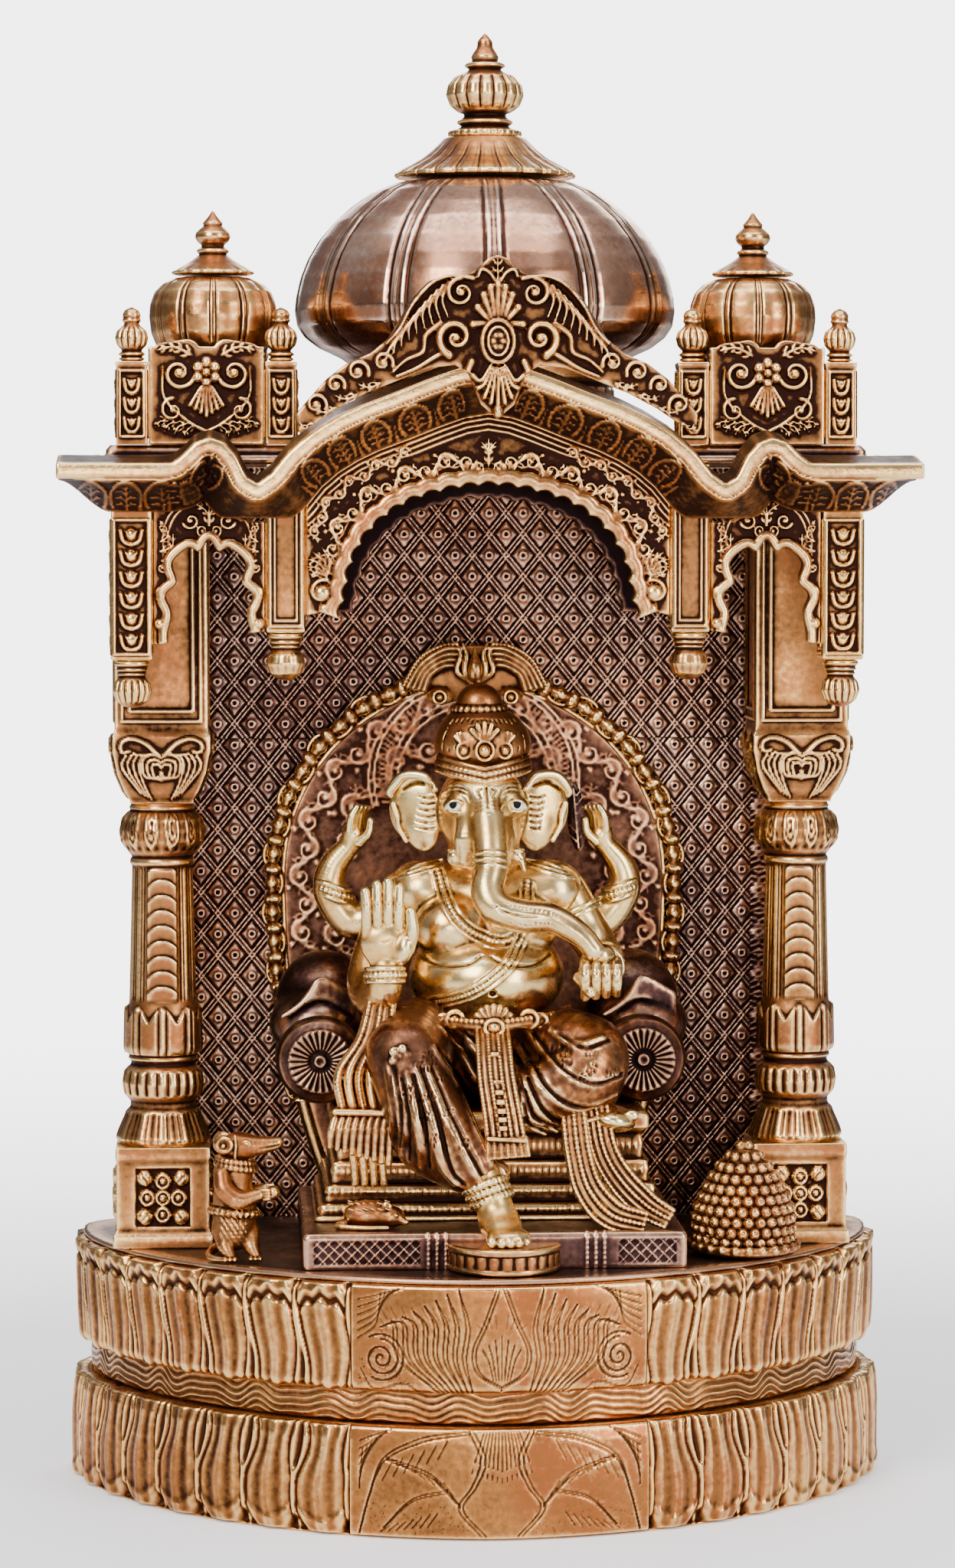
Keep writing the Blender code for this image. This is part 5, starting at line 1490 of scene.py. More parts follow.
def build_domes():
    low, high = node("main_dome")
    x, y = plan_middle(low, high)

    def ribs(angle, r, z):
        a = (angle + math.pi / 2) * r
        pitch = TAU * r / 12
        gap = np.abs((a + pitch / 2) % pitch - pitch / 2)
        line = bump(gap, 0.0034, 0.0016) + 0.7 * bump(gap, 0.0, 0.0022)
        fade = smooth(low[2] + 0.006, low[2] + 0.014, z) * smooth(0.843, 0.838, z)
        swell = 0.002 * np.abs(np.sin(gap / pitch * math.pi))
        return fade * (0.0016 * line + swell - 0.0012 * bump(gap, 0.0062, 0.002) - 0.0014)

    outer = [(0.084, low[2]), (0.092, 0.7285), (0.106, 0.735), (0.115, 0.742), (0.1198, 0.749),
             (0.1214, 0.759),
             (0.1204, 0.768), (0.1176, 0.78), (0.113, 0.7915), (0.106, 0.8035), (0.0965, 0.815),
             (0.085, 0.825),
             (0.072, 0.834), (0.058, 0.84), (0.04, 0.8425), (0.01, 0.843)]
    lathe("main_dome", x, y, outer, DOME_BRASS_AND_SHEEN, ["main_dome"], 432, 0.001, ribs, 0.0009)

    low, high = node("dome_drum")
    drum = [(0.0825, low[2]), (0.084, 0.678), (0.082, 0.681), (0.082, 0.712), (0.084, 0.715),
            (0.0838, high[2])]
    lathe("dome_drum", x, y, drum, BRASS, ["dome_drum"], 300, 0.001,
          lambda a, r,
          z: 0.0012 * smooth(0.683, 0.686, z) * smooth(0.711, 0.708, z) * np.abs(np.cos(a * 18)) ** 0.5)

    low, high = node("dome_collar")

    def petals(angle, r, z):
        lobe = np.abs(np.cos(angle * 12))
        return smooth(high[2], low[2] + 0.003,
                      z) * (0.0028 * lobe ** 0.5 - 0.0016 * bump(lobe, 0.62, 0.14) - 0.002)

    collar = [(0.054, low[2]), (0.057, low[2] + 0.0005), (0.0576, low[2] + 0.0025), (0.054, 0.8485),
              (0.047, 0.852), (0.04, 0.856),
              (0.034, 0.861), (0.029, 0.866), (0.0262, high[2])]
    lathe("dome_collar", x, y, collar, BRASS, ["dome_collar"], 288, 0.0008, petals)

    low, high = node("dome_finial")

    def pot(angle, r, z):
        belly = smooth(0.8865, 0.8895, z) * smooth(0.91, 0.9065, z)
        ring = smooth(0.87, 0.8712, z) * smooth(0.8755, 0.8743, z)
        return belly * gadroons(angle, 16, 0.0024, 0.6) + ring * gadroons(angle, 28, 0.001, 0.8)

    finial = [(0.0215, low[2]), (0.0238, 0.8708), (0.0238, 0.8735), (0.017, 0.8752), (0.0148, 0.8768),
              (0.0178, 0.8785),
              (0.0182, 0.88), (0.0138, 0.8822), (0.0132, 0.8845), (0.0175, 0.886), (0.0222, 0.8895),
              (0.025, 0.8965),
              (0.0238, 0.903), (0.019, 0.9085), (0.012, 0.9112), (0.0098, 0.913), (0.0132, 0.9148),
              (0.0128, 0.9165), (0.008, 0.918),
              (0.009, 0.921), (0.0068, 0.9245), (0.005, 0.927), (0.0048, 0.931), (0.0006, high[2])]
    lathe("dome_finial", x, y, finial, BRASS, ["dome_finial"], 128, 0.0007, pot)

    low, high = node("right_small_dome")
    x, y = plan_middle(low, high)

    def little(angle, r, z):
        gap = np.abs(np.sin((angle + math.pi / 2) * 6))
        fade = smooth(0.734, 0.739, z) * smooth(0.7788, 0.7765, z)
        base = smooth(0.733, 0.73, z) * 0.001 * np.abs(np.cos(angle * 12))
        return fade * (0.0011 * bump(gap, 0.13, 0.09) - 0.0012 * bump(gap, 0.3,
                                                                      0.14) + 0.0012 * gap - 0.001) + base

    dome = [(0.0325, low[2]), (0.033, 0.727), (0.0346, 0.7285), (0.033, 0.7305), (0.036, 0.736),
            (0.0388, 0.743), (0.04, 0.753),
            (0.0394, 0.761), (0.0365, 0.769), (0.031, 0.7745), (0.023, 0.7778), (0.006, high[2])]
    small = lathe("small_dome_right", x, y, dome, BRASS, ["right_small_dome"], 260, 0.0009, little)
    twin(small, "small_dome_left", ["left_small_dome"])

    low, high = node("right_small_dome_finial")

    def hat(angle, r, z):
        brim = smooth(0.786, 0.78, z)
        return brim * (0.0016 * np.abs(np.cos(angle * 9)) - 0.0016)

    spire = [(0.0225, low[2]), (0.0258, 0.78), (0.0262, 0.7815), (0.0215, 0.784), (0.016, 0.787),
             (0.011, 0.7905), (0.0084, 0.7925),
             (0.0102, 0.794), (0.0102, 0.7955), (0.0072, 0.7968), (0.007, 0.7985), (0.0094, 0.8),
             (0.0112, 0.803), (0.0108, 0.806),
             (0.0076, 0.809), (0.0055, 0.8105), (0.0066, 0.812), (0.0048, 0.814), (0.003, 0.816),
             (0.0006, high[2])]
    top = lathe("small_spire_right", x, y, spire, BRASS, ["right_small_dome_finial"], 108, 0.0006, hat)
    twin(top, "small_spire_left", ["left_small_dome_finial"])


# ---------------------------------------------------------------- halo

def halo_edge(grow, count=160, low_angle=-43.0):
    """The horseshoe outline of the halo, from its left foot over the top to its right foot."""
    t = np.radians(np.linspace(180 - low_angle, low_angle, count))
    rise = np.where(np.sin(t) > 0, 0.128 + grow, 0.3)
    return np.stack([(0.128 + grow) * np.cos(t), 0.39 + rise * np.sin(t)], 1)


def build_halo():
    low, high = node("halo_plate")
    plate = Plate(0.0, high[0] + 0.001, low[2], high[2] + 0.001, 0.0011)
    plate.add(halo_edge(-0.001))
    for reach, size, way in ((0.113, 0.0088, 1), (0.09, 0.01, -1)):
        t = np.radians(np.linspace(84, -38, 16))
        rise = np.where(np.sin(t) > 0, reach, 0.235)
        vine(plate, np.stack([reach * np.cos(t), 0.39 + rise * np.sin(t)], 1), size, 0.0017, 0.0011, way)
    for r in (0.05, 0.0545, 0.066, 0.0695):
        t = np.linspace(-0.3, math.pi / 2 + 0.1, 40)
        plate.stroke(np.stack([r * np.cos(t), 0.455 + r * 0.95 * np.sin(t)], 1), 0.0013, 0.0012)
    for a in np.arange(-0.3, math.pi / 2, 0.055):
        arc = [(r * math.cos(a), 0.455 + r * 0.95 * math.sin(a + 0.03 * k)) for k,
               r in enumerate((0.0575, 0.063))]
        plate.stroke(arc, 0.0011, 0.0009)
    half = plate.build("halo_plate_right", low[1] + 0.0012, high[1], HALO, ["halo_plate"], tone_scale=0.0008)
    twin(half, "halo_plate_left")

    low, high = node("halo_garland")
    clay = Field((low[0] - 0.002, low[1] - 0.001, 0.24), (high[0] + 0.002, high[1], high[2] + 0.002), 0.001)
    y = 0.101
    ring = resample(halo_edge(0.0055, 400, -30.0), 0.0195)
    inner = resample(halo_edge(-0.002, 400, -30.0), 0.002)
    clay.tube(np.insert(inner, 1, y + 0.001, axis=1), 0.0017)
    for k, (a, b) in enumerate(zip(ring[:-1], ring[1:])):
        t = (b - a) / np.linalg.norm(b - a)
        n = np.array([-t[1], t[0]])
        for s, across, along in ((0.0, 0.0058, 0.0046), (0.0058, 0.0036, 0.002), (0.0105, 0.005, 0.005),
                                 (0.0152, 0.0036, 0.002)):
            spot = a + t * s
            lean = math.degrees(math.atan2(t[1], t[0]))
            clay.ball((spot[0], y - 0.001, spot[1]), (along, across * 0.9, across), 0.0007, lean=lean)
        clay.ball((a[0] + n[0] * 0.003, y - 0.005, a[1] + n[1] * 0.003), 0.0019, 0.0006)
        clay.ball((a[0] - n[0] * 0.003, y - 0.005, a[1] - n[1] * 0.003), 0.0019, 0.0006)
        loop = np.array([a + t * (0.0105 + 0.01 * math.cos(u)) + n * (0.0008 - 0.0075 * math.sin(u))
                         * (1 if k % 2 else -1)
                         for u in np.linspace(0, math.pi, 10)])
        clay.tube(np.insert(loop, 1, y - 0.001, axis=1), 0.0013, 0.0004)
    clay.build("halo_garland", BRASS, ["halo_garland"])
    foot = resample(halo_edge(0.003, 400), 0.004)
    legs = Field((low[0], low[1], low[2] - 0.001), (high[0], high[1], 0.26), 0.0013)
    for part in (foot[foot[:, 1] < 0.256],):
        for hand in (-1, 1):
            side = part[part[:, 0] * hand > 0]
            legs.tube(np.insert(side, 1, y + 0.001, axis=1), 0.0045)
    legs.build("halo_feet", BRASS)

    low, high = node("halo_crest")
    clay = Field((low[0], low[1] - 0.001, low[2] - 0.002), (high[0], high[1] + 0.003, high[2]), 0.0007)
    y = 0.086
    for hand in (-1, 1):
        for k in range(4):
            g = 0.0036 * k
            arc = curve([(hand * (0.009 + g * 0.3), y, 0.541 - g), (hand * 0.021, y - 0.001, 0.54 - g),
                         (hand * (0.035 - g * 0.5), y, 0.531 - g * 0.7),
                         (hand * (0.044 - g), y + 0.002, 0.516 - g * 0.2)], 18)
            clay.tube(arc, (0.0016, 0.0019, 0.0015), 0.0009)
        clay.beads(curve([(hand * 0.012, y, 0.544), (hand * 0.024, y, 0.542), (hand * 0.037, y, 0.534),
                          (hand * 0.047, y, 0.517)], 20), 0.0015, 1.8)
        clay.ball((hand * 0.0235, y + 0.001, 0.5095), (0.0085, 0.005, 0.0058), 0.002)
        t = np.linspace(0, TAU, 15)
        clay.tube(np.stack([hand * 0.0235 + 0.0042 * np.cos(t), np.full(15, y - 0.0045),
                            0.509 + 0.0042 * np.sin(t)], 1), 0.001)
        clay.ball((hand * 0.0235, y - 0.0045, 0.509), 0.002)
        for x, r in ((0.0055, 0.0016), (0.0095, 0.0014)):
            petal = curve([(hand * 0.002, y, 0.518), (hand * x * 1.25, y - 0.002, 0.526),
                           (hand * x, y - 0.001, 0.537), (hand * (x + 0.0025), y, 0.544)], 14)
            clay.tube(petal, (r, r * 1.3, r * 0.6), 0.0006)
    clay.ball((0, y + 0.004, 0.524), (0.044, 0.004, 0.019), 0.002)
    clay.ball((0, y - 0.002, 0.527), (0.0052, 0.005, 0.008), 0.0006)
    clay.tube([(0, y - 0.002, 0.531), (0, y - 0.001, 0.542)], (0.004, 0.0006), 0.0006)
    clay.build("halo_crest", BRASS, ["halo_crest"])


# ---------------------------------------------------------------- throne

def build_throne():
    low, high = node("throne_plinth")

    def weave(points):
        flat = points[..., 1] < low[1] + 0.0035
        X, Z = points[..., 0], points[..., 2]
        hatch = np.zeros(X.shape)
        for sign in (-1, 1):
            hatch = hatch + bump((X + sign * Z) % 0.0072 - 0.0036, 0, 0.001)
        panel = smooth(0.0008, -0.0008, np.maximum(np.abs(X + 0.077) - 0.033, np.abs(Z - 0.171) - 0.0072))
        lift = panel * (0.0007 * hatch - 0.0006)
        panel = smooth(0.0008, -0.0008, np.maximum(np.abs(X - 0.098) - 0.018, np.abs(Z - 0.171) - 0.0072))
        lift = lift + panel * (0.0007 * hatch - 0.0006)
        for x in (-0.039, -0.0335, -0.028, 0.06, 0.0655, 0.071):
            dot = np.abs(((Z - 0.165) % 0.0032) - 0.0016)
            lift = lift + 0.0011 * bump(X, x, 0.0016) * (0.5 + 0.5 * bump(dot, 0, 0.0013))
        return lift * flat

    edge = [(0.0006, low[2]), (0.0002, low[2] + 0.001), (0.0002, 0.18), (0.0016, high[2] - 0.0004),
            (0.004, high[2])]
    slab("throne_plinth", low, high, edge, DUSK, ["throne_plinth"], 0.0009, side=weave)

    low, high = node("throne_seat")

    def steps(points):
        X, Z = points[..., 0], points[..., 2]
        teeth = np.abs(np.sin((X + points[..., 1]) * 780))
        rows = bump(Z, 0.19, 0.003) + bump(Z, 0.201, 0.003) + bump(Z, 0.2135, 0.004) + bump(Z, 0.229, 0.005)
        return 0.0012 * teeth * rows

    edge = [(0.0005, low[2]), (0.0005, 0.186), (0.003, 0.187), (0.003, 0.193), (0.0075, 0.1945),
            (0.0075, 0.2045), (0.0115, 0.206),
            (0.0115, 0.219), (0.015, 0.2205), (0.015, 0.236), (0.011, 0.24), (0.011, 0.248), (0.014, high[2])]
    slab("throne_seat", low, high, edge, BRASS, ["throne_seat"], 0.0016, side=steps)

    low, high = node("footstool")
    cx, r = (low[0] + high[0]) / 2, (high[0] - low[0]) / 2
    rows = []
    angle = np.linspace(0, TAU, 220, endpoint=False)
    front = np.sin(angle) < 0
    flute = np.abs(np.sin(angle * 13)) ** 0.6
    for inset, z in rounded([(0.003, low[2]), (0.0012, 0.1615), (0.0012, 0.164), (0.0032, 0.165),
                             (0.003, 0.172), (0.001, 0.1732),
                             (0.0008, 0.1765), (0.003, high[2])], 0.0006, 1):
        body = smooth(0.164, 0.1652, z) * smooth(0.1728, 0.1716, z)
        rad = r - inset + 0.0016 * flute * body * front
        rows.append(np.stack([cx + rad * np.cos(angle), high[1] + 0.0004 + np.minimum(rad * np.sin(angle), 0),
                              np.full(220, z)], -1))
    surface("footstool", np.array(rows), BRASS, ["footstool"])

    for side, hand in (("left", -1), ("right", 1)):
        low, high = node(f"{side}_bolster")
        x, z, r = (low[0] + high[0]) / 2, (low[2] + high[2]) / 2, (high[0] - low[0]) / 2
        profile = rounded([(0.0005, 0.0), (0.0035, -0.0012), (0.0045, 0.0006), (0.008, 0.0006),
                           (0.02, -0.0006), (0.0225, 0.001), (0.0262, 0.004), (r - 0.0006, 0.012),
                           (r - 0.0012, 0.03), (r - 0.0004, 0.048), (r - 0.0012, 0.08), (0.0262, 0.093),
                           (0.02, 0.0972), (0.0005, 0.0976)], 0.0008, 1)
        angle = np.arange(200) / 200 * TAU
        rad = np.repeat(profile[:, :1], 200, 1)
        y = np.repeat(profile[:, 1:], 200, 1)
        ray = smooth(0.0065, 0.0085, rad) * smooth(0.0215, 0.0195, rad) * (y < 0.01)
        y = y - 0.0016 * ray * np.abs(np.sin(angle * 13)) ** 0.7
        seam = bump(y, 0.03, 0.002) + bump(y, 0.048, 0.002)
        rad = rad - 0.0008 * seam
        rings = np.stack([x + rad * np.cos(angle), low[1] + 0.0025 + y, z + rad * np.sin(angle)], -1)
        surface(f"bolster_{side}", rings, DARK, [f"{side}_bolster"])
        clay = Field((x - 0.034, low[1] + 0.012, 0.252), (x + 0.034, 0.09, 0.352), 0.0014)
        clay.ball((x - hand * 0.002, 0.05, 0.312), (0.03, 0.03, 0.034), 0.006, lean=hand * 8)
        clay.ball((x + hand * 0.002, 0.03, 0.3), (0.03, 0.03, 0.024), 0.006)
        for k in range(5):
            bend = curve([(x - 0.024 + 0.004 * k, 0.004 + 0.001 * k, 0.307 + 0.002 * k),
                          (x, 0.006, 0.319 + 0.003 * k), (x + 0.022, 0.012, 0.308 + 0.003 * k)], 10)
            clay.tube(bend, 0.0016, 0.002)
        clay.build(f"cushion_{side}", DARK)


# ---------------------------------------------------------------- the figure

def ring_band(clay, centre, direction, radius, thick, k=0.0004, beads=0):
    """A band or bangle round a limb, with optional beads."""
    d = np.array(direction, float) / np.linalg.norm(direction)
    u = np.cross(d, (0, 1, 0) if abs(d[1]) < 0.8 else (1, 0, 0))
    u /= np.linalg.norm(u)
    v = np.cross(d, u)
    t = np.linspace(0, TAU, 25)
    loop = np.array(centre) + radius * (np.cos(t)[:, None] * u + np.sin(t)[:, None] * v)
    clay.tube(loop, thick, k)
    if beads:
        for p in loop[:: max(1, 24 // beads)]:
            clay.ball(p, thick * 1.5, k)


def laid_band(clay, path, beads, rail, spread, lift=0.0006):
    """A beaded band with a cord either side, laid on the front of the clay."""
    p = curve(path, 60)
    t = np.gradient(p, axis=0)
    n = np.stack([-t[:, 1], t[:, 0]], 1) / np.linalg.norm(t, axis=1, keepdims=True)
    middle = clay.front(p, lift)
    edges = [clay.front(p + n * spread * hand, lift * 0.6) for hand in (-1, 1)]
    clay.beads(middle, beads, 1.7)
    for edge in edges:
        clay.tube(edge, rail, 0.0004)


def build_torso():
    clay = Field((-0.066, -0.076, 0.298), (0.076, 0.06, 0.414), 0.0009)
    clay.ball((0.003, 0.002, 0.334), (0.05, 0.058, 0.0345), 0.004)
    clay.ball((0.003, 0.006, 0.376), (0.043, 0.034, 0.033), 0.012)
    for hand in (-1, 1):
        clay.ball((0.003 + hand * 0.04, 0.006, 0.388), (0.023, 0.023, 0.02), 0.01)
        clay.ball((0.001 + hand * 0.0215, -0.019, 0.366), (0.0245, 0.022, 0.0215), 0.003, tilt=-10)
    for hand in (-1, 1):
        under = [(hand * 0.043, 0.349), (hand * 0.03, 0.344), (hand * 0.012, 0.345), (hand * 0.003, 0.35)]
        clay.tube(clay.front(curve(under, 20), 0.0), (0.0008, 0.0014, 0.0008), 0.0012, carve=True)
        nipple = clay.front([(hand * 0.0225, 0.356), (hand * 0.0225, 0.356)])[0]
        ring_band(clay, nipple, (0, 1, 0), 0.0022, 0.0006)
    navel = clay.front([(0.004, 0.327), (0.004, 0.327)])[0]
    clay.ball(navel, (0.0024, 0.003, 0.0018), 0.001, carve=True)
    laid_band(clay, [(-0.029, 0.402), (-0.0215, 0.379), (-0.0065, 0.364), (0.012, 0.3585), (0.024, 0.37),
                     (0.0285, 0.395)], 0.0019, 0.0011, 0.004)
    laid_band(clay, [(0.023, 0.36), (0.013, 0.344), (-0.01, 0.327), (-0.043, 0.3165)], 0.0016, 0.0012, 0.0036,
              0.001)
    for k in range(3):
        cape = [(-0.056 + 0.003 * k, 0.396 + 0.0022 * k), (-0.04, 0.4 + 0.0026 * k),
                (-0.025, 0.404 + 0.002 * k)]
        clay.tube(clay.front(curve(cape, 14), 0.0006), 0.0011, 0.0006)
        clay.tube(clay.front(flip(curve(cape, 14), 0.002), 0.0006), 0.0011, 0.0006)
    clay.build("torso", GOLD)


def build_head():
    clay = Field((-0.062, -0.084, 0.346), (0.08, 0.032, 0.474), 0.0008)
    clay.ball((0.0, -0.004, 0.44), (0.0285, 0.029, 0.033), 0.002)
    clay.ball((0.001, -0.016, 0.425), (0.0215, 0.0225, 0.024), 0.006)
    clay.ball((0.001, -0.02, 0.451), (0.0235, 0.017, 0.017), 0.006)
    clay.ball((0.001, -0.008, 0.41), (0.023, 0.02, 0.016), 0.006)
    trunk = curve([(0.001, -0.028, 0.45), (0.002, -0.036, 0.436), (0.003, -0.044, 0.42),
                   (0.003, -0.05, 0.406), (0.0005, -0.056, 0.393),
                   (0.006, -0.06, 0.382), (0.021, -0.062, 0.377), (0.038, -0.064, 0.376),
                   (0.05, -0.068, 0.371), (0.06, -0.071, 0.364), (0.0665, -0.073, 0.356)], 60)
    clay.tube(trunk, (0.01, 0.0118, 0.0112, 0.0107, 0.0108, 0.0112, 0.0108, 0.0096, 0.0086, 0.0074, 0.0068),
              0.005)
    for z, y in ((0.4135, -0.047), (0.4095, -0.0486), (0.4055, -0.05)):
        ring_band(clay, (0.003, y, z), (0, -0.36, -1), 0.0106, 0.0011)
    rib = trunk[27:56]
    heading = np.gradient(rib, axis=0)
    for p, t in zip(rib[::1], heading[::1]):
        t = t / np.linalg.norm(t)
        n = np.array([-t[2], 0, t[0]])
        for off in (0.0046, -0.004):
            a = p + n * off + (0, -0.0088, 0)
            clay.tube([a - n * 0.0012, a + n * 0.0012 + t * 0.0006], 0.00045, 0.0003, carve=True)
    clay.tube(rib[2:-2] + (0, -0.0104, 0.0008), 0.0006, 0.0004, carve=True)
    for hand, ex in ((-1, -0.0195), (1, 0.0212)):
        clay.ball((ex, -0.027, 0.4445), (0.0075, 0.008, 0.006), 0.004)
        lid = [(ex - 0.0062, -0.0318, 0.4435 + hand * 0.001), (ex - 0.0026, -0.0352, 0.4474 + hand * 0.0004),
               (ex + 0.0026, -0.0352, 0.4474 - hand * 0.0004),
               (ex + 0.0062, -0.0318, 0.4435 - hand * 0.001)]
        clay.tube(curve(lid, 12), (0.0006, 0.001, 0.0006), 0.0006)
        sag = [(ex - 0.0062, -0.0318, 0.443), (ex, -0.0355, 0.4408), (ex + 0.0062, -0.0318, 0.443)]
        clay.tube(curve(sag, 12), (0.0005, 0.0007, 0.0005), 0.0006)
        for lift in (0.0, 0.0026):
            brow = curve([(hand * 0.009, 0.447 + lift), (hand * 0.012, 0.452 + lift),
                          (hand * 0.019, 0.454 + lift), (hand * 0.0255, 0.451 + lift)], 14)
            clay.tube(clay.front(brow), (0.0004, 0.0008, 0.0004), 0.0006, carve=True)
        cheek = curve([(hand * 0.011, -0.03, 0.438), (hand * 0.0125, -0.033, 0.424),
                       (hand * 0.013, -0.03, 0.411)], 10)
        clay.tube(cheek, (0.006, 0.0075, 0.006), 0.006)
        tilak = curve([(0.001 + hand * 0.003, 0.4555), (0.001 + hand * 0.0062, 0.454),
                       (0.001 + hand * 0.004, 0.45)], 10)
        clay.tube(clay.front(tilak), 0.0006, 0.0004, carve=True)
        clay.ball((hand * 0.0195 + 0.001, -0.03, 0.412), (0.0052, 0.0052, 0.0058), 0.001)
        ring_band(clay, (hand * 0.0195 + 0.001, -0.03, 0.416), (0, 0, 1), 0.0042, 0.001)
    clay.tube(clay.front([(0.001, 0.456), (0.0013, 0.448), (0.0016, 0.44)]), (0.0009, 0.0004), 0.0004,
              carve=True)
    clay.tube([(0.023, -0.03, 0.412), (0.025, -0.038, 0.404)], (0.0032, 0.0014), 0.0015)
    for hand in (-1, 1):
        cx = hand * 0.042 - 0.0015
        clay.ball((cx, 0.002, 0.441), (0.0165, 0.0042, 0.0215), 0.003, turn=hand * 20)
        clay.ball((cx - hand * 0.006, -0.001, 0.426), (0.01, 0.0038, 0.0125), 0.004, turn=hand * 16)
        rim = curve([(hand * 0.029, -0.011, 0.454), (hand * 0.036, -0.008, 0.462),
                     (hand * 0.049, -0.003, 0.462), (hand * 0.057, 0.0, 0.453),
                     (hand * 0.057, 0.0, 0.449)], 30)
        clay.tube(rim - (0.0015, 0, 0), (0.0022, 0.003, 0.0034, 0.0016), 0.0012)
        edge = curve([(hand * 0.0555, 0.001, 0.444), (hand * 0.053, 0.001, 0.436), (hand * 0.052, 0.0, 0.429),
                      (hand * 0.047, -0.001, 0.42)], 16)
        clay.tube(edge - (0.0015, 0, 0), (0.0018, 0.0014), 0.0016)
        for k in range(6):
            z = 0.448 - 0.004 * k
            crease = curve([(hand * 0.031, z + 0.0006), (hand * 0.036, z),
                            (hand * 0.04 - 0.0006 * k, z + 0.0012)], 10)
            clay.tube(clay.front(crease), (0.0009, 0.0005), 0.0006, carve=True)
        hollow = curve([(hand * 0.033, 0.456), (hand * 0.042, 0.4585), (hand * 0.05, 0.454)], 14)
        clay.tube(clay.front(hollow), (0.0012, 0.002, 0.0012), 0.0016, carve=True)
    clay.build("head", GOLD, ["idol_head"])

    for side, ex in (("right", -0.0195), ("left", 0.0212)):
        lobe = Field((ex - 0.0078, -0.04, 0.439), (ex + 0.0078, -0.027, 0.45), 0.0005)
        lobe.ball((ex, -0.0312, 0.4441), (0.0056, 0.0052, 0.0034), 0.0005)
        lobe.build(f"eye_white_{side}", WHITE, [f"{side}_eye_inlay"])
        dot = Field((ex - 0.0045, -0.041, 0.4395), (ex + 0.0045, -0.033, 0.45), 0.0004)
        dot.ball((ex - 0.0006, -0.0352, 0.4452), (0.0025, 0.002, 0.0026), 0.0003)
        dot.build(f"pupil_{side}", BLACK)

    low, high = node("idol_crown")
    clay = Field((low[0] - 0.003, low[1] - 0.01, 0.454), (high[0] + 0.004, high[1] + 0.002, high[2] + 0.002),
                 0.0007)
    clay.ball((0.0, -0.004, 0.483), (0.031, 0.0305, 0.0235), 0.002)
    clay.ball((-0.001, -0.004, 0.492), (0.024, 0.024, 0.016), 0.004)
    clay.ball((-0.002, -0.004, 0.508), (0.015, 0.015, 0.0135), 0.0008)
    ring_band(clay, (-0.002, -0.004, 0.505), (0, 0, 1), 0.016, 0.0019, 0.0005, 24)
    ring_band(clay, (-0.0015, -0.004, 0.5005), (0, 0, 1), 0.0185, 0.0014)
    ring_band(clay, (-0.001, -0.004, 0.4955), (0, 0, 1), 0.0225, 0.0012)
    clay.ball((-0.002, -0.004, 0.5215), (0.0022, 0.0022, 0.0026), 0.001)
    for k in range(24):
        a = TAU * k / 24
        rib = [(0.029 * math.cos(a), -0.004 + 0.029 * math.sin(a), 0.486),
               (0.0225 * math.cos(a), -0.004 + 0.0225 * math.sin(a), 0.496)]
        clay.tube(rib, (0.0013, 0.001), 0.0006)
    for x in np.arange(-0.026, 0.0265, 0.004):
        flute = clay.front([(x, 0.479), (x * 0.92, 0.488), (x * 0.72, 0.499)])
        clay.tube(flute, (0.0006, 0.001, 0.0005), 0.0007, carve=True)
    for lift, rad in ((0.0, 0.0019), (0.0042, 0.0019), (0.0078, 0.0011)):
        t = np.radians(np.linspace(-160, -20, 41))
        vee = np.clip(1 - np.abs(t + math.pi / 2) / 1.2, 0, 1)
        path = np.stack([0.0306 * np.cos(t), -0.004 + 0.0305 * np.sin(t) - 0.0015 * vee,
                         0.4668 + lift - 0.0068 * vee ** 1.2], 1)
        clay.tube(path, rad * 1.3, 0.0008)
        if rad > 0.0012:
            clay.beads(path - (0, 0.001, 0), rad, 1.7)
    for x, r in ((-0.013, 0.0045), (0.0, 0.0056), (0.013, 0.0045)):
        y = -0.0345 + 0.3 * x ** 2 / 0.013
        t = np.linspace(0, TAU, 17)
        clay.ball((x, y, 0.4795), (r * 0.66, 0.004, r * 0.72), 0.0005)
        clay.tube(np.stack([x + r * np.cos(t), np.full(17, y - 0.0004), 0.4795 + r * 1.1 * np.sin(t)], 1),
                  0.0011)
    for k in range(-2, 3):
        a = math.radians(90 - 26 * k)
        clay.tube([(0.003 * math.cos(a), -0.034, 0.486),
                   (0.0105 * math.cos(a), -0.0315, 0.486 + 0.011 * math.sin(a))], (0.0014, 0.0018), 0.0004)
        for x in (-0.015, 0.015):
            clay.tube([(x, -0.031, 0.484), (x + 0.005 * math.cos(a), -0.029, 0.485 + 0.006 * math.sin(a))],
                      (0.001, 0.0012), 0.0004)
    clay.build("crown", BRASS, ["idol_crown"])


def bent_arm(clay, path, radii):
    clay.tube(curve(path, 30), radii, 0.004)


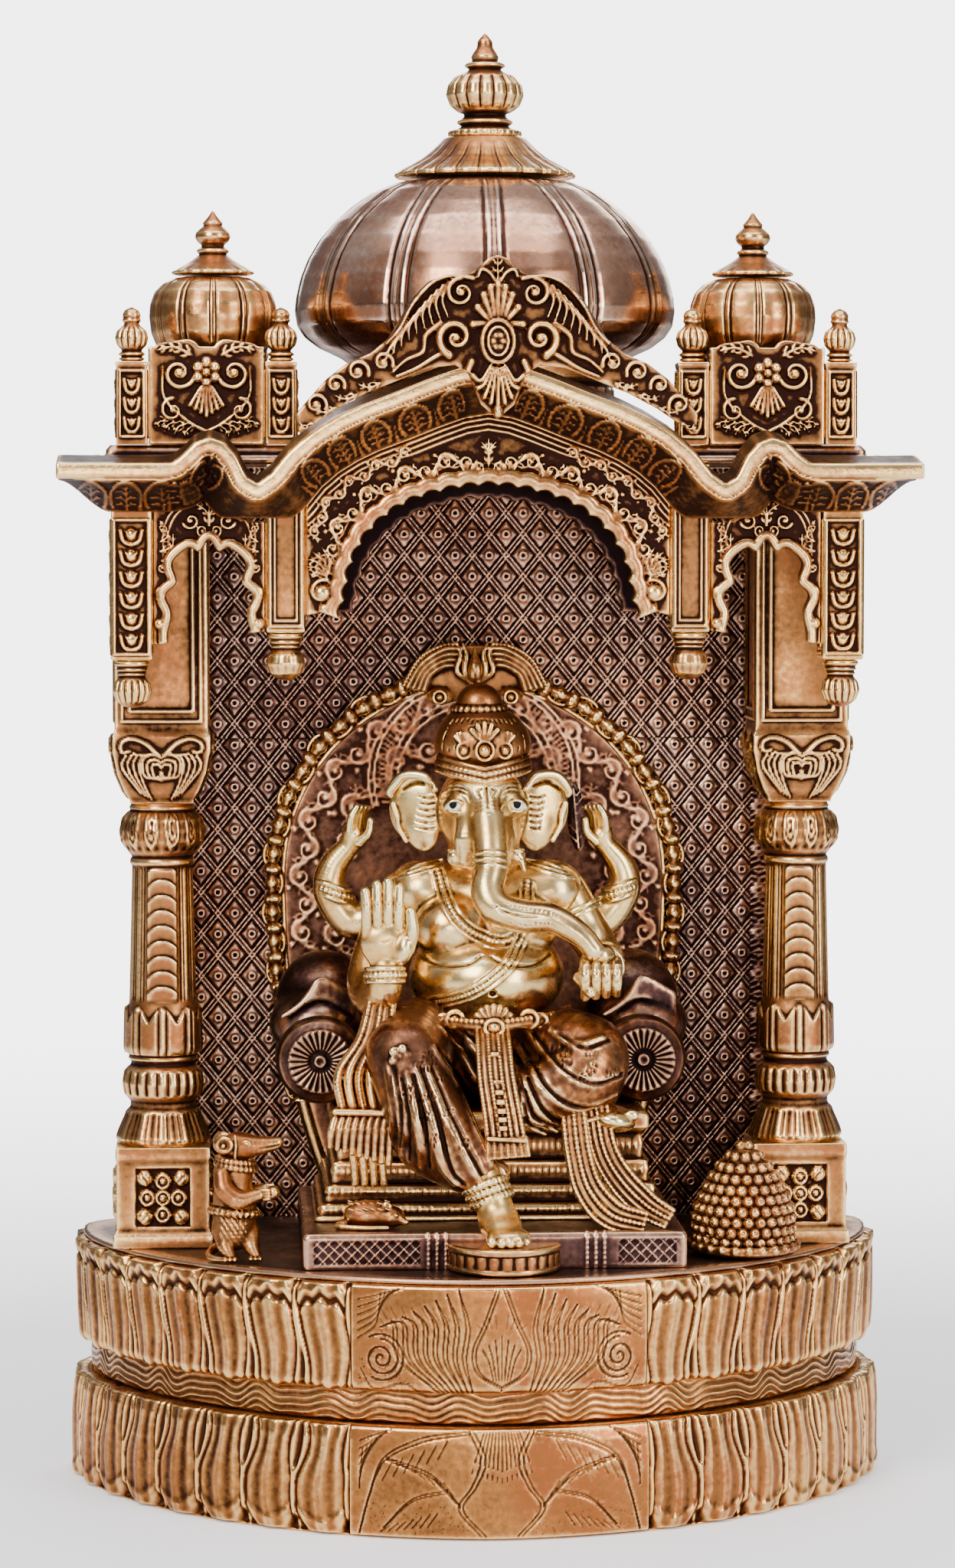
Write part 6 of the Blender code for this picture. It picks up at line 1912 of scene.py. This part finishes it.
def build_arms():
    clay = Field((-0.09, -0.076, 0.3), (-0.04, 0.02, 0.408), 0.0007)
    bent_arm(clay, [(-0.05, 0.006, 0.386), (-0.064, 0.004, 0.36), (-0.074, -0.01, 0.332),
                    (-0.07, -0.03, 0.322), (-0.0645, -0.048, 0.328),
                    (-0.0635, -0.054, 0.342)], (0.015, 0.014, 0.013, 0.0125, 0.011, 0.0105))
    clay.ball((-0.0635, -0.056, 0.36), (0.016, 0.0075, 0.017), 0.003)
    clay.ball((-0.052, -0.06, 0.356), (0.0055, 0.006, 0.01), 0.003, lean=-12)
    for x, top, lean in ((-0.0757, 0.396, -0.001), (-0.069, 0.4005, -0.0004), (-0.0623, 0.402, 0.0),
                         (-0.0556, 0.3985, 0.0006)):
        finger = [(x + 0.0004, -0.057, 0.366), (x, -0.06, 0.38), (x + lean, -0.06, top - 0.0036)]
        clay.tube(curve(finger, 10), (0.0037, 0.0036, 0.003), 0.0008)
        for z in (0.376, 0.385, 0.3925):
            clay.tube([(x - 0.003, -0.0636, z), (x + 0.003, -0.0636, z)], 0.0004, 0.0004, carve=True)
    clay.tube(curve([(-0.05, -0.058, 0.356), (-0.047, -0.061, 0.368), (-0.048, -0.062, 0.38)], 10),
              (0.0048, 0.0042, 0.003), 0.0012)
    for line in ([(-0.074, 0.364), (-0.066, 0.361), (-0.058, 0.364)],
                 [(-0.074, 0.358), (-0.067, 0.356), (-0.061, 0.35)],
                 [(-0.056, 0.366), (-0.06, 0.358), (-0.059, 0.35)]):
        path = np.insert(curve(line, 10), 1, -0.0636, axis=1)
        clay.tube(path, 0.0005, 0.0004, carve=True)
    for z in (0.343, 0.339, 0.335):
        ring_band(clay, (-0.064, -0.053, z), (0, 0.1, 1), 0.0118, 0.0016, 0.0005, 24 if z == 0.339 else 0)
    for z in (0.374, 0.37):
        ring_band(clay, (-0.058, 0.0045, z), (0.5, 0.1, 1), 0.0155, 0.0015, 0.0005, 0)
    clay.build("raised_hand_arm", GOLD, ["front_right_arm"])

    clay = Field((0.04, -0.09, 0.31), (0.092, 0.022, 0.408), 0.0007)
    bent_arm(clay, [(0.054, 0.006, 0.386), (0.068, 0.004, 0.362), (0.078, -0.01, 0.345),
                    (0.077, -0.034, 0.344), (0.073, -0.054, 0.344)],
             (0.015, 0.014, 0.0125, 0.011, 0.01))
    clay.ball((0.071, -0.064, 0.34), (0.014, 0.0105, 0.0125), 0.003)
    for k, x in enumerate((0.061, 0.0676, 0.0742, 0.0806)):
        finger = [(x + 0.0006, -0.064, 0.348), (x, -0.0765, 0.345), (x - 0.0002, -0.078, 0.335),
                  (x, -0.072, 0.3265 + 0.0008 * k)]
        clay.tube(curve(finger, 14), (0.0038, 0.0038, 0.0034, 0.003), 0.0008)
        for z in (0.343, 0.337, 0.331):
            clay.tube([(x - 0.003, -0.0815, z), (x + 0.003, -0.0815, z)], 0.0005, 0.0004, carve=True)
    clay.tube([(0.058, -0.068, 0.338), (0.064, -0.08, 0.33)], (0.0042, 0.0034), 0.001)
    clay.ball((0.07, -0.066, 0.352), (0.0105, 0.0105, 0.0085), 0.0008)
    for y in (-0.044, -0.049, -0.054):
        ring_band(clay, (0.0745, y, 0.344), (0.1, 1, 0), 0.0116, 0.0016, 0.0005, 24 if y == -0.049 else 0)
    for z in (0.376, 0.372):
        ring_band(clay, (0.0625, 0.0045, z), (-0.5, 0.1, 1), 0.0155, 0.0015)
    clay.build("modak_hand_arm", GOLD, ["front_left_arm"])

    for side, hand in (("right", -1), ("left", 1)):
        clay = Field((-0.108, 0.01, 0.348), (-0.048, 0.046, 0.448), 0.0007)
        bent_arm(clay, [(-0.052, 0.024, 0.378), (-0.08, 0.029, 0.366), (-0.096, 0.03, 0.385),
                        (-0.095, 0.029, 0.401), (-0.085, 0.026, 0.415)],
                 (0.0125, 0.0125, 0.0115, 0.0095, 0.007))
        clay.ball((-0.082, 0.024, 0.422), (0.007, 0.0062, 0.009), 0.003, lean=20)
        for k in range(4):
            base = np.array([-0.084 + 0.0026 * k, 0.02 + 0.0018 * k, 0.426 + 0.0006 * k])
            finger = [base, base + (0.001, -0.002, 0.0085), base + (0.0045, -0.002, 0.015 - 0.001 * k)]
            clay.tube(curve(finger, 10), (0.003, 0.0028, 0.002), 0.0008)
        clay.tube(curve([(-0.078, 0.02, 0.418), (-0.072, 0.018, 0.424), (-0.0705, 0.018, 0.432)], 8),
                  (0.0032, 0.0022), 0.001)
        for lift in (0.0, 0.0044, 0.0088):
            ring_band(clay, (-0.093 - lift * 0.2, 0.03, 0.381 + lift), (0.35, 0, 1), 0.0122, 0.0015, 0.0005,
                      24 if lift == 0.0044 else 0)
        if hand > 0:
            inward = 0.003
            clay.phi = clay.phi[::-1].copy()
            clay.low = np.array([-clay.axes[0][-1] - inward, clay.low[1], clay.low[2]])
        clay.build(f"rear_{side}_arm", GOLD, [f"rear_{side}_arm"])
    leaf = Field((0.052, 0.01, 0.408), (0.072, 0.036, 0.462), 0.0006)
    leaf.ball((0.062, 0.022, 0.434), (0.006, 0.0036, 0.023), 0.001, lean=6)
    leaf.tube([(0.06, 0.019, 0.452), (0.0635, 0.019, 0.414)], 0.001, 0.0006)
    for k in range(6):
        z = 0.418 + 0.006 * k
        leaf.tube([(0.0622, 0.0188, z), (0.0665, 0.02, z + 0.005)], (0.0008, 0.0004), 0.0004)
        leaf.tube([(0.0622, 0.0188, z), (0.0572, 0.02, z + 0.005)], (0.0008, 0.0004), 0.0004)
    leaf.build("held_leaf", DARK)


def build_legs():
    clay = Field((-0.086, -0.124, 0.205), (0.101, 0.076, 0.328), 0.0011)
    clay.ball((0.002, 0.02, 0.285), (0.062, 0.056, 0.036), 0.006)
    thigh = curve([(-0.028, 0.01, 0.29), (-0.042, -0.035, 0.296), (-0.052, -0.064, 0.29)], 14)
    clay.tube(thigh, (0.03, 0.026, 0.0225), 0.01)
    shin = curve([(-0.052, -0.064, 0.288), (-0.044, -0.079, 0.265), (-0.029, -0.09, 0.243),
                  (-0.014, -0.098, 0.224)], 16)
    clay.tube(shin, (0.0225, 0.023, 0.021, 0.017), 0.01)
    clay.tube(curve([(-0.047, -0.058, 0.276), (-0.04, -0.064, 0.254), (-0.03, -0.07, 0.238)], 12),
              (0.024, 0.025, 0.022), 0.01)
    hem = curve([(-0.054, -0.056, 0.242), (-0.042, -0.078, 0.23), (-0.02, -0.09, 0.22),
                 (0.004, -0.092, 0.218)], 16)
    clay.tube(hem, (0.011, 0.013, 0.012, 0.009), 0.006)
    bent = curve([(0.028, 0.0, 0.282), (0.052, -0.04, 0.288), (0.066, -0.056, 0.286), (0.056, -0.066, 0.274),
                  (0.03, -0.072, 0.264)], 24)
    clay.tube(bent, (0.03, 0.028, 0.0235, 0.022, 0.019), 0.01)
    clay.ball((0.072, -0.046, 0.278), (0.016, 0.026, 0.028), 0.008)
    folds = [
        [(-0.064, 0.286), (-0.06, 0.26), (-0.06, 0.236)], [(-0.059, 0.279), (-0.055, 0.254), (-0.054, 0.228)],
        [(-0.052, 0.281), (-0.046, 0.254), (-0.042, 0.224)],
             [(-0.047, 0.285), (-0.037, 0.255), (-0.03, 0.226), (-0.022, 0.215)],
        [(-0.04, 0.285), (-0.027, 0.254), (-0.014, 0.228), (-0.006, 0.214)],
             [(-0.035, 0.296), (-0.019, 0.268), (-0.006, 0.238), (0.004, 0.216)],
        [(-0.03, 0.306), (-0.016, 0.29), (-0.006, 0.27)], [(-0.024, 0.308), (-0.012, 0.298), (-0.003, 0.286)],
        [(0.018, 0.283), (0.029, 0.259), (0.047, 0.246), (0.069, 0.25)],
             [(0.018, 0.27), (0.024, 0.254), (0.043, 0.243)],
        [(0.019, 0.294), (0.034, 0.27), (0.056, 0.258), (0.08, 0.264)],
             [(0.026, 0.302), (0.042, 0.284), (0.062, 0.274), (0.08, 0.278)],
        [(0.04, 0.304), (0.056, 0.296), (0.072, 0.3)], [(0.017, 0.262), (0.021, 0.249), (0.036, 0.241)]]
    laid = [clay.front(curve(path, 24), -0.0006) for path in folds]
    for path in laid:
        clay.tube(path, (0.0014, 0.003, 0.002), 0.003)
    for path in laid:
        trough = clay.front(path[:, [0, 2]] + (0.0042, -0.0006), -0.0004)
        clay.tube(trough, (0.0006, 0.0014, 0.0008), 0.002, carve=True)
    rng = np.random.RandomState(3)
    for k in range(26):
        u, v = rng.rand(2)
        spot = (-0.056 + 0.04 * u, 0.3 - 0.062 * v - 0.01 * u) if k % 3 else (0.035 + 0.04 * u,
                                                                              0.298 - 0.03 * v)
        for j in range(3):
            dash = clay.front([(spot[0] + 0.0024 * j, spot[1]),
                               (spot[0] + 0.0024 * j + 0.001, spot[1] + 0.0036)])
            clay.tube(dash, 0.0005, 0.0004, carve=True)
    flower = clay.front([(-0.056, 0.292), (-0.056, 0.292)])[0]
    for a in np.linspace(0, TAU, 6)[:-1]:
        clay.ball(flower + (0.0046 * math.cos(a), 0.0, 0.0046 * math.sin(a)), (0.0032, 0.002, 0.0032), 0.0006)
    clay.ball(flower, 0.002, 0.0005)
    clay.build("dhoti", CLOTH, ["idol_body"], 0.0009)

    clay = Field((-0.03, -0.142, 0.176), (0.04, -0.07, 0.226), 0.0008)
    clay.tube(curve([(-0.008, -0.096, 0.222), (-0.001, -0.101, 0.208), (0.004, -0.105, 0.195)], 12),
              (0.0135, 0.0115, 0.0115), 0.004)
    clay.ball((0.006, -0.108, 0.188), (0.013, 0.019, 0.0095), 0.006)
    clay.ball((0.01, -0.125, 0.1835), (0.0135, 0.012, 0.0058), 0.005)
    for k, (x, y, r) in enumerate(((-0.001, -0.133, 0.0036), (0.005, -0.1352, 0.0034),
                                   (0.0105, -0.135, 0.0034), (0.0158, -0.1335, 0.0033),
                                   (0.0204, -0.13, 0.003))):
        clay.tube([(x * 0.9 + 0.001, y + 0.009, 0.184), (x, y, 0.1812)], (r * 1.05, r), 0.0006)
    for z, r in ((0.212, 0.0128), (0.2075, 0.0126), (0.203, 0.0124)):
        ring_band(clay, (-0.0035 + (0.212 - z) * 0.5, -0.0998, z), (-0.35, 0.2, 1), r, 0.0017, 0.0005, 24)
    clay.build("foot", GOLD)
    clay = Field((0.066, -0.086, 0.234), (0.101, -0.03, 0.262), 0.0008)
    clay.ball((0.079, -0.056, 0.248), (0.016, 0.02, 0.0085), 0.003, lean=-10)
    for k in range(4):
        clay.ball((0.0905, -0.068 + 0.0055 * k, 0.251 - 0.0006 * k), (0.005, 0.003, 0.0036), 0.0008)
    clay.build("folded_foot", GOLD)


def ribbon(clay, path, width, lines, thick=0.0016, count=30):
    """A hanging cloth band: parallel cords along a path, beaded on the outside."""
    p = curve(path, count)
    t = np.gradient(p, axis=0)
    n = np.stack([t[:, 2], np.zeros(len(t)), -t[:, 0]], 1)
    n /= np.linalg.norm(n, axis=1, keepdims=True)
    width = np.interp(np.linspace(0, 1, len(p)), np.linspace(0, 1, np.size(width)), np.atleast_1d(width))
    for k in range(lines):
        off = (k / (lines - 1) - 0.5) * 2
        line = p + n * (off * width)[:, None]
        clay.tube(line, thick, 0.0012)
        if k % 2 == 0:
            clay.beads(line + (0, -thick * 0.8, 0), thick * 0.8, 2.0)


def build_sashes():
    clay = Field((-0.013, -0.116, 0.224), (0.029, -0.05, 0.324), 0.0007)
    ribbon(clay, [(0.003, -0.06, 0.308), (0.0032, -0.079, 0.296), (0.004, -0.096, 0.278),
                  (0.0075, -0.106, 0.254), (0.0105, -0.108, 0.232)], (0.0095, 0.01, 0.0105, 0.0115), 7)
    ribbon(clay, [(0.0098, -0.1085, 0.242), (0.0105, -0.1095, 0.231)], (0.012, 0.013), 13, 0.0012, count=12)
    clay.tube([(-0.002, -0.111, 0.2425), (0.022, -0.11, 0.241)], 0.0014, 0.0005)
    for k in range(9):
        z = 0.292 - 0.0054 * k
        y = -0.085 - 0.024 * smooth(0, 6, k)
        x = 0.0034 + 0.0005 * k
        clay.box((x - 0.0026, y - 0.0022, z - 0.0016), (x + 0.0026, y + 0.004, z + 0.0016), 0.0004, 0.0005)
    clay.build("front_sash", BRASS)

    clay = Field((-0.056, -0.08, 0.294), (0.066, 0.0, 0.328), 0.0008)
    belt = curve([(-0.048, -0.016, 0.312), (-0.034, -0.044, 0.309), (0.003, -0.064, 0.308),
                  (0.04, -0.044, 0.31), (0.054, -0.016, 0.312)], 40)
    clay.tube(belt, 0.004, 0.001)
    clay.beads(belt + (0, -0.0034, 0.0026), 0.0018, 1.9)
    for k in range(-4, 5):
        a = math.radians(90 - 20 * k)
        clay.tube([(0.004 + 0.005 * math.cos(a), -0.065, 0.309 + 0.003 * math.sin(a)),
                   (0.004 + 0.012 * math.cos(a), -0.062, 0.309 + 0.0105 * math.sin(a))], (0.0016, 0.0022),
                  0.0006)
    t = np.linspace(0, TAU, 17)
    clay.tube(np.stack([0.004 + 0.006 * np.cos(t), np.full(17, -0.069), 0.307 + 0.005 * np.sin(t)], 1),
              0.0014)
    clay.ball((0.004, -0.068, 0.307), (0.004, 0.003, 0.0034), 0.0006)
    for x in (-0.02, 0.027):
        for s, r in ((0.0, 0.0052), (0.0075, 0.004)):
            spot = (x - math.copysign(s, -x), -0.056 + s * 0.6, 0.311 - s * 0.2)
            ring_band(clay, spot, (0.1, 1, 0), r, 0.0016)
            clay.ball(spot, r * 0.5, 0.0006)
    clay.build("belt", BRASS)

    clay = Field((-0.106, -0.086, 0.192), (-0.056, -0.02, 0.332), 0.0008)
    for k in range(5):
        x = -0.092 + 0.0066 * k
        cord = curve([(-0.073 + 0.0036 * k, -0.048, 0.324), (-0.08 + 0.0046 * k, -0.06, 0.3),
                      (x - 0.002, -0.068, 0.278), (x + 0.001, -0.07, 0.254)], 22)
        clay.tube(cord, 0.0028, 0.0008)
        if k % 2 == 0:
            clay.beads(cord + (0, -0.0026, 0), 0.0013, 2.0)
    for k in range(9):
        x = -0.098 + 0.0046 * k
        fringe = [(x + 0.004, -0.069, 0.256), (x, -0.073, 0.244), (x - 0.001, -0.071, 0.233 - 0.0014 * k)]
        clay.tube(curve(fringe, 8), (0.002, 0.0028, 0.002), 0.0006)
    clay.tube([(-0.096, -0.073, 0.255), (-0.058, -0.074, 0.254)], 0.0022, 0.0006)
    for k in range(4):
        x = -0.086 + 0.006 * k
        clay.tube(curve([(x, -0.066, 0.234), (x + 0.002, -0.064, 0.22), (x + 0.003, -0.062, 0.208)], 8),
                  (0.0028, 0.0022), 0.0008)
    clay.build("corded_sash", BRASS)

    clay = Field((0.044, -0.11, 0.178), (0.125, -0.044, 0.264), 0.0008)
    ribbon(clay, [(0.053, -0.078, 0.256), (0.056, -0.082, 0.23), (0.062, -0.088, 0.208),
                  (0.076, -0.094, 0.192), (0.096, -0.096, 0.186)], (0.0065, 0.007, 0.0085, 0.007), 5, 0.0018)
    ribbon(clay, [(0.068, -0.068, 0.256), (0.073, -0.072, 0.23), (0.083, -0.078, 0.212),
                  (0.098, -0.086, 0.197), (0.112, -0.092, 0.189)], (0.007, 0.0075, 0.008, 0.006), 5, 0.0018)
    clay.build("sash_tails", BRASS)


def build_attendants():
    low, high = node("attendant_mouse")
    clay = Field((-0.179, -0.083, low[2]), (-0.126, -0.042, high[2] + 0.002), 0.0006)
    clay.ball((-0.159, -0.058, 0.196), (0.0135, 0.014, 0.02), 0.003, lean=6)
    clay.ball((-0.16, -0.057, 0.179), (0.0135, 0.014, 0.0135), 0.006)
    clay.ball((-0.1585, -0.059, 0.215), (0.011, 0.011, 0.012), 0.005)
    clay.ball((-0.157, -0.061, 0.2325), (0.011, 0.0098, 0.0082), 0.004)
    snout = curve([(-0.156, -0.062, 0.233), (-0.144, -0.064, 0.233), (-0.134, -0.065, 0.2345),
                   (-0.131, -0.065, 0.2355)], 14)
    clay.tube(snout, (0.0084, 0.0062, 0.0042, 0.003), 0.003)
    clay.tube([(-0.143, -0.0705, 0.2318), (-0.131, -0.0685, 0.2335)], 0.0008, 0.0006, carve=True)
    for y in (-0.07, -0.05):
        clay.ball((-0.166, y, 0.2345), (0.0068, 0.003, 0.006), 0.0012, turn=-20)
        clay.ball((-0.1655, y - 0.0034, 0.2345), (0.0046, 0.0024, 0.004), 0.0008, turn=-20, carve=True)
    clay.ball((-0.166, -0.0725, 0.234), 0.0014, 0.0005)
    clay.tube([(-0.1586, -0.0705, 0.24), (-0.158, -0.0722, 0.233), (-0.1586, -0.07, 0.226)], 0.0009, 0.0004)
    ring_band(clay, (-0.1515, -0.0702, 0.235), (0.1, 1, 0), 0.0019, 0.0005)
    clay.ball((-0.1515, -0.0702, 0.235), 0.0011, 0.0003)
    for z, r in ((0.223, 0.0112), (0.2195, 0.0122)):
        ring_band(clay, (-0.158, -0.059, z), (0.15, 0, 1), r, 0.0015, 0.0005, 24)
    for y, push in ((-0.0715, 0.0), (-0.049, 0.003)):
        arm = curve([(-0.167, y + 0.003, 0.215), (-0.165, y, 0.206), (-0.156, y - 0.002, 0.2),
                     (-0.144 + push, y - 0.002, 0.203)], 18)
        clay.tube(arm, (0.0052, 0.0062, 0.006, 0.0042), 0.0018)
        for k in range(4):
            clay.tube([(-0.143 + push, y - 0.003, 0.2005 + 0.0019 * k),
                       (-0.1375 + push, y - 0.0036, 0.2008 + 0.0018 * k)], 0.0011, 0.0004)
    clay.ball((-0.1345, -0.069, 0.204), (0.0042, 0.0052, 0.0046), 0.0006)
    ring_band(clay, (-0.159, -0.058, 0.19), (0.1, 0.1, 1), 0.0146, 0.0018, 0.0005, 24)
    for k in range(9):
        for j in range(5):
            x, z = -0.168 + 0.0034 * j + 0.0017 * (k % 2), 0.1735 + 0.0026 * k
            tuft = clay.front([(x, z), (x + 0.001, z - 0.0026)], 0.0001)
            clay.tube(tuft, 0.0007, 0.0004)
    for x, y in ((-0.166, -0.064), (-0.15, -0.062)):
        clay.tube(curve([(x, y + 0.004, 0.178), (x + 0.001, y - 0.002, 0.17), (x + 0.004, y - 0.006, 0.164)],
                        8), (0.0066, 0.0052, 0.0034), 0.002)
        for k in range(3):
            clay.ball((x + 0.001 + 0.003 * k, y - 0.009, 0.1626), (0.0016, 0.004, 0.0018), 0.0005)
    clay.tube(curve([(-0.166, -0.05, 0.17), (-0.174, -0.056, 0.165), (-0.174, -0.068, 0.163),
                     (-0.166, -0.074, 0.1625)], 14), (0.0032, 0.0016), 0.001)
    clay.build("standing_mouse", BRASS, ["attendant_mouse"])

    clay = Field((-0.1, -0.1, 0.182), (-0.048, -0.056, 0.208), 0.0007)
    clay.ball((-0.076, -0.078, 0.191), (0.015, 0.01, 0.0092), 0.003)
    clay.ball((-0.061, -0.081, 0.19), (0.0085, 0.007, 0.0068), 0.003)
    clay.tube([(-0.058, -0.083, 0.1895), (-0.0525, -0.085, 0.187)], (0.0045, 0.0022), 0.001)
    clay.ball((-0.064, -0.085, 0.1965), (0.0036, 0.0018, 0.0036), 0.0005)
    clay.ball((-0.058, -0.0872, 0.1915), 0.0012, 0.0003)
    for k in range(6):
        for j in range(4):
            a = math.radians(-150 + 36 * j)
            x = -0.088 + 0.0046 * k
            clay.tube([(x, -0.078 + 0.01 * math.cos(a) - 0.001, 0.1925 - 0.008 * math.sin(a) * 0.9),
                       (x + 0.003, -0.079 + 0.0104 * math.cos(a), 0.1915 - 0.008 * math.sin(a) * 0.9)],
                      0.0006, 0.0004)
    clay.tube(curve([(-0.088, -0.078, 0.186), (-0.095, -0.086, 0.185), (-0.08, -0.092, 0.1845),
                     (-0.064, -0.092, 0.1845)], 14), (0.0022, 0.0014), 0.0008)
    clay.build("crouching_mouse", BRASS)

    low, high = node("laddu_mound")
    cx, cy = plan_middle(low, high)
    clay = Field((low[0] - 0.001, low[1] - 0.001, low[2]),
                 (high[0] + 0.001, high[1] + 0.001, high[2] + 0.002), 0.0007)
    plate_r = (high[0] - low[0]) / 2
    clay.ball((cx, cy, 0.164), (plate_r - 0.001, plate_r - 0.001, 0.0046), 0.0008)
    ring_band(clay, (cx, cy, 0.166), (0, 0, 1), plate_r - 0.0028, 0.0022, 0.0008, 24)
    heights = (0.168, 0.178, 0.19, 0.204, 0.216, 0.226, 0.23)
    widths = (0.0305, 0.0318, 0.03, 0.024, 0.016, 0.0065, 0.001)
    for z in np.arange(0.168, 0.224, 0.003):
        r = np.interp(z, heights, widths)
        clay.ball((cx, cy, z), (r - 0.0014, r - 0.0014, 0.006), 0.002)
    for row, z in enumerate(np.arange(0.1705, 0.229, 0.0064)):
        r = np.interp(z, heights, widths)
        count = max(1, round(TAU * r / 0.0078))
        for k in range(count):
            a = TAU * (k + 0.5 * (row % 2)) / count - math.pi / 2
            out = np.array([math.cos(a), math.sin(a), 0.15 + 0.9 * smooth(0.19, 0.228, z)])
            out /= np.linalg.norm(out)
            c = np.array([cx + (r - 0.0016) * math.cos(a), cy + (r - 0.0016) * math.sin(a), z])
            clay.ball(c, 0.0039, 0.0005)
            ring_band(clay, c + out * 0.0034, out, 0.0018, 0.0006, 0.0003)
            clay.ball(c + out * 0.0038, 0.0008, 0.0003)
    clay.build("laddu_mound", BRASS, ["laddu_mound"])


def build_figure():
    build_torso()
    build_head()
    build_arms()
    build_legs()
    build_sashes()


build_base()
build_pillars()
build_back()
build_eave()
build_arch()
build_posts()
build_crest()
build_domes()
build_halo()
build_throne()
build_figure()
build_attendants()


# ---------------------------------------------------------------- stage

FLOOR_HALF = 24.0
FLOOR_DROP = 0.0005
BACKDROP = 4.8
MIDDLE = (0, 0, 0.45)
CAMERA_AIM = (-0.0028, 0.0, 0.4565)
CAMERA_AZIMUTH = math.radians(-3.0)
CAMERA_ELEVATION = math.radians(3.25)
CAMERA_DISTANCE = 3.0
CAMERA_LENS = 107.5


def area_light(name, place, aim, size, power, colour=(1, 1, 1)):
    data = bpy.data.lights.new(name, "AREA")
    data.shape = "RECTANGLE"
    data.size, data.size_y = size
    data.energy = power
    data.color = colour
    lamp = bpy.data.objects.new(name, data)
    bpy.context.scene.collection.objects.link(lamp)
    lamp.location = place
    lamp.rotation_euler = (Vector(aim) - Vector(place)).to_track_quat("-Z", "Y").to_euler()


def build_stage():
    mesh = bpy.data.meshes.new("floor")
    s = FLOOR_HALF
    mesh.from_pydata([(-s, -s, 0), (s, -s, 0), (s, s, 0), (-s, s, 0)], [], [(0, 1, 2, 3)])
    floor = bpy.data.objects.new("floor", mesh)
    bpy.context.scene.collection.objects.link(floor)
    floor.location.z = cad_low[2] - FLOOR_DROP
    mat = bpy.data.materials.new("floor")
    mat.use_nodes = True
    shader = mat.node_tree.nodes["Principled BSDF"]
    shader.inputs["Base Color"].default_value = (0.93, 0.93, 0.94, 1)
    shader.inputs["Roughness"].default_value = 0.9
    # Painted light: the floor glows to camera rays only, from 0.3 near the middle to 4.5 far out, so it fades
    # into the white backdrop; this glow is no lamp.
    shader.inputs["Emission Color"].default_value = (1.0, 1.0, 1.0, 1)
    coords = mat.node_tree.nodes.new("ShaderNodeTexCoord")
    away = mat.node_tree.nodes.new("ShaderNodeVectorMath")
    away.operation = "LENGTH"
    link(mat.node_tree, coords.outputs["Object"], away.inputs[0])
    glow = scaled(mat.node_tree, away.outputs["Value"], 0.7, 3.0, 0.3, 4.5)
    seen = mat.node_tree.nodes.new("ShaderNodeLightPath").outputs["Is Camera Ray"]
    link(mat.node_tree, combine(mat.node_tree, glow, seen, "MULTIPLY"), shader.inputs["Emission Strength"])
    mesh.materials.append(mat)

    world = bpy.data.worlds.new("studio")
    bpy.context.scene.world = world
    world.use_nodes = True
    tree = world.node_tree
    back = tree.nodes["Background"]
    coords = tree.nodes.new("ShaderNodeTexCoord")
    split = tree.nodes.new("ShaderNodeSeparateXYZ")
    link(tree, coords.outputs["Generated"], split.inputs["Vector"])
    sky = ramp(tree, scaled(tree, split.outputs["Z"], -1, 1, 0, 1),
               [(0.0, (0.1, 0.08, 0.07)), (0.46, (0.05, 0.045, 0.045)),
                (0.62, (0.24, 0.23, 0.25)), (1.0, (0.6, 0.6, 0.66))])
    path = tree.nodes.new("ShaderNodeLightPath")
    mix = tree.nodes.new("ShaderNodeMix")
    mix.data_type = "RGBA"
    link(tree, path.outputs["Is Camera Ray"], mix.inputs["Factor"])
    link(tree, sky, mix.inputs["A"])
    mix.inputs["B"].default_value = (BACKDROP, BACKDROP, BACKDROP, 1)
    link(tree, mix.outputs["Result"], back.inputs["Color"])
    back.inputs["Strength"].default_value = 1.0

    area_light("key", (-1.3, -2.2, 1.9), MIDDLE, (1.2, 1.6), 80, (1.0, 0.97, 0.92))
    area_light("fill", (1.7, -1.8, 1.0), MIDDLE, (0.9, 1.8), 45, (1.0, 0.97, 0.94))
    area_light("front", (0.0, -3.4, 0.5), MIDDLE, (1.6, 0.5), 24, (1.0, 0.95, 0.9))
    area_light("top", (0.0, -0.4, 2.3), MIDDLE, (2.2, 1.4), 40, (0.93, 0.92, 1.0))
    area_light("rear", (0.3, 2.2, 1.5), MIDDLE, (2.0, 1.2), 40)


def build_camera():
    """Just left of the front and a little above."""
    level = math.cos(CAMERA_ELEVATION)
    back = Vector((math.sin(CAMERA_AZIMUTH) * level, -math.cos(CAMERA_AZIMUTH) * level,
                   math.sin(CAMERA_ELEVATION)))
    data = bpy.data.cameras.new("camera")
    data.lens = CAMERA_LENS
    data.sensor_width = 36.0
    data.clip_end = 50.0
    camera = bpy.data.objects.new("camera", data)
    bpy.context.scene.collection.objects.link(camera)
    camera.location = Vector(CAMERA_AIM) + back * CAMERA_DISTANCE
    camera.rotation_euler = (-back).to_track_quat("-Z", "Y").to_euler()
    bpy.context.scene.camera = camera


build_stage()
build_camera()
